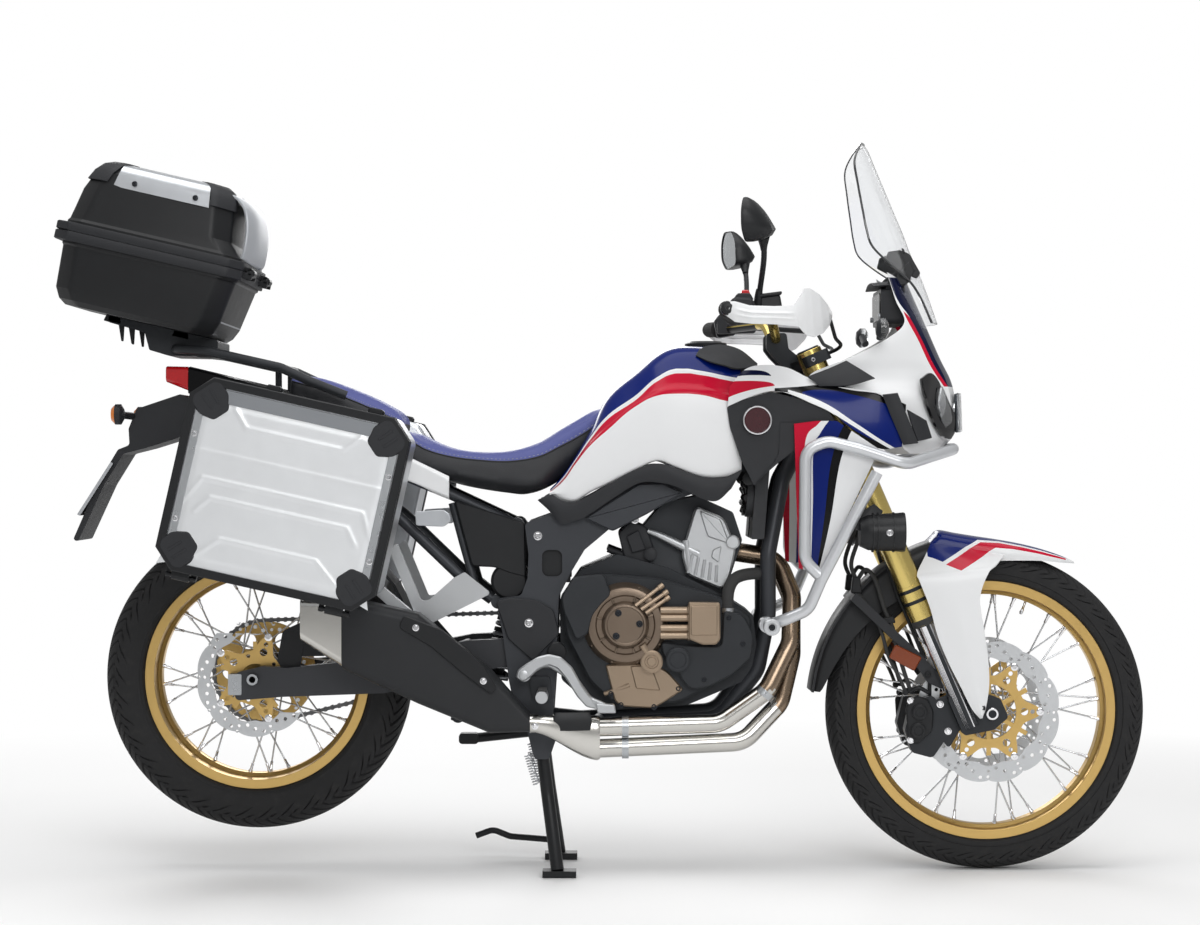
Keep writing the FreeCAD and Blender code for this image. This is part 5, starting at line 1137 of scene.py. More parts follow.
# ------------------------------------------------------------------ engine and frame
@dataclass
class Engine:
    """Covers, head, pump and fasteners round the case; places are (x, z), levels are distances out."""

    case: float = 111.0
    clutch: Point = (37.0, 541.0)
    clutch_radius: float = 90.0
    flank: tuple[Point, ...] = ((-95, 570), (-75, 643), (-8, 650), (110, 640), (240, 600), (308, 560),
                                (306, 500), (280, 440), (150, 372), (10, 372), (-40, 420), (-92, 520))
    side_cover: tuple[Point, ...] = ((-75, 643), (-8, 650), (8, 605), (-12, 587), (-32, 562), (-42, 522),
                                     (-68, 508), (-95, 570), (-100, 600))
    pump_cover: tuple[Point, ...] = (
        (112, 505), (170, 497), (242, 495), (246, 572), (290, 562), (311, 520), (306, 470), (262, 432),
        (215, 408), (178, 402), (158, 422), (148, 446), (118, 472))
    sump: tuple[Point, ...] = ((-6, 455), (14, 378), (28, 366), (98, 362), (122, 376), (162, 402), (128, 440),
                               (96, 458))
    head: tuple[Point, ...] = ((189, 794), (250, 768), (276, 705), (262, 640), (246, 614), (170, 646),
                               (158, 692))
    left_case: tuple[Point, ...] = ((-70, 470), (-50, 600), (60, 640), (150, 560), (160, 470), (60, 410))

    def clutch_cover(self) -> Mesh:
        """The round cover: a stepped drum with a lipped cap and short ribs on its slope."""
        r, (x, z) = self.clutch_radius, self.clutch
        rise = [(0, r + 1), (30, r + 1), (36, r), (40, r - 2), (52, r - 7), (57, r - 11), (58.5, r - 15),
                (58.5, r - 26), (55, r - 29), (55, 51), (64, 47), (69, 46), (72, 43.5), (72.5, 40),
                (70.5, 38), (71.5, 20), (72, 0.5)]
        pieces = [drum(rise, (x, -self.case, z), sides=72)]
        for turn in (20, 70, 118, 165, 212, 250, 288, 330):
            a = math.radians(turn)
            way = np.array([math.cos(a), 0, math.sin(a)])
            start = np.array([x, -self.case - 57.5, z]) + way * (r - 38)
            stop = np.array([x, -self.case - 49, z]) + way * (r - 5)
            pieces.append(rod(start, stop, 2.6, 8))
        return joined(pieces)

    def lines(self) -> Mesh:
        """Oil passages that run from the cap to the upper right, each with a collar at its end."""
        made = []
        for low, high in (((58, 582), (117, 626)), ((70, 574), (127, 612)), ((80, 566), (130, 600))):
            a, b = np.array([low[0], -178.0, low[1]]), np.array([high[0], -160.0, high[1]])
            made += [rod(a, b, 4.6, 12), rod(b - (b - a) * 0.16, b, 6.4, 12)]
        return joined(made)

    def head_cover(self) -> Mesh:
        """The head's right side: a cast wall with a raised panel, cooling ribs and a stem."""
        y = -92.0
        made = [slab(self.head, y - 24, y + 4, 12, 4.0),
                slab([(197, 784), (242, 765), (262, 712), (214, 728)], y - 29, y - 22, 5, 2.0),
                slab([(226, 700), (244, 708), (238, 672), (222, 684)], y - 29, y - 22, 4, 1.5)]
        for k in range(5):
            made.append(rod((182 + 13 * k, y - 22, 690 - 6 * k), (172 + 15 * k, y - 22, 650 - 5 * k), 4.2,
                            10))
        made += [hose([(86, y - 10, 740), (112, y - 12, 730), (150, y - 14, 712), (196, y - 16, 690)],
                      (5.0, 7.5, 9.5, 11.0), 16), rod((168, y - 18, 720), (176, y - 18, 650), 8.0, 12),
                 drum([(0, 15), (9, 15), (11, 12)], (268, y - 20, 716))]
        return joined(made)

    def build(self) -> None:
        """Build both sides."""
        y = -self.case
        piece("engine_flank",
              joined([slab(self.flank, y - 34, y + 2, 18, 5.0),
                      slab(self.left_case, -y - 1, -y + 38, 26, 6.0)]), CAST_DARK, "dark_metal",
              stands_for=["engine_covers"])
        piece("clutch_cover", self.clutch_cover(), BRONZE, "bronze", crease=28)
        piece("oil_passages", self.lines(), BRONZE_LIGHT, "bronze")
        piece("case_cover", joined([
            slab(self.side_cover, y - 60, y - 30, 10, 3.0), slab(self.pump_cover, y - 50, y - 30, 12, 3.0),
            drum([(0, 26), (18, 26), (20, 23), (20, 18), (18.5, 17), (19, 1)], (149, y - 44, 467))]),
              CAST_DARK, "dark_metal", crease=30)
        piece("sump_cover",
              joined([slab(self.sump, y - 40, y - 14, 8, 3.0),
                      slab([(48, 452), (92, 455), (112, 400), (60, 404)], y - 44, y - 38, 4, 2),
                      rod((-8, y - 34, 392), (46, y - 38, 412), 5.0, 12)]), BRONZE_LIGHT, "bronze", crease=30)
        pump = [slab([(171, 590), (238, 589), (239, 512), (230, 500), (200, 500), (171, 512)], y - 72, y - 32,
                     5, 3.0), slab([(176, 582), (232, 582), (232, 520), (176, 520)], y - 75, y - 70, 4, 1.5),
                drum([(0, 24), (26, 24), (28, 21), (28, 15), (26, 14), (26, 10), (29, 9), (29, 1)],
                     (93, y - 32, 463)), rod((84, y - 50, 482), (72, y - 56, 500), 9.0, 12)]
        for z in (572, 556, 534, 518):
            pump.append(drum([(0, 8.5), (56, 8.5), (58, 10), (62, 10)], (112, y - 52, z), (1, 0, 0), 20))
        piece("pump", joined(pump), BRONZE_LIGHT, "bronze", crease=30)
        piece("head_covers", mirrored(self.head_cover()), CAST_SILVER, "aluminium", crease=30)
        piece("generator_cover",
              drum([(0, 76), (18, 76), (23, 71), (24, 62), (21, 58), (22, 30), (24, 28), (24, 1)],
                   (45, -y + 34, 525), (0, 1, 0), 64), BRONZE, "bronze", crease=28)
        (cx, cz), turns = self.clutch, (0.1, 2.1, 4.0)
        cap = [(cx + 30 * math.cos(a), y - 70.5, cz + 30 * math.sin(a)) for a in turns]
        rims = {47: ((-18, 621), (-72, 550)), 48: ((288, 500), (205, 424), (258, 556)),
                37: ((6, 394), (28, 370), (98, 366), (150, 404), (96, 446))}
        rim = [(x, y - out, z) for out, places in rims.items() for x, z in places]
        piece("case_bolts", bolts(cap + rim, 5.2), DARK_BOLT, "dark_metal")
        piece("throttle_body", mirrored(joined([
            slab([(22, 735), (50, 762), (84, 748), (100, 700), (84, 655), (40, 660)], -100, -62, 8, 3),
            slab([(40, 728), (66, 742), (82, 700), (52, 692)], -108, -98, 4, 2),
            drum([(0, 14), (20, 14), (22, 11)], (92, -92, 690)),
            hose([(0, -84, 700), (60, -92, 676), (130, -94, 640)], 7)])), PLASTIC, "black_plastic")
        piece("coolant_hose",
              hose([(256, y - 30, 560), (258, y - 26, 612), (276, y - 14, 640), (318, y + 10, 648),
                    (352, y + 30, 640)], 13.0, 20), RUBBER, "rubber")
        piece("hose_clips", joined(rod(a, b, 14.6, 20) for a, b in (
            ((256, y - 30, 566), (256, y - 30, 576)), ((340, y + 22, 644), (348, y + 27, 642)))), STEEL,
              "steel")
        piece("side_bolts", bolts([(58, -112, 764)], 6.0, 6.0), CHROME, "chrome")


@dataclass
class Chassis:
    """Frame covers, pivot caps, shock, radiators and stand springs."""

    def coil(self, low: Sequence[float], high: Sequence[float], radius: float, wire: float,
             turns: float) -> Mesh:
        """A spring: point = low + t (high - low) + radius (cos a u + sin a v), with a = 2 pi turns t."""
        low, high = np.array(low, float), np.array(high, float)
        base = frame_of(high - low)
        t = np.linspace(0, 1, int(turns * 16))
        a = 2 * math.pi * turns * t
        ring_at = np.cos(a)[:, None] * base[:, 0] + np.sin(a)[:, None] * base[:, 1]
        line = low + t[:, None] * (high - low) + radius * ring_at
        return hose(line, wire, 8, False)

    def build(self) -> None:
        """Build and dress."""
        polished("main_frame", FRAME_GREY, "dark_metal", bevel=0.003)
        polished("subframe", FRAME_GREY, "dark_metal")
        polished("swingarm", ARM_GREY, "dark_metal", [Zone(STEEL, lambda c: np.abs(c[:, 1]) > 0.127)],
                 bevel=0.002)
        polished("rear_shock", CAST_DARK, "dark_metal")
        polished("radiators", FINS, "dark_metal")
        cover = [(-240, 590), (-208, 598), (-150, 592), (-116, 572), (-104, 520), (-160, 462), (-214, 510)]
        piece("pivot_covers", mirrored(slab(cover, -147, -139.5, 8, 2)), PLASTIC, "black_plastic")
        piece("pivot_caps", mirrored(joined([
            drum([(0, 21), (5, 21), (8, 18), (8, 1)], (-109, -146, 483)),
            drum([(0, 14), (4, 14), (5, 12), (5, 1)], (302, -136, 852))])), SATIN_BLACK, "dark_metal")
        boxes = [slab([(-330, 806), (-178, 758), (-176, 640), (-215, 650), (-243, 662), (-292, 664)], -120,
                      -104, 8, 3), slab([(-160, 720), (-80, 720), (-80, 630), (-160, 630)], -128, -122, 4, 1),
                 drum([(0, 40), (52, 40), (58, 34), (58, 1)], (-212, -60, 632))]
        piece("side_boxes", mirrored(joined(boxes)), SATIN_BLACK, "black_plastic", crease=30)
        piece("frame_shields",
              mirrored(slab([(-50, 768), (10, 740), (84, 777), (160, 822), (118, 843), (66, 842)], -156, -141,
                            6, 3)), FRAME_GREY, "black_plastic")
        pedal = [(-192, 446), (-176, 458), (-150, 474), (-126, 480), (-100, 474), (-76, 452), (-54, 412),
                 (-38, 390), (-20, 379), (-20, 362), (-46, 368), (-66, 390), (-92, 432), (-108, 450),
                 (-126, 457), (-148, 448), (-166, 430), (-182, 420), (-196, 430)]
        tread = [slab([(-26, 377), (14, 374), (17, 357), (-22, 357)], -210, -176, 4, 2)]
        tread += [drum([(0, 10), (4, 10), (5, 8), (5, 0.5)], (-179, -187, 436))]
        piece("brake_pedal", joined([slab(pedal, -187, -176, 5, 3)] + tread), CAST_SILVER, "aluminium",
              crease=30)
        piece("frame_bolts",
              mirrored(bolts([(-169, -147, 544), (-150, -139, 730), (40, -139, 790), (200, -139, 858)], 6.5,
                             6)), CHROME, "chrome")
        piece("shock_spring", self.coil((-247, 0, 420), (-198, 0, 592), 27, 5.0, 7.5), SPRING_GREY,
              "dark_metal")
        spring = joined([self.coil((-172, y, 262), (-152, y, 196), 8, 1.6, 12) for y in (-118, 118)])
        piece("stand_springs", spring, SPOKE_STEEL, "steel")
        fans = [drum([(0, 40), (3, 42), (3, 38), (1, 36)], (306, y, 812), (-0.997, 0, 0.076))
                for y in (-66, 66)]
        for side in (-66, 66):
            for k in range(7):
                a = 2 * math.pi * k / 7
                b = a + 0.5
                hub = np.array([303, side + 10 * math.cos(a), 812 + 10 * math.sin(a)])
                tip = np.array([300, side + 36 * math.cos(b), 812 + 36 * math.sin(b)])
                fans.append(hose([hub, (hub + tip) / 2 + (2, 0, 0), tip], (5, 7, 8), 8))
        piece("fans", joined(fans), SATIN_BLACK, "black_plastic")


@dataclass
class Chain:
    """The drive chain: side plates and rollers stepped round both sprockets."""

    y: float = 90.0
    rear: Point = (-761.5, 422.0, 114.0)
    front: Point = (-60.0, 520.0, 38.0)
    links: int = 120

    def path(self) -> np.ndarray:
        """The closed line round both pitch circles: two arcs and the straight runs that touch them."""
        (xr, zr, rr), (xf, zf, rf) = self.rear, self.front
        gap, dip = math.hypot(xr - xf, zr - zf), math.atan2(zf - zr, xf - xr)
        lift_angle = math.asin((rr - rf) / gap)
        spots = []
        for x, z, r, middle, half in ((xr, zr, rr, dip + math.pi, math.pi / 2 + lift_angle),
                                      (xf, zf, rf, dip, math.pi / 2 - lift_angle)):
            for a in np.linspace(-half, half, 60):
                spots.append((x + r * math.cos(middle + a), z + r * math.sin(middle + a)))
        spots.append(spots[0])
        p = np.array(spots)
        run = np.concatenate([[0], np.cumsum(np.linalg.norm(np.diff(p, axis=0), axis=1))])
        at = np.linspace(0, run[-1], self.links + 1)[:-1]
        return np.stack([np.interp(at, run, p[:, k]) for k in (0, 1)], 1)

    def build(self) -> None:
        """Lay a plate pair over each pitch, inner and outer in turn, and a roller at each pin."""
        path, meshes = self.path(), []
        for k, (here, after) in enumerate(zip(path, np.roll(path, -1, 0))):
            way = (after - here) / np.linalg.norm(after - here)
            side = np.array([-way[1], way[0]])
            half = ((here, -4.6, 2.2), (here, -2, 5.6), (here, 5, 3.6), (after, -5, 3.6), (after, 2, 5.6),
                    (after, 4.6, 2.2))
            shape = [pin + way * along + side * out for pin, along, out in half]
            shape += [pin + way * along - side * out for pin, along, out in half[::-1]]
            out = 6.6 if k % 2 else 4.6
            for low in (self.y - out, self.y + out - 1.8):
                meshes.append(plate(np.array(shape) * MM, low * MM, (low + 1.8) * MM, 0.0002))
            meshes.append(drum([(-7, 2.4), (-4, 2.4), (-4, 5), (4, 5), (4, 2.4), (7, 2.4)],
                               (here[0], self.y, here[1]), (0, 1, 0), 8))
        piece("chain_links", joined(meshes), CHAIN_STEEL, "steel", stands_for=["drive_chain"])


@dataclass
class Exhaust:
    """Headers tinted by heat, their clamps, and the silencer with its end cap and shield."""

    def collector(self) -> Mesh:
        """The funnel where two pipes become one.

        Sections |y / b|^2.6 + |z / c|^2.6 = 1 that shrink with a smooth step.
        """
        share = np.linspace(0, 1, 26)
        step = (share * share * (3 - 2 * share))[:, None]
        turn = np.linspace(0, 2 * math.pi, 48, endpoint=False)[None]
        out = (np.abs(np.cos(turn)) ** 2.6 + np.abs(np.sin(turn)) ** 2.6) ** (-1 / 2.6)
        lip = np.array([0.93, 1.0] + [1.0] * 22 + [1.04, 1.04])[:, None]
        y = -151 - 33 * step + (25.5 - 3 * step) * lip * out * np.cos(turn)
        z = 299 + 34 * step + (48 - 29 * step) * lip * out * np.sin(turn)
        x = np.broadcast_to(-17 - 149 * share[:, None], y.shape)
        return skin(np.stack([x, y, z], -1)[:, ::-1] * MM, close_v=True, caps=True)

    def build(self) -> None:
        """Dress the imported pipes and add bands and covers."""
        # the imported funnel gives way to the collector
        in_funnel = lambda c: (c[:, 0] < -0.0212) & (c[:, 1] < -0.1)
        polished("exhaust_pipes", PIPE_STEEL, "steel",
                 [Zone(PIPE_BRONZE, lambda c: (c[:, 2] > 0.402) | (c[:, 0] > 0.36))],
                 keep=lambda c: ~in_funnel(c))
        piece("collector", self.collector(), PIPE_STEEL, "steel", crease=40)
        polished("silencer", SILENCER_DARK, "dark_metal", [Zone(PIPE_STEEL, lambda c: c[:, 0] < -0.5605)],
                 bevel=0.004)
        bands = [drum([(0, 22.5), (14, 22.5), (14, 20.5), (0, 20.5)], spot, way, 32, True) for spot, way in (
            ((330, -149.5, 388), (0.62, 0.05, 0.78)), ((30, -152, 323), (1, 0, 0)),
            ((30, -148, 277), (1, 0, 0)))]
        piece("pipe_bands", joined(bands), STEEL, "steel")
        u, v = np.meshgrid(np.linspace(-116, -34, 16), np.linspace(0, 1, 8), indexing="ij")
        inset = np.abs(v - 0.5) * 8
        cover = np.stack([u + np.sign(-75 - u) * inset * (np.abs(u + 75) > 38),
                          -181 + 0.2 * (u + 34) + 5 * v ** 3, 318 + 38 * v], -1)
        piece("pipe_cover", sheet_of(cover * MM, 0.003), SATIN_BLACK, "black_plastic")
        shield = [(-430, 566), (-350, 536), (-262, 462), (-232, 412), (-246, 400), (-300, 440), (-372, 500),
                  (-440, 540)]
        piece("silencer_shield", slab(shield, -244.5, -239.5, 10, 1.5), SATIN_BLACK, "dark_metal")
        piece("silencer_bolts",
              bolts([(-404, -244, 540), (-262, -244, 428), (-154, -214, 330), (-560, -240, 580)], 5), CHROME,
              "chrome")


# ------------------------------------------------------------------ luggage
def on_case(start: str, angle: float, side: float, label: str, mesh: Mesh, *looks: object,
            **more: object) -> None:
    """Put a mesh that is drawn level on a case into the scene.

    Args:
        start: start of the piece's name.
        angle: how far the case is turned nose down, in degrees.
        side: below zero, the mesh goes to the right.
        label: rest of the piece's name.
        mesh: points and faces.
        looks: finish, slot and body for settle.
        more: its other arguments.
    """
    turned = (mesh[0] @ round_y(-math.radians(angle)).T, mesh[1])
    piece(start + label, flipped(turned) if side < 0 else turned, *looks, **more)


@dataclass
class Pannier:
    """A side case drawn level for the left side.

    A tub, and a lid whose pressed panel lies in a frame with four corner caps.
    """

    side: float
    tilt: float = 12.7
    low: Point = (-1048.0, 460.0)
    high: Point = (-596.0, 857.0)
    corner: float = 40.0
    inside: float = 245.0
    parting: float = 436.0
    out: float = 470.0
    wall: float = 3.0

    def outline(self, inset: float = 0.0) -> np.ndarray:
        """The chamfered outline, drawn in by an inset."""
        (u0, v0), (u1, v1) = np.array(self.low) + inset, np.array(self.high) - inset
        c = self.corner - inset * 0.4
        return np.array([(u0 + c, v0), (u0, v0 + c), (u0, v1 - c), (u0 + c, v1), (u1 - c, v1), (u1, v1 - c),
                         (u1, v0 + c), (u1 - c, v0)])

    def loop(self, inset: float, level: float) -> np.ndarray:
        """The outline with rounded corners at a level, in metres."""
        spots = np.array(rounded(self.outline(inset), 9, 3))
        return np.stack([spots[:, 0], np.full(len(spots), level), spots[:, 1]], 1) * MM

    def tub(self, mouth: float, floor: float, soft: float) -> Mesh:
        """A tub from its open mouth to a floor, with its far rim rounded."""
        way = np.sign(floor - mouth)
        bend = [(soft * (1 - math.cos(a)), floor - way * soft * (1 - math.sin(a)))
                for a in np.linspace(0, math.pi / 2, 5)]
        outer = [self.loop(0.3, mouth)] + [self.loop(0.3 + inset, level) for inset, level in bend]
        inner = [self.loop(self.wall, mouth), self.loop(self.wall, floor - way * (self.wall + 5)),
                 self.loop(self.wall + 3, floor - way * self.wall)]
        return cup(outer, inner)

    def panel(self) -> Mesh:
        """The pressed panel: a plateau and four beads.

        Height = 1.6 on the plateau, plus for each bead h (1 - d / 9)^2 near its line, with d the distance
        to the line, h = 1 for the straight bead and h = 2 for the rest.
        """
        (u0, v0), (u1, v1) = self.low, self.high
        u, v = np.meshgrid(np.linspace(u0 + 17, u1 - 17, 120), np.linspace(v0 + 17, v1 - 30, 100),
                           indexing="ij")
        chamfer = np.minimum(np.minimum(u - u0, u1 - u) + np.minimum(v - v0, v1 - v) - self.corner - 14, 0)
        centre = np.array([(u0 + u1) / 2, (v0 + v1) / 2])
        u, v = u + chamfer / 2 * np.sign(centre[0] - u), v + chamfer / 2 * np.sign(centre[1] - v)
        height = 1.6 * np.clip(
            np.minimum(np.minimum(u - u0 - 34, u1 - 34 - u), np.minimum(v - v0 - 30, v1 - 48 - v)) / 9, 0, 1)
        lines = [[(60, 128), (84, 160), (368, 160), (392, 128)],
                 [(24, 128), (60, 196), (392, 196), (428, 128)], [(24, 250), (428, 250)],
                 [(96, 345), (126, 312), (326, 312), (356, 345)], [(80, 40), (120, 82), (320, 82), (372, 40)]]
        for line in lines:
            p = np.array(line, float) + (u0, v0)
            near = np.full(u.shape, 99.0)
            for a, b in zip(p[:-1], p[1:]):
                t = np.clip(((u - a[0]) * (b - a)[0] + (v - a[1]) * (b - a)[1]) / np.dot(b - a, b - a), 0, 1)
                near = np.minimum(near, np.hypot(u - a[0] - t * (b - a)[0], v - a[1] - t * (b - a)[1]))
            height += (1.0 if len(line) == 2 else 2.0) * np.clip(1 - near / 9, 0, 1) ** 2
        return sheet_of(np.stack([u, self.out - 4.6 + height, v], -1)[:, ::-1] * MM, 0.001)

    def cap(self, far_u: bool, far_v: bool) -> Mesh:
        """A corner cap: a blunt tongue over the corner with two raised bars."""
        u, side_u = (self.high[0], 1) if far_u else (self.low[0], -1)
        v, side_v = (self.high[1], 1) if far_v else (self.low[1], -1)
        place = lambda d, a: (u - side_u * (d + a) * 0.7071, v - side_v * (d - a) * 0.7071)
        tongue = [place(d, a) for d, a in (
            (33, -25), (33, 25), (44, 36), (72, 37), (100, 18), (100, -18), (72, -37), (44, -36))]
        made = [slab(tongue, self.out - 5.5, self.out - 0.6, 7, 2.5)]
        for a in (-9, 9):
            bar = [place(d, a + w) for d, w in ((44, -3), (44, 3), (78, 3), (78, -3))]
            made.append(slab(bar, self.out - 1.2, self.out, 2, 0.8))
        return joined(made)

    def build(self) -> None:
        """Build the tub on the frame and the lid on its hinge."""
        name = "right" if self.side < 0 else "left"
        lid, (u0, v0), (u1, v1) = "pannier_lid_" + name, self.low, self.high
        put = partial(on_case, "pannier_%s_" % name, self.tilt, self.side)
        put("tub", self.tub(self.parting, self.inside, 9), ALLOY, "aluminium", stands_for=["pannier_" + name],
            crease=50)
        put("lid", self.tub(self.parting + 0.3, self.out - 5, 3), ALLOY, "aluminium", lid,
            ["pannier_lid_" + name], crease=50)
        edge, far = self.outline(-1.8), self.outline(0.4)
        put("tub_rim", ring(edge, far, self.parting - 11, self.parting - 0.2), SATIN_BLACK, "black_plastic")
        put("lid_rim", ring(edge, far, self.parting + 0.4, self.parting + 11), SATIN_BLACK, "black_plastic",
            lid)
        put("lid_frame", ring(self.outline(-1.2), self.outline(16), self.out - 14, self.out - 1, 2.0),
            SATIN_BLACK, "black_plastic", lid)
        put("panel", self.panel(), PANEL_ALLOY, "aluminium", lid, crease=60)
        band = [(u0 + 52, v1 - 46), (u0 + 46, v1 - 18), (u1 - 46, v1 - 18), (u1 - 52, v1 - 46)]
        put("band", slab(band, self.out - 5, self.out - 2.0, 4, 1), BAND_GREY, "aluminium", lid)
        strips = [slab([(u, v0 + 56), (u, v1 - 70), (u + 17, v1 - 70), (u + 17, v0 + 56)], self.out - 5,
                       self.out - 2.4, 3, 1) for u in (u0 + 17, u1 - 34)]
        put("strips", joined(strips), STEEL, "aluminium", lid)
        rivets = [(u, self.out - 3, v) for u in (u0 + 25.5, u1 - 25.5) for v in (v0 + 104, v1 - 118)]
        put("rivets", bolts(rivets, 4.6, 2.6, (0, 1, 0)), CHROME, "chrome", lid)
        put("caps", joined([self.cap(a, b) for a in (False, True) for b in (False, True)]), PLASTIC,
            "black_plastic", lid, crease=30)
        latch, hasp, hinge = [], [], []
        for u in (-905.0, -694.0):
            latch += [slab([(u, v1 + 1.5), (u, v1 + 8), (u + 4, v1 + 11), (u + 30, v1 + 11), (u + 34, v1 + 8),
                            (u + 34, v1 + 1.5)], self.parting - 18, self.parting - 0.3, 2, 1)]
            hasp += [slab([(u + 4, v1 + 1.5), (u + 4, v1 + 12), (u + 30, v1 + 12), (u + 30, v1 + 1.5)],
                          self.parting + 0.6, self.parting + 16, 2.5, 1.5)]
        for u in (-990.0, -672.0):
            hinge.append(rod((u - 32, self.parting, v0 - 11), (u + 32, self.parting, v0 - 11), 4.9, 16))
            for end in (u - 32, u + 22):
                hinge.append(slab([(end, v0 - 18), (end + 10, v0 - 18), (end + 10, v0 + 4), (end, v0 + 4)],
                                  self.parting - 8, self.parting - 0.2, 2, 0.8))
            hasp.append(drum([(0, 5.2), (36, 5.2), (36, 9), (0, 9)], (u - 18, self.parting, v0 - 11),
                             (1, 0, 0), 24, True))
            hasp += [slab([(u - 18, v0 - 12), (u + 18, v0 - 12), (u + 18, v0 + 5), (u - 18, v0 + 5)],
                          self.parting + 3.5, self.parting + 14, 2, 0.8)]
        put("latches", joined(latch + hinge), SATIN_BLACK, "black_plastic")
        put("hasps", joined(hasp), SATIN_BLACK, "black_plastic", lid)


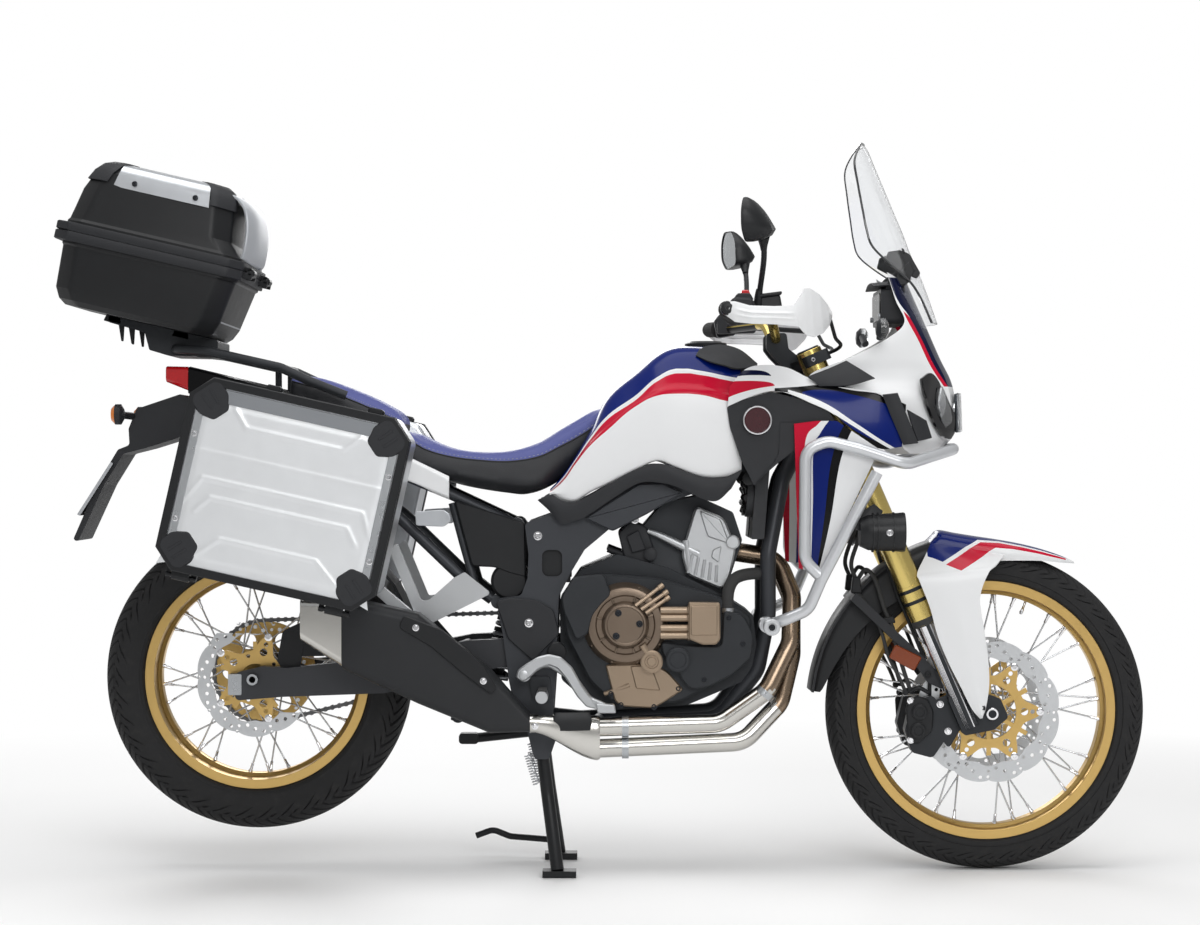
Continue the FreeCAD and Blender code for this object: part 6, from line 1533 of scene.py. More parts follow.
@dataclass
class TopBox:
    """The top case, drawn level.

    Tub and lid with chamfered upright corners, alloy rails on the lid and a bow at its front.
    """

    tilt: float = 13.0
    half: float = 205.0
    parting: float = 1086.0

    def loop(self, back: float, front: float, half: float, level: float, corner: float) -> np.ndarray:
        """A plan outline with chamfered corners at a level, in metres."""
        spots = [(back + corner, -half), (front - corner, -half), (front, corner - half),
                 (front, half - corner), (front - corner, half), (back + corner, half), (back, half - corner),
                 (back, corner - half)]
        p = np.array(rounded(spots, 8, 3))
        return np.stack([p[:, 0], p[:, 1], np.full(len(p), level)], 1) * MM

    def shell_of(self, rows: Sequence[Point], wall: float = 4.0) -> Mesh:
        """A hollow case through rows of (level, back, front, half width, corner).

        The rows run from the mouth to the closed end.
        """
        outer = [self.loop(back, front, half, level, corner) for level, back, front, half, corner in rows]
        way = np.sign(rows[-1][0] - rows[0][0])
        inner = [self.loop(back + wall, front - wall, half - wall,
                           min(level * way, (rows[-1][0] - way * wall) * way) * way, corner)
                 for level, back, front, half, corner in rows]
        return cup(outer, inner)

    def corner_cap(self, index: int) -> Mesh:
        """A cap that wraps one upper corner of the lid, 2 mm proud of it.

        Args:
            index: counts the corners from the front right.

        Returns:
            The cap, with a wall of 3 mm.
        """
        h = self.half
        rows = [(1206, -1416, -1096, h - 13, 37), (1227, -1406, -1100, h - 16, 36),
                (1244.5, -1391.5, -1110.5, h - 28.5, 34), (1252, -1376, -1124, h - 46, 30),
                (1252.5, -1352, -1148, h - 70, 22)]
        grid = []
        for level, back, front, half, corner in rows:
            loop = np.roll(self.loop(back, front, half, level, corner), -4 - 8 * index, axis=0)
            reach = (0.003, 0.022) if index % 2 == 0 else (0.022, 0.003)
            ends = [loop[k] + (loop[step] - loop[k]) / np.linalg.norm(loop[step] - loop[k]) * more
                    for (k, step), more in zip(((0, -1), (7, 8)), reach)]
            grid.append([ends[0], *loop[:8], ends[1]])
        return sheet_of(np.array(grid), 0.003)

    def build(self) -> None:
        """Build tub, lid and trims."""
        put = partial(on_case, "topbox_", self.tilt, 1)
        p, h = self.parting, self.half
        tub = [(p, -1438, -1054, h, 34), (p - 26, -1438, -1054, h, 34), (p - 30, -1436, -1058, h - 3, 36),
               (966, -1432, -1073, h - 6, 38), (944, -1422, -1082, h - 14, 38),
               (933, -1408, -1092, h - 26, 36)]
        lid = [(p + 0.4, -1438, -1054, h, 34), (p + 24, -1437, -1056, h, 34),
               (p + 30, -1434, -1066, h - 4, 36), (1140, -1430, -1088, h - 8, 38),
               (1184, -1422, -1094, h - 12, 38), (1226, -1404, -1102, h - 18, 36),
               (1243, -1390, -1112, h - 30, 34), (1250, -1376, -1124, h - 46, 30)]
        put("tub", self.shell_of(tub), BOX_BLACK, "black_plastic", stands_for=["topbox"], crease=24)
        put("lid", self.shell_of(lid), BOX_BLACK, "black_plastic", "topbox_lid", ["topbox_lid"], crease=24)
        rim = lambda low, high: ring_plan(
            self.loop(-1456, -1047, h + 5.5, 0, 30), self.loop(-1437, -1052, h - 1, 0, 32), low, high)
        put("tub_rim", rim(p - 21, p - 0.4), PLASTIC, "black_plastic")
        put("lid_rim", rim(p + 0.6, p + 19), PLASTIC, "black_plastic", "topbox_lid")
        rails, screws = [], []
        for side in (-1, 1):
            rows = ((-1354, 14.5, -1146, 12.0, 1200), (-1347, 17.5, -1151, 17.5, 1232),
                    (-1344, 28, -1154, 28, 1246), (-1342, 48, -1156, 48, 1253))
            face = [[(back, side * (h - i), level), (fore, side * (h - j), level)]
                    for back, i, fore, j, level in rows]
            grid = patch(np.array(face) * MM, 14, 24)
            rails.append(sheet_of(grid[::-1] if side > 0 else grid, -0.0025))
            for u in (-1310, -1178):
                screws.append(drum([(-1, 6), (1.6, 6), (2.2, 5), (2.2, 2.8), (1, 2.6)],
                                   (u, side * (h - 12.5), 1214), (0, side, 0.12), 16))
        put("rails", joined(rails), ALLOY, "aluminium", "topbox_lid", crease=50)
        put("rail_screws", joined(screws), DARK_BOLT, "dark_metal", "topbox_lid")
        put("lid_caps", joined(self.corner_cap(k) for k in range(4)), PLASTIC, "black_plastic", "topbox_lid",
            crease=40)
        bow = [(-1102, 1236), (-1082, 1232), (-1062, 1212), (-1050, 1176), (-1046, 1130), (-1050, 1112),
               (-1066, 1110)]
        line = spline(bow, 24)
        grid = np.stack([np.stack([line[:, 0], np.full(24, y), line[:, 1]], 1)
                         for y in np.linspace(-150, 150, 14)]) * MM
        grid[..., 0] -= 0.016 * (np.linspace(-1, 1, 14)[:, None] ** 4)
        put("bow", sheet_of(grid, 0.006), BAND_LIGHT, "aluminium", "topbox_lid", crease=50)
        front = np.array([[(-1072.6, 150 * side, 968), (-1060, 158 * side, 1054)]
                          for side in (-1, 0, 1)]) * MM
        put("front_panel", sheet_of(patch(front, 12, 8), 0.0022), BAND_LIGHT, "aluminium", crease=50)
        catch = slab([(-1452, p - 46), (-1437, p - 48), (-1437, p + 40), (-1446, p + 44), (-1452, p + 20)],
                     -42, 42, 5, 2)
        put("catch", catch, PLASTIC, "black_plastic", "topbox_lid")
        hinge, knuckle = [], []
        for y in (-130.0, 130.0):
            hinge.append(rod((-1034, y - 34, p), (-1034, y + 34, p), 4.9, 16))
            knuckle.append(drum([(0, 5.2), (40, 5.2), (40, 9), (0, 9)], (-1034, y - 20, p), (0, 1, 0), 24,
                                True))
            for end in (y - 34, y + 24):
                hinge.append(slab([(-1048, p - 14), (-1028, p - 14), (-1028, p - 1), (-1048, p - 1)], end,
                                  end + 10, 2, 0.8))
            knuckle.append(slab([(-1050, p + 3), (-1034, p + 3), (-1034, p + 11), (-1050, p + 11)], y - 20,
                                y + 20, 2, 0.8))
        put("hinge", joined(hinge), SATIN_BLACK, "dark_metal")
        put("hinge_sleeves", joined(knuckle), SATIN_BLACK, "dark_metal", "topbox_lid")
        feet = [slab([(u, 918), (u + 40, 918), (u + 36, 934), (u + 4, 934)], -90, 90, 3, 1.5)
                for u in (-1330, -1180)]
        put("feet", joined(feet), SATIN_BLACK, "black_plastic")
        hooks = [slab([(x - 8, z + 56), (x + 8, z + 52), (x + 5, z), (x + 1, z)], -66, -57, 2, 1)
                 for x, z in ((-1056, 1150), (-1033, 1143))]
        piece("topbox_hooks", mirrored(joined(hooks)), SATIN_BLACK, "black_plastic")


def ring_plan(outer: np.ndarray, inner: np.ndarray, low: float, high: float) -> Mesh:
    """A flat frame between two plan outlines of equal count in metres; its levels are in millimetres."""
    drawn = outer + (inner - outer) * 0.16
    rings = []
    for shape, level in ((drawn, low), (outer, low + 2), (outer, high - 2), (drawn, high), (inner, high),
                         (inner, low)):
        spots = shape.copy()
        spots[:, 2] = level * MM
        rings.append(spots)
    return skin(np.array(rings), close_u=True, close_v=True)


# ------------------------------------------------------------------ front end and controls
@dataclass
class FrontEnd:
    """Fork, mudguard with its leg guards, calipers and axle end, all turning with the fork."""

    axle: Point = (824.5, 347.7)
    rake: float = 23.5
    leg: float = 105.0
    offset: float = 50.0
    fender_radius: float = 386.0
    fender_arc: Point = (107.0, 173.5)

    def on_leg(self, rise: float, y: float) -> Point:
        """A point on a fork leg: rise runs up the leg from the axle's height."""
        a = math.radians(self.rake)
        return (self.axle[0] - self.offset * math.cos(a) - rise * math.sin(a), y,
                self.axle[1] - self.offset * math.sin(a) + rise * math.cos(a))

    def paint(self) -> Finish:
        """White, with a blue crown over a white line and a red slash that runs out to the tip."""
        at = partial(edge_by_x, sharp=True)
        return painted(
            "guard_paint",
            Band(RED, at((728, 667), (758, 655), (842, 702), (880, 699), (930, 690), (1000, 674)),
                 at((728, 668), (810, 714), (850, 712), (900, 703), (945, 692.5), (1000, 677.5))),
            Band(BLUE, at((690, 684), (701, 681), (721, 673), (804, 719), (850, 715.5), (900, 706),
                          (945, 695), (985, 683), (1008, 676)),
                 at((690, 760), (701, 760), (721, 760), (804, 760), (850, 760), (900, 760), (945, 760),
                    (985, 760), (1008, 677))))

    def fender(self) -> np.ndarray:
        """The fender behind the fork.

        Radius = fender_radius less a skirt that grows from 10 at the lower tip to 66 at the top. Each
        section runs from one skirt's edge over the crown to the other; the angle runs along the tyre.
        """

        turn, share = np.meshgrid(np.radians(np.linspace(*self.fender_arc, 60)), np.linspace(-1, 1, 33),
                                  indexing="ij")
        skirt = 10 + 56 * np.clip((np.radians(self.fender_arc[1]) - turn) / 0.75, 0, 1) ** 0.7
        reach = np.abs(share)
        fall = np.clip((reach - 0.55) / 0.45, 0, 1)
        radius = self.fender_radius - 10 * np.clip(reach / 0.55, 0, 1) ** 4 - skirt * fall ** 1.2
        side = np.sign(share) * np.interp(reach, [0, 0.5, 0.62, 1], [0, 52, 57, 59.5])
        x, z = self.axle
        return np.stack([x + radius * np.cos(turn), side, z + radius * np.sin(turn)], -1) * MM

    def crown(self) -> np.ndarray:
        """The arch over the tyre.

        Stations are (x, top, side, half width), each a quarter-round from its side to its top.
        """
        rows = [(700, 716, 700, 57), (712, 729, 694, 58), (724, 739, 688, 58), (760, 733, 679, 58),
                (800, 726.5, 675, 58), (850, 719, 674, 57), (900, 710, 674, 54), (945, 699, 673, 47),
                (985, 686, 669, 34), (1010, 675.5, 667, 17), (1022, 669, 666, 4)]
        net = [[(x, -half, side), (x, -half - 1, side + (top - side) * 0.4),
                (x, -half * 0.9, side + (top - side) * 0.78), (x, -half * 0.55, top - (top - side) * 0.05),
                (x, 0, top)] for x, top, side, half in rows]
        return patch(np.array(net, float), 60, 24) * MM

    def build(self) -> None:
        """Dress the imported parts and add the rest."""
        put = partial(piece, body="steering")
        rear = [(701, -58, 712), (684, -92, 684), (664, -124, 650), (668, -134, 632), (690, -138, 575),
                (706, -139, 516), (728, -139, 461), (753, -139, 411), (778, -138, 361), (797, -138, 338)]
        front = [(862, -57, 688), (852, -84, 682), (836, -112, 668), (816, -130, 650), (797, -136, 596),
                 (806, -139, 524), (814, -139, 466), (816, -139, 411), (810, -138, 366), (803, -138, 343)]
        blade = web(rear, front, 3, 90, 18)
        share = np.linspace(0, 1, 18)
        ridge = np.clip(1 - np.abs(share - 0.55) / 0.45, 0, 1)[None]
        blade[..., 1] -= 0.004 * ridge * np.clip((0.62 - blade[..., 2]) / 0.1, 0, 1)
        shell("guard_blade", blade, PANEL, self.paint(), "white", "steering")
        shell("guard_crown", self.crown(), PANEL, self.paint(), "white", "steering")
        bosses = mirrored(drum([(0, 9), (17, 9)], (784, -120, 374)))
        put("guard_bosses", bosses, PLASTIC, "black_plastic")
        put("guard_bolts", mirrored(bolts([(784, -140, 405), (800, -140, 362)], 5.6, 3)), SATIN_BLACK,
            "dark_metal")
        polished("front_mudguard", PLASTIC, "black_plastic", keep=lambda c: c[:, 0] < 0.7)
        shell("rear_fender", self.fender(), PANEL, SATIN_BLACK, "black_plastic", "steering", twin=False)
        put("side_reflectors",
            mirrored(slab([(605, 467), (620, 495), (677, 467), (660, 437)], -101, -94.5, 5, 2)), SIDE_AMBER,
            "amber")
        put("reflector_bolts", mirrored(bolts([(690, -94.5, 430)], 6, 4)), SATIN_BLACK, "dark_metal")
        polished("fork_tubes", GOLD_TUBE, "gold")
        polished("fork_sliders", CHROME, "chrome", [Zone(CAST_DARK, lambda c: c[:, 2] < 0.43)], bevel=0.002)
        polished("fork_yokes", CAST_DARK, "dark_metal", bevel=0.002)
        polished("front_calipers", CAST_DARK, "dark_metal", bevel=0.003)
        collars, grooves, seals = [], [], []
        a = math.radians(self.rake)
        up = (-math.sin(a), 0, math.cos(a))
        for y in (-self.leg, self.leg):
            collars += [drum([(low, 28.2), (low, 29.6), (high, 29.6), (high, 28.2)], self.on_leg(0, y), up,
                             48, True) for low, high in ((246, 282), (290, 308), (316, 322))]
            grooves += [drum([(low, 28.1), (low, 28.7), (high, 28.7), (high, 28.1)], self.on_leg(0, y), up,
                             48, True) for low, high in ((282, 290), (308, 316))]
            seals.append(drum([(230, 23), (230, 26.5), (236, 29.4), (246, 29.4), (246, 23)],
                              self.on_leg(0, y), up, 48, True))
        put("fork_collars", joined(collars), GOLD_TUBE, "gold", crease=25)
        put("fork_grooves", joined(grooves), DARK_BOLT, "dark_metal", crease=25)
        put("fork_seals", joined(seals), RUBBER, "rubber", crease=30)
        x, z = self.axle
        end = mirrored(drum([(-2, 13), (4.5, 13), (5.5, 12), (5.5, 8.8), (-2, 8.8)], (x, -125, z), sides=40,
                            closed=True))
        put("axle_ends", end, CHROME, "chrome", crease=30)
        put("axle_sockets", mirrored(drum([(0, 9.2), (3, 9.2), (3, 0.2)], (x, -126, z), sides=6)), DARK_BOLT,
            "dark_metal", crease=20)
        body = [slab([(664, 386), (689, 378), (702, 350), (699, 309), (669, 281), (646, 285), (641, 363)],
                     -108, -99.5, 8, 3),
                *(drum([(0, 17), (6, 17), (8, 14), (8, 10), (6.5, 9), (6.5, 0.5)], (x, -107, z))
                  for x, z in ((671, 350), (668, 310))),
                hose([(690, -102, 392), (668, -106, 402), (650, -100, 392)], 4.5)]
        put("caliper_covers", mirrored(joined(body)), SATIN_BLACK, "dark_metal", crease=30)
        put("caliper_bolts",
            mirrored(bolts([(716, -101, 366), (733, -101, 308), (652, -107, 374), (652, -107, 290)], 5.4)),
            CHROME, "chrome")
        lines = [hose([(541, -72, 634), (558, -74, 655), (578, -76, 634), (598, -78, 570), (615, -82, 531),
                       (623, -86, 491), (638, -90, 440), (652, -96, 396)], 4.6),
                 hose([(541, -72, 606), (552, -74, 590), (575, -76, 560), (592, -78, 520), (606, -84, 470),
                       (628, -90, 425), (642, -96, 392)], 4.0),
                 hose([(537, -71, 634), (527, -72, 668), (541, -74, 716), (559, -73, 770), (556, -72, 830),
                       (540, -72, 880), (528, -72, 905)], 4.6)]
        clips = [slab([(526, 604), (530, 640), (546, 640), (550, 604)], -78, -58, 4, 2),
                 slab([(590, 536), (592, 550), (618, 556), (622, 540)], -86, -58, 3, 2),
                 drum([(0, 7.5), (4, 7.5), (4, 5), (12, 5), (12, 0.5)], (652, -92, 396)),
                 drum([(0, 7), (4, 7), (4, 5), (9, 5), (9, 0.5)], (642, -92, 392))]
        put("brake_lines", mirrored(joined(lines)), RUBBER, "rubber", crease=50)
        put("brake_line_clips", mirrored(joined(clips)), SATIN_BLACK, "black_plastic", crease=30)
        pinch = [self.on_leg(rise, -self.leg - 30) for rise in (628, 652, 850)]
        put("yoke_bolts", mirrored(bolts(pinch, 5.0, 5.0)), CHROME, "chrome")
        caps = [drum([(0, 25), (5, 25), (7, 23), (7, 12), (4, 11), (4, 0.5)], self.on_leg(869, y), up, 32)
                for y in (-self.leg, self.leg)]
        put("fork_caps", joined(caps), DARK_BOLT, "dark_metal", crease=30)


@dataclass
class Cockpit:
    """Bar, grips, handguards and mirrors that turn with the fork; dials and the screen on the fairing."""

    mirror: tuple[Point, ...] = ((338, 1346), (342, 1398), (366, 1427), (420, 1429), (438, 1402), (436, 1362),
                                 (404, 1336))
    glass: tuple[Point, ...] = (
        (561, 1581.0, 44), (570, 1568, 78), (584, 1535, 110), (604, 1487, 124), (630, 1425, 138),
        (647, 1385, 146), (660, 1350, 147), (675, 1315, 128), (690, 1280, 96), (703, 1245, 78),
        (722, 1190, 66))
    bow: float = 0.0044

    def guard(self) -> np.ndarray:
        """A handguard's wall between its lower and upper edges, with two ridges that fade before the flare.

        The wall stands out by 3 (1 - |s - c| / 0.1) near each ridge, with s the share of the height and c
        the ridge's place.
        """
        low = [(236, -446, 1186), (256, -454, 1171), (290, -462, 1167), (340, -457, 1166), (386, -442, 1162),
               (403, -425, 1146), (421, -406, 1143), (441, -374, 1152), (458, -336, 1171), (466, -296, 1188)]
        top = [(236, -446, 1213), (256, -454, 1213), (286, -461, 1204), (335, -457, 1203), (374, -448, 1205),
               (398, -430, 1240), (412, -416, 1241), (432, -390, 1231), (453, -346, 1212), (466, -296, 1199)]
        grid = web(low, top, 5, 84, 24, smooth=False)
        along, share = np.linspace(0, 1, 84)[:, None], np.linspace(0, 1, 24)[None]
        fade = np.clip((along - 0.1) / 0.06, 0, 1) * np.clip((0.46 - along) / 0.06, 0, 1)
        for place in (0.34, 0.62):
            grid[..., 1] -= 0.003 * fade * np.clip(1 - np.abs(share - place) / 0.1, 0, 1)
        return grid

    def mirror_parts(self, side: float) -> tuple[Mesh, Mesh]:
        """A mirror's bowl and glass: rings of the outline, drawn in by a share and pushed forward."""
        spots = np.array(rounded(self.mirror, 14, 5))
        middle = spots.mean(0)

        def ring_at(share: float, depth: float) -> np.ndarray:
            """The outline drawn in by a share, at a depth."""
            p = middle + (spots - middle) * share
            swell = 1.36 - 0.9 * np.clip((p[:, 1] - 1366) / 60, 0, 1) if depth > 0 else 1.0
            return np.stack([301 - 0.3 * (p[:, 0] - 340) + depth * swell, side * p[:, 0], p[:, 1]], 1) * MM

        bowl = [ring_at(s, d)
                for s, d in ((0.93, 0.5), (0.94, -3), (0.985, -3.5), (1.0, -1), (0.99, 8), (0.92, 20),
                             (0.76, 31), (0.5, 38), (0.15, 41))]
        glass = [ring_at(s, d) for s, d in ((0.935, 1.5), (0.935, -1.0), (0.5, -1.2), (0.02, -1.2))]
        return skin(np.array(bowl), close_v=True, caps=True), skin(np.array(glass), close_v=True, caps=True)

    def screen(self) -> None:
        """The clear screen: x = x0 - bow y^2 across each height, with its edge bound."""
        net = [[(x - self.bow * y * y, y, z) for y in np.linspace(-half, half, 7)]
               for x, z, half in self.glass]
        grid = patch(np.array(net, float), 60, 40) * MM
        piece("screen", sheet_of(grid, 0.0035), CLEAR, "clear", stands_for=["windscreen"], crease=60)
        rim = np.concatenate([grid[:, 0][::-1], grid[0], grid[1:, -1]])
        piece("screen_edge", pipe(rim[::2], 0.0022, 8, len(rim), True), SMOKE_LENS, "black_plastic")
        holds = [drum([(0, 8), (3, 8), (4.5, 6), (4.5, 0.5)], (x - self.bow * y * y + 1, y, z),
                      (0.96, 0, 0.28), 20) for x, z in ((663, 1342), (681, 1300)) for y in (-78, 78)]
        piece("screen_bolts", joined(holds), SATIN_BLACK, "dark_metal")
        arms = [slab([(598, 1318), (604, 1342), (632, 1346), (652, 1338), (676, 1296), (668, 1284),
                      (640, 1296)], -84, -76, 4, 1.5),
                slab([(612, 1262), (626, 1300), (650, 1322), (662, 1300), (644, 1270)], -92, -86, 5, 1.5)]
        piece("screen_arms", mirrored(joined(arms)), SATIN_BLACK, "black_plastic")

    def build(self) -> None:
        """Build everything the rider holds or sees."""
        put = partial(piece, body="steering")
        shell("handguard_walls", self.guard(), TRIM, WHITE_PAINT, "white", "steering", ["handguards"],
              crease=26)
        arm = [hose([(334, -238, 1194), (396, -272, 1192), (456, -304, 1190)], 6.0, 12, False),
               drum([(0, 14), (24, 14), (26, 12.5), (26, 0.5)], (241, -426, 1199)),
               drum([(0, 11), (3, 11), (4, 9), (4, 4.5), (2, 4), (2, 0.5)], (241, -452, 1199))]
        put("handguard_arms", mirrored(joined(arm)), SATIN_BLACK, "black_plastic", crease=30)
        polished("handlebar", GOLD_TUBE, "gold", [Zone(SATIN_BLACK, lambda c: np.abs(c[:, 1]) > 0.17), Zone(
            CAST_DARK, lambda c: (c[:, 0] > 0.343) & (np.abs(np.abs(c[:, 1]) - 0.05) < 0.0125))])
        polished("grips_and_levers", RUBBER, "rubber",
                 [Zone(CAST_SILVER, lambda c: (c[:, 0] > 0.288) & (np.abs(c[:, 1]) > 0.25)),
                  Zone(PLASTIC, lambda c: np.abs(c[:, 1]) < 0.2975)])
        ends = np.array([259, -306, 1194.5]), np.array([240, -424, 1198.7])
        way = (ends[1] - ends[0]) / np.linalg.norm(ends[1] - ends[0])
        ribs = [drum([(0, 16.4), (1, 17.6), (3, 17.6), (4, 16.4)], ends[0] + way * k, way, 24, True)
                for k in range(8, 112, 6)]
        ribs.append(drum([(0, 16.4), (0.5, 21), (4, 21), (4.5, 16.4)], ends[0], way, 32, True))
        put("grip_ribs", mirrored(joined(ribs)), RUBBER, "rubber", crease=40)
        boxes = [
            slab([(246, 1214), (262, 1232), (300, 1230), (308, 1212), (300, 1184), (254, 1180)], -296, -254,
                 8, 5), slab([(262, 1230), (270, 1240), (296, 1240), (304, 1226)], -290, -262, 4, 2)]
        put("switch_boxes", mirrored(joined(boxes)), PLASTIC, "black_plastic", crease=30)
        # the stop switch wears the lamp lens finish: its red is its own colour, its faint glow is a painted
        # glow, as it is no lamp
        put("stop_switch", slab([(276, 1236), (279, 1247), (293, 1247), (298, 1236)], -284, -270, 3, 2),
            RED_LENS, "red")
        buttons = [drum([(0, 5), (3, 5), (4, 4), (4, 0.3)], (250, side * y, z), (-1, 0, 0), 16)
                   for side in (-1, 1) for y, z in ((264, 1200), (284, 1206))]
        put("switch_buttons", joined(buttons), BAND_GREY, "black_plastic")
        tank = [slab([(318, 1204), (318, 1234), (360, 1240), (366, 1206)], -262, -222, 7, 4),
                slab([(316, 1233), (316, 1240), (364, 1246), (364, 1239)], -264, -220, 5, 2)]
        put("fluid_reservoirs", mirrored(joined(tank)), SATIN_BLACK, "black_plastic", crease=30)
        bowls, panes = zip(*(self.mirror_parts(side) for side in (-1.0, 1.0)))
        stems = [joined([
            hose([(314, s * 246, 1203), (318, s * 262, 1250), (322, s * 330, 1310), (318, s * 368, 1362)],
                 6.0, 16), drum([(0, 11), (20, 10), (38, 8), (46, 6.4)], (314, s * 246, 1206),
                                (0.05, s * 0.3, 0.95), 24),
            drum([(0, 6.6), (10, 8), (26, 12), (34, 14)], (321, s * 341, 1326), (-0.06, s * 0.59, 0.8), 24)])
                 for s in (-1, 1)]
        put("mirror_bowls", joined(bowls), SATIN_BLACK, "black_plastic", stands_for=["mirrors"], crease=40)
        put("mirror_stems", joined(stems), SATIN_BLACK, "black_plastic", crease=40)
        put("mirror_panes", joined(panes), MIRROR_GLASS, "glass", crease=40)
        polished("instrument_panel", PLASTIC, "black_plastic", bevel=0.002)
        face = rounded([(-76, 1196), (-76, 1254), (76, 1254), (76, 1196)], 8, 4)
        piece("dial_glass", plate(np.array(face) * MM, 0.5875, 0.5905, 0.0008, "yz"), GLOSS_BLACK, "glass")
        hood = web([(574, -84, 1266), (574, -40, 1275), (574, 40, 1275), (574, 84, 1266)],
                   [(640, -94, 1271), (640, -40, 1280), (640, 40, 1280), (640, 94, 1271)], 0, 24, 8)
        piece("dial_hood", sheet_of(hood, 0.003), PLASTIC, "black_plastic")
        keys = [drum([(0, 6), (3, 6), (4, 5), (4, 0.3)], (588, y, 1203.5), (-1, 0, 0), 16) for y in (-84, 84)]
        piece("dial_keys", joined(keys), BAND_GREY, "black_plastic")
        self.screen()


# ------------------------------------------------------------------ seats and tail
@dataclass
class Seat:
    """A cushion blown up by a cloth run.

    Its stations are (x, lowest, seam, top, half width below, half width at the seam).
    """

    name: str
    node: str
    stations: tuple[tuple[float, ...], ...]
    fill: float = 0.9
    swell: float = 6.0
    pitch: float = 0.007
    pressure: float = 4.0
    frames: int = 20

    def core(self) -> Mesh:
        """The start shape: rounded sections through the stations, 4 mm inside the finished cushion."""
        net = []
        for x, low, seam, top, wide, shoulder in self.stations:
            half = [(0, low), (wide * 0.7, low), (wide, low + 10), (wide + 1, (low + seam) / 2),
                    (shoulder, seam), (shoulder * 0.86, top - (top - seam) * 0.22), (shoulder * 0.5, top - 2),
                    (0, top - 3)]
            net.append([(x, -y, z) for y, z in half] + [(x, y, z) for y, z in half[-2:0:-1]])
        grid = patch(np.array(net, float), 48, 64, closed=True)
        middle = grid.mean(1, keepdims=True)
        away = grid - middle
        grid = middle + away * (1 - 4.0 / np.maximum(np.linalg.norm(away, axis=2, keepdims=True), 20))
        return skin(grid * MM, close_v=True, caps=True)

    def blown(self, made: bpy.types.Object) -> None:
        """Remesh evenly, let pressure swell the skin, and hold every point within the swell."""
        scene = bpy.context.scene
        even = made.modifiers.new("even", "REMESH")
        even.mode, even.voxel_size = "VOXEL", self.pitch
        self.settle_mesh(made)
        start = np.zeros(len(made.data.vertices) * 3)
        made.data.vertices.foreach_get("co", start)
        cloth = made.modifiers.new("cloth", "CLOTH")
        cloth.settings.use_pressure, cloth.settings.uniform_pressure_force = True, self.pressure
        cloth.settings.effector_weights.gravity = 0.0
        cloth.settings.quality = 5
        for number in range(1, self.frames + 1):
            scene.frame_set(number)
        self.settle_mesh(made)
        scene.frame_set(1)
        ended = np.zeros(len(made.data.vertices) * 3)
        made.data.vertices.foreach_get("co", ended)
        move = (ended - start).reshape(-1, 3)
        reach = np.linalg.norm(move, axis=1, keepdims=True)
        held = start.reshape(-1, 3) + move * np.minimum(1, self.swell * MM / np.maximum(reach, 1e-9))
        made.data.vertices.foreach_set("co", held.ravel())
        soft = made.modifiers.new("soft", "SMOOTH")
        soft.factor, soft.iterations = 0.5, 6
        self.settle_mesh(made)

    def settle_mesh(self, made: bpy.types.Object) -> None:
        """Make the mesh what its modifiers show, and drop them."""
        shown = bpy.data.meshes.new_from_object(made.evaluated_get(bpy.context.evaluated_depsgraph_get()))
        made.modifiers.clear()
        made.data = shown

    def finish(self) -> Finish:
        """Dark grained sides under a blue-grey top panel that begins at the seam."""
        line = Edge(tuple(sorted((x * MM, seam * MM) for x, _, seam, _, _, _ in self.stations)))
        over = Edge(tuple(sorted((x * MM, seam * MM + 0.4) for x, _, seam, _, _, _ in self.stations)))
        return Finish(self.name + "_cover", "222326", rough=0.5, grain=Grain.PEBBLED, relief=0.4, scale=700,
                      drift=0.05, bands=(Band("4A5088", line, over),))

    def build(self) -> None:
        """Blow, dress and seam the cushion."""
        made = linked(self.name, data_of(self.name, self.core()))
        self.blown(made)
        settle(made, self.finish(), "seat", stands_for=[self.node], crease=70, level=1)
        self.seams(made)

    def seams(self, made: bpy.types.Object) -> None:
        """A welt and a row of stitches on each side, where side-on rays meet the cushion at the seam."""
        tree = BVHTree.FromPolygons([v.co for v in made.data.vertices],
                                    [p.vertices for p in made.data.polygons])
        rows = sorted((x, seam) for x, _, seam, _, _, _ in self.stations)
        places = np.linspace(rows[0][0] + 6, rows[-1][0] - 6, 70)
        heights = spline(rows, 200)
        welts, stitches = [], []
        for side in (-1.0, 1.0):
            for offset, kind in ((0.0, welts), (5.0, stitches)):
                line = []
                for x in places:
                    z = np.interp(x, heights[:, 0], heights[:, 1]) + offset
                    hit = tree.ray_cast((x * MM, side * 0.3, z * MM), (0, -side, 0))[0]
                    if hit is not None:
                        line.append((hit[0] / MM, hit[1] / MM, hit[2] / MM))
                if len(line) < 8:
                    continue
                if kind is welts:
                    kind.append(hose(spline(line, 40), 1.7, 8, False))
                else:
                    fine = spline(line, 240)
                    kind += [hose(fine[k:k + 3], 0.8, 6, False) for k in range(0, 236, 5)]
        piece(self.name + "_welts", joined(welts), SEAT_SIDE, "seat")
        piece(self.name + "_stitches", joined(stitches), BAND_GREY, "seat")


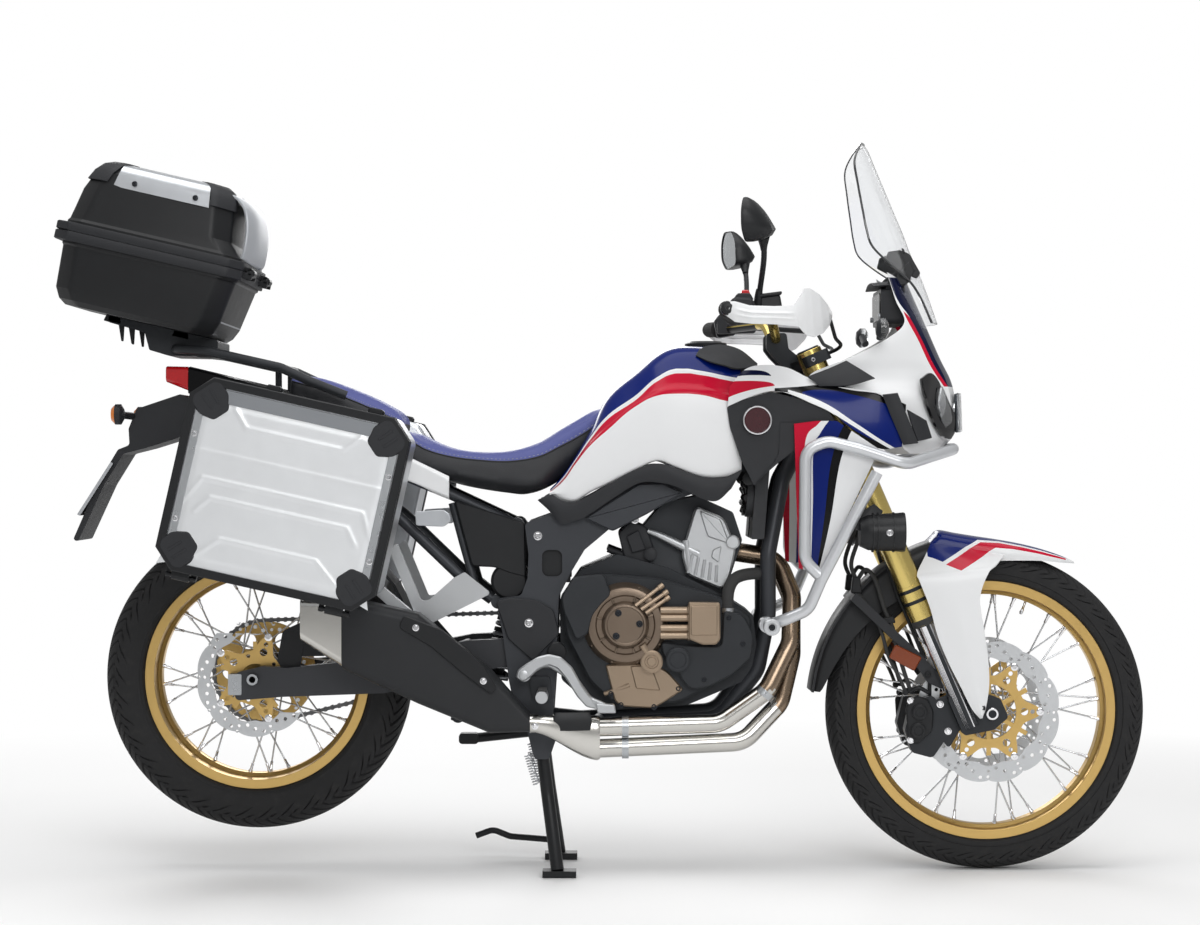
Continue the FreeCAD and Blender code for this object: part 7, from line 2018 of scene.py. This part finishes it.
def seats() -> list[Seat]:
    """The rider's cushion with its rising back, and the pillion's."""
    rider = ((14, 990, 1004, 1026, 58, 60), (-20, 950, 972, 1010, 74, 74), (-60, 902, 945, 983, 96, 90),
             (-104, 856, 921, 956, 122, 110), (-150, 822, 899, 928, 140, 126),
             (-215, 826, 889, 909, 146, 134), (-290, 838, 893, 908, 148, 136),
             (-345, 852, 901, 918, 146, 134), (-392, 868, 915, 940, 140, 130),
             (-428, 882, 936, 966, 130, 124))
    pillion = ((-436, 948, 968, 984, 126, 122), (-470, 950, 985, 1004, 130, 124),
               (-520, 955, 1008, 1030, 130, 122), (-600, 970, 1040, 1062, 122, 114),
               (-650, 990, 1054, 1074, 112, 104), (-688, 1014, 1064, 1078, 100, 94))
    return [Seat("rider_cushion", "rider_seat", rider), Seat("pillion_cushion", "pillion_seat", pillion)]


@dataclass
class Tail:
    """Tail panels, lamps, plate and rack."""

    def build(self) -> None:
        """Dress and add."""
        at = edge_by_x
        paint = painted(
            "tail_paint", Band(NIGHT, at((-960, 700), (-600, 700), (-330, 700)),
                               at((-960, 985), (-700, 945), (-436, 851), (-392, 833), (-355, 806),
                                  (-330, 790))),
            Band(RED, at((-960, 700), (-600, 700), (-425, 700)),
                 at((-960, 955), (-700, 915), (-436, 820), (-425, 800))),
            Band(BLACK, at((-960, 700), (-622, 700), (-620, 1100)), at((-960, 1100), (-600, 1100))))
        polished("tail_fairing", paint, "white", bevel=0.002)
        polished("tail_light", RED_LENS, "red", [Zone(SATIN_BLACK, lambda c: c[:, 0] > -0.907)], bevel=0.002)
        polished("indicators", PLASTIC, "black_plastic",
                 [Zone(LENS, lambda c: (np.abs(c[:, 0] - 0.59) < 0.011) & (np.abs(c[:, 1]) > 0.19)),
                  Zone(AMBER_LENS, lambda c: c[:, 0] < -1.055)], bevel=0.001)
        centre, normal = np.array([-1.107, 0, 0.830]), np.array([-0.869, 0, 0.4945])
        on_plate = lambda c: np.abs((c - centre) @ normal) < 0.0035
        polished("rear_mudguard", PLASTIC, "black_plastic", [Zone(ALLOY, on_plate)])
        polished("rear_carrier", CAST_DARK, "dark_metal", bevel=0.002)
        bracket = [(-410, 752), (-412, 782), (-352, 786), (-337, 776), (-335, 762), (-350, 750)]
        piece("case_brackets", mirrored(joined([
            slab(bracket, -150, -146, 5, 1),
            drum([(0, 9), (3, 9), (3, 5), (0, 5)], (-346, -150, 768), sides=24, closed=True)])), ALLOY,
              "aluminium")


@dataclass
class Fittings:
    """Fog lamp lenses, crash bar ends and peg rubbers."""

    lamps: Point = (-222.0, 222.0)

    def build(self) -> None:
        """Build them."""
        polished("fog_lamps", SATIN_BLACK, "black_plastic")
        polished("crash_bars", BAR_SILVER, "steel")
        polished("footpegs", CAST_SILVER, "aluminium",
                 [Zone(CAST_DARK, lambda c: (np.abs(c[:, 1]) < 0.153) & (c[:, 2] > 0.37))], bevel=0.002)
        lamp = lambda x, *profile: [drum(profile, (x, y, 740), (1, 0, 0)) for y in self.lamps]
        hoop = lambda places, *profile: [
            drum(profile, (x, y, 740), (1, 0, 0), 48, True) for y in self.lamps for x in places]
        rims = hoop([620], (-12, 40.5), (2, 42), (5, 41), (5, 35), (1, 34), (-12, 34))
        fins = hoop([556, 566, 600], (0, 40.8), (0, 42.4), (3, 42.4), (3, 40.8))
        lens = lamp(619, (0, 35), (2, 34), (5, 20), (6, 0.5))
        bowl = lamp(617.5, (0, 34), (0.4, 20), (0.2, 0.5))
        piece("fog_lamp_rims", joined(rims + fins), SATIN_BLACK, "black_plastic", crease=30)
        piece("fog_lamp_bowls", joined(bowl), REFLECTOR, "chrome")
        piece("fog_lamp_lenses", joined(lens), LENS, "glass")
        ends = [drum([(0, 15), (0, 17.5), (36, 17.5), (38, 15.5), (38, 10), (34, 9.5), (34, 0.5)],
                     (345, -200, 540))]
        piece("bar_ends", mirrored(joined(ends)), BAR_SILVER, "steel", crease=30)
        piece("bar_bolts", mirrored(bolts([(345, -233, 540)], 7, 5)), DARK_BOLT, "dark_metal")
        piece("lamp_bolts", mirrored(bolts([(590, -262, 740)], 5, 4)), CHROME, "chrome")
        treads = [slab([(-148, y), (-148, y + 5), (-130, y + 5), (-130, y)], 404.5, 408.5, 1, 0.8, "xy")
                  for y in range(158, 230, 10)]
        piece("peg_treads", mirrored(joined(treads)), RUBBER, "rubber")


# ------------------------------------------------------------------ studio
@dataclass
class Studio:
    """A pale floor under soft lamps, with the camera square to the machine's right side."""

    eye: Point = (-0.017, -5.8, 0.887)
    lens: float = 79.35
    floor_tone: float = 0.9
    fade: Point = (1.9, 3.4)
    ambient: float = 0.42

    def floor(self) -> None:
        """A round pale floor that fades into the white surroundings with distance from the machine."""
        t = np.linspace(0, 2 * math.pi, 64, endpoint=False)
        rings = [np.stack([r * np.cos(t), r * np.sin(t), np.full(64, -0.0008)], 1)
                 for r in (0.01, 2.0, 6.0, 14.0)]
        spots, faces = skin(np.array(rings), close_v=True)
        data = bpy.data.meshes.new("floor")
        data.from_pydata(spots.tolist(), [], [f[::-1] for f in faces] + [tuple(range(64))])
        ground = linked("floor", data)
        nodes = Nodes("studio_floor")
        nodes.shader.inputs["Base Color"].default_value = (self.floor_tone,) * 3 + (1,)
        nodes.shader.inputs["Roughness"].default_value = 0.6
        nodes.shader.inputs["Specular IOR Level"].default_value = 0.2
        distance = nodes.add("ShaderNodeVectorMath", {0: nodes.where}, operation="LENGTH").outputs["Value"]
        fade = nodes.add("ShaderNodeMapRange", {0: distance, 1: self.fade[0], 2: self.fade[1]}).outputs[0]
        path = nodes.add("ShaderNodeLightPath")
        seen = nodes.math("MULTIPLY", fade, path.outputs["Is Camera Ray"])
        white = nodes.add("ShaderNodeEmission", {"Color": (1, 1, 1, 1), "Strength": 1.0})
        blend = nodes.add("ShaderNodeMixShader", {0: seen, 1: nodes.shader.outputs[0], 2: white.outputs[0]})
        nodes.tree.links.new(blend.outputs[0], nodes.tree.nodes["Material Output"].inputs["Surface"])
        data.materials.append(nodes.material)

    def lamp(self, name: str, place: Point, aim: Point, width: float, depth: float, power: float) -> None:
        """A soft rectangular lamp at a place, turned towards an aim."""
        data = bpy.data.lights.new(name, "AREA")
        data.shape, data.size, data.size_y, data.energy = "RECTANGLE", width, depth, power
        made = linked(name, data)
        made.location = place
        made.rotation_euler = (Vector(aim) - Vector(place)).to_track_quat("-Z", "Y").to_euler()

    def world(self) -> None:
        """White to the camera and through clear parts, pale grey as light."""
        world = bpy.data.worlds.new("studio")
        bpy.context.scene.world = world
        world.use_nodes = True
        tree = world.node_tree
        back = tree.nodes["Background"]
        back.inputs["Color"].default_value = (1, 1, 1, 1)
        path = tree.nodes.new("ShaderNodeLightPath")
        seen = tree.nodes.new("ShaderNodeMath")
        seen.operation = "MAXIMUM"
        tree.links.new(path.outputs["Is Camera Ray"], seen.inputs[0])
        tree.links.new(path.outputs["Is Transmission Ray"], seen.inputs[1])
        level = tree.nodes.new("ShaderNodeMapRange")
        level.inputs[3].default_value, level.inputs[4].default_value = self.ambient, 1.0
        tree.links.new(seen.outputs[0], level.inputs[0])
        tree.links.new(level.outputs[0], back.inputs["Strength"])

    def build(self) -> None:
        """Set floor, lamps, surroundings and camera."""
        self.floor()
        self.world()
        self.lamp("ceiling", (0.0, -0.6, 4.2), (0, 0, 0.4), 5.0, 3.4, 120)
        self.lamp("front_soft", (1.2, -5.2, 3.0), (0, 0, 0.7), 3.0, 2.2, 110)
        self.lamp("far_side", (-1.0, 5.0, 2.6), (0, 0, 0.8), 3.5, 2.0, 90)
        data = bpy.data.cameras.new("camera")
        data.lens, data.sensor_width, data.clip_end = self.lens, 36.0, 100
        camera = linked("camera", data)
        camera.location, camera.rotation_euler = self.eye, (math.pi / 2, 0, 0)
        bpy.context.scene.camera = camera
        bpy.context.scene.view_settings.view_transform = "Standard"


# ------------------------------------------------------------------ what is dressed as it is packed
def carry_over() -> None:
    """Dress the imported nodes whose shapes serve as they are."""
    rows = (("engine_block", CAST_DARK, "dark_metal"), ("passenger_pegs", CAST_SILVER, "aluminium"),
            ("rear_caliper", SATIN_BLACK, "dark_metal"), ("hugger", PLASTIC, "black_plastic"),
            ("pannier_carrier", SATIN_BLACK, "dark_metal"), ("cables", SATIN_BLACK, "rubber"),
            ("centre_stand", SATIN_BLACK, "dark_metal"), ("side_stand", SATIN_BLACK, "dark_metal"))
    for node, finish, slot in rows:
        polished(node, finish, slot)


def wheels() -> list[Wheel]:
    """The two wheels, at their packed places."""
    front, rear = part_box("front_tyre"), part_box("rear_tyre")
    place = lambda box: ((box[0].x + box[1].x) / 2, (box[0].z + box[1].z) / 2, (box[1].z - box[0].z) / 2)
    fx, fz, fr = place(front)
    rx, rz, rr = place(rear)
    return [Wheel("front", fx, fz, fr, 0.045, 0.2667, 0.035, 0.036, 0.034, 9, 44),
            Wheel("rear", rx, rz, rr, 0.075, 0.2286, 0.058, 0.046, 0.044, 8, 38, tread_depth=0.007)]


def main() -> None:
    """Build the machine piece by piece, then the studio."""
    for wheel in wheels():
        wheel.dress()
    carry_over()
    Tank().build()
    SideFairing().build()
    Nose().build()
    Engine().build()
    Chassis().build()
    Chain().build()
    Exhaust().build()
    for side in (-1.0, 1.0):
        Pannier(side).build()
    TopBox().build()
    FrontEnd().build()
    Cockpit().build()
    for seat in seats():
        seat.build()
    Tail().build()
    Fittings().build()
    Studio().build()
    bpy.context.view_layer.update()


if __name__ == "__main__":
    logging.basicConfig(level=logging.INFO, format="%(name)s %(message)s")
    main()
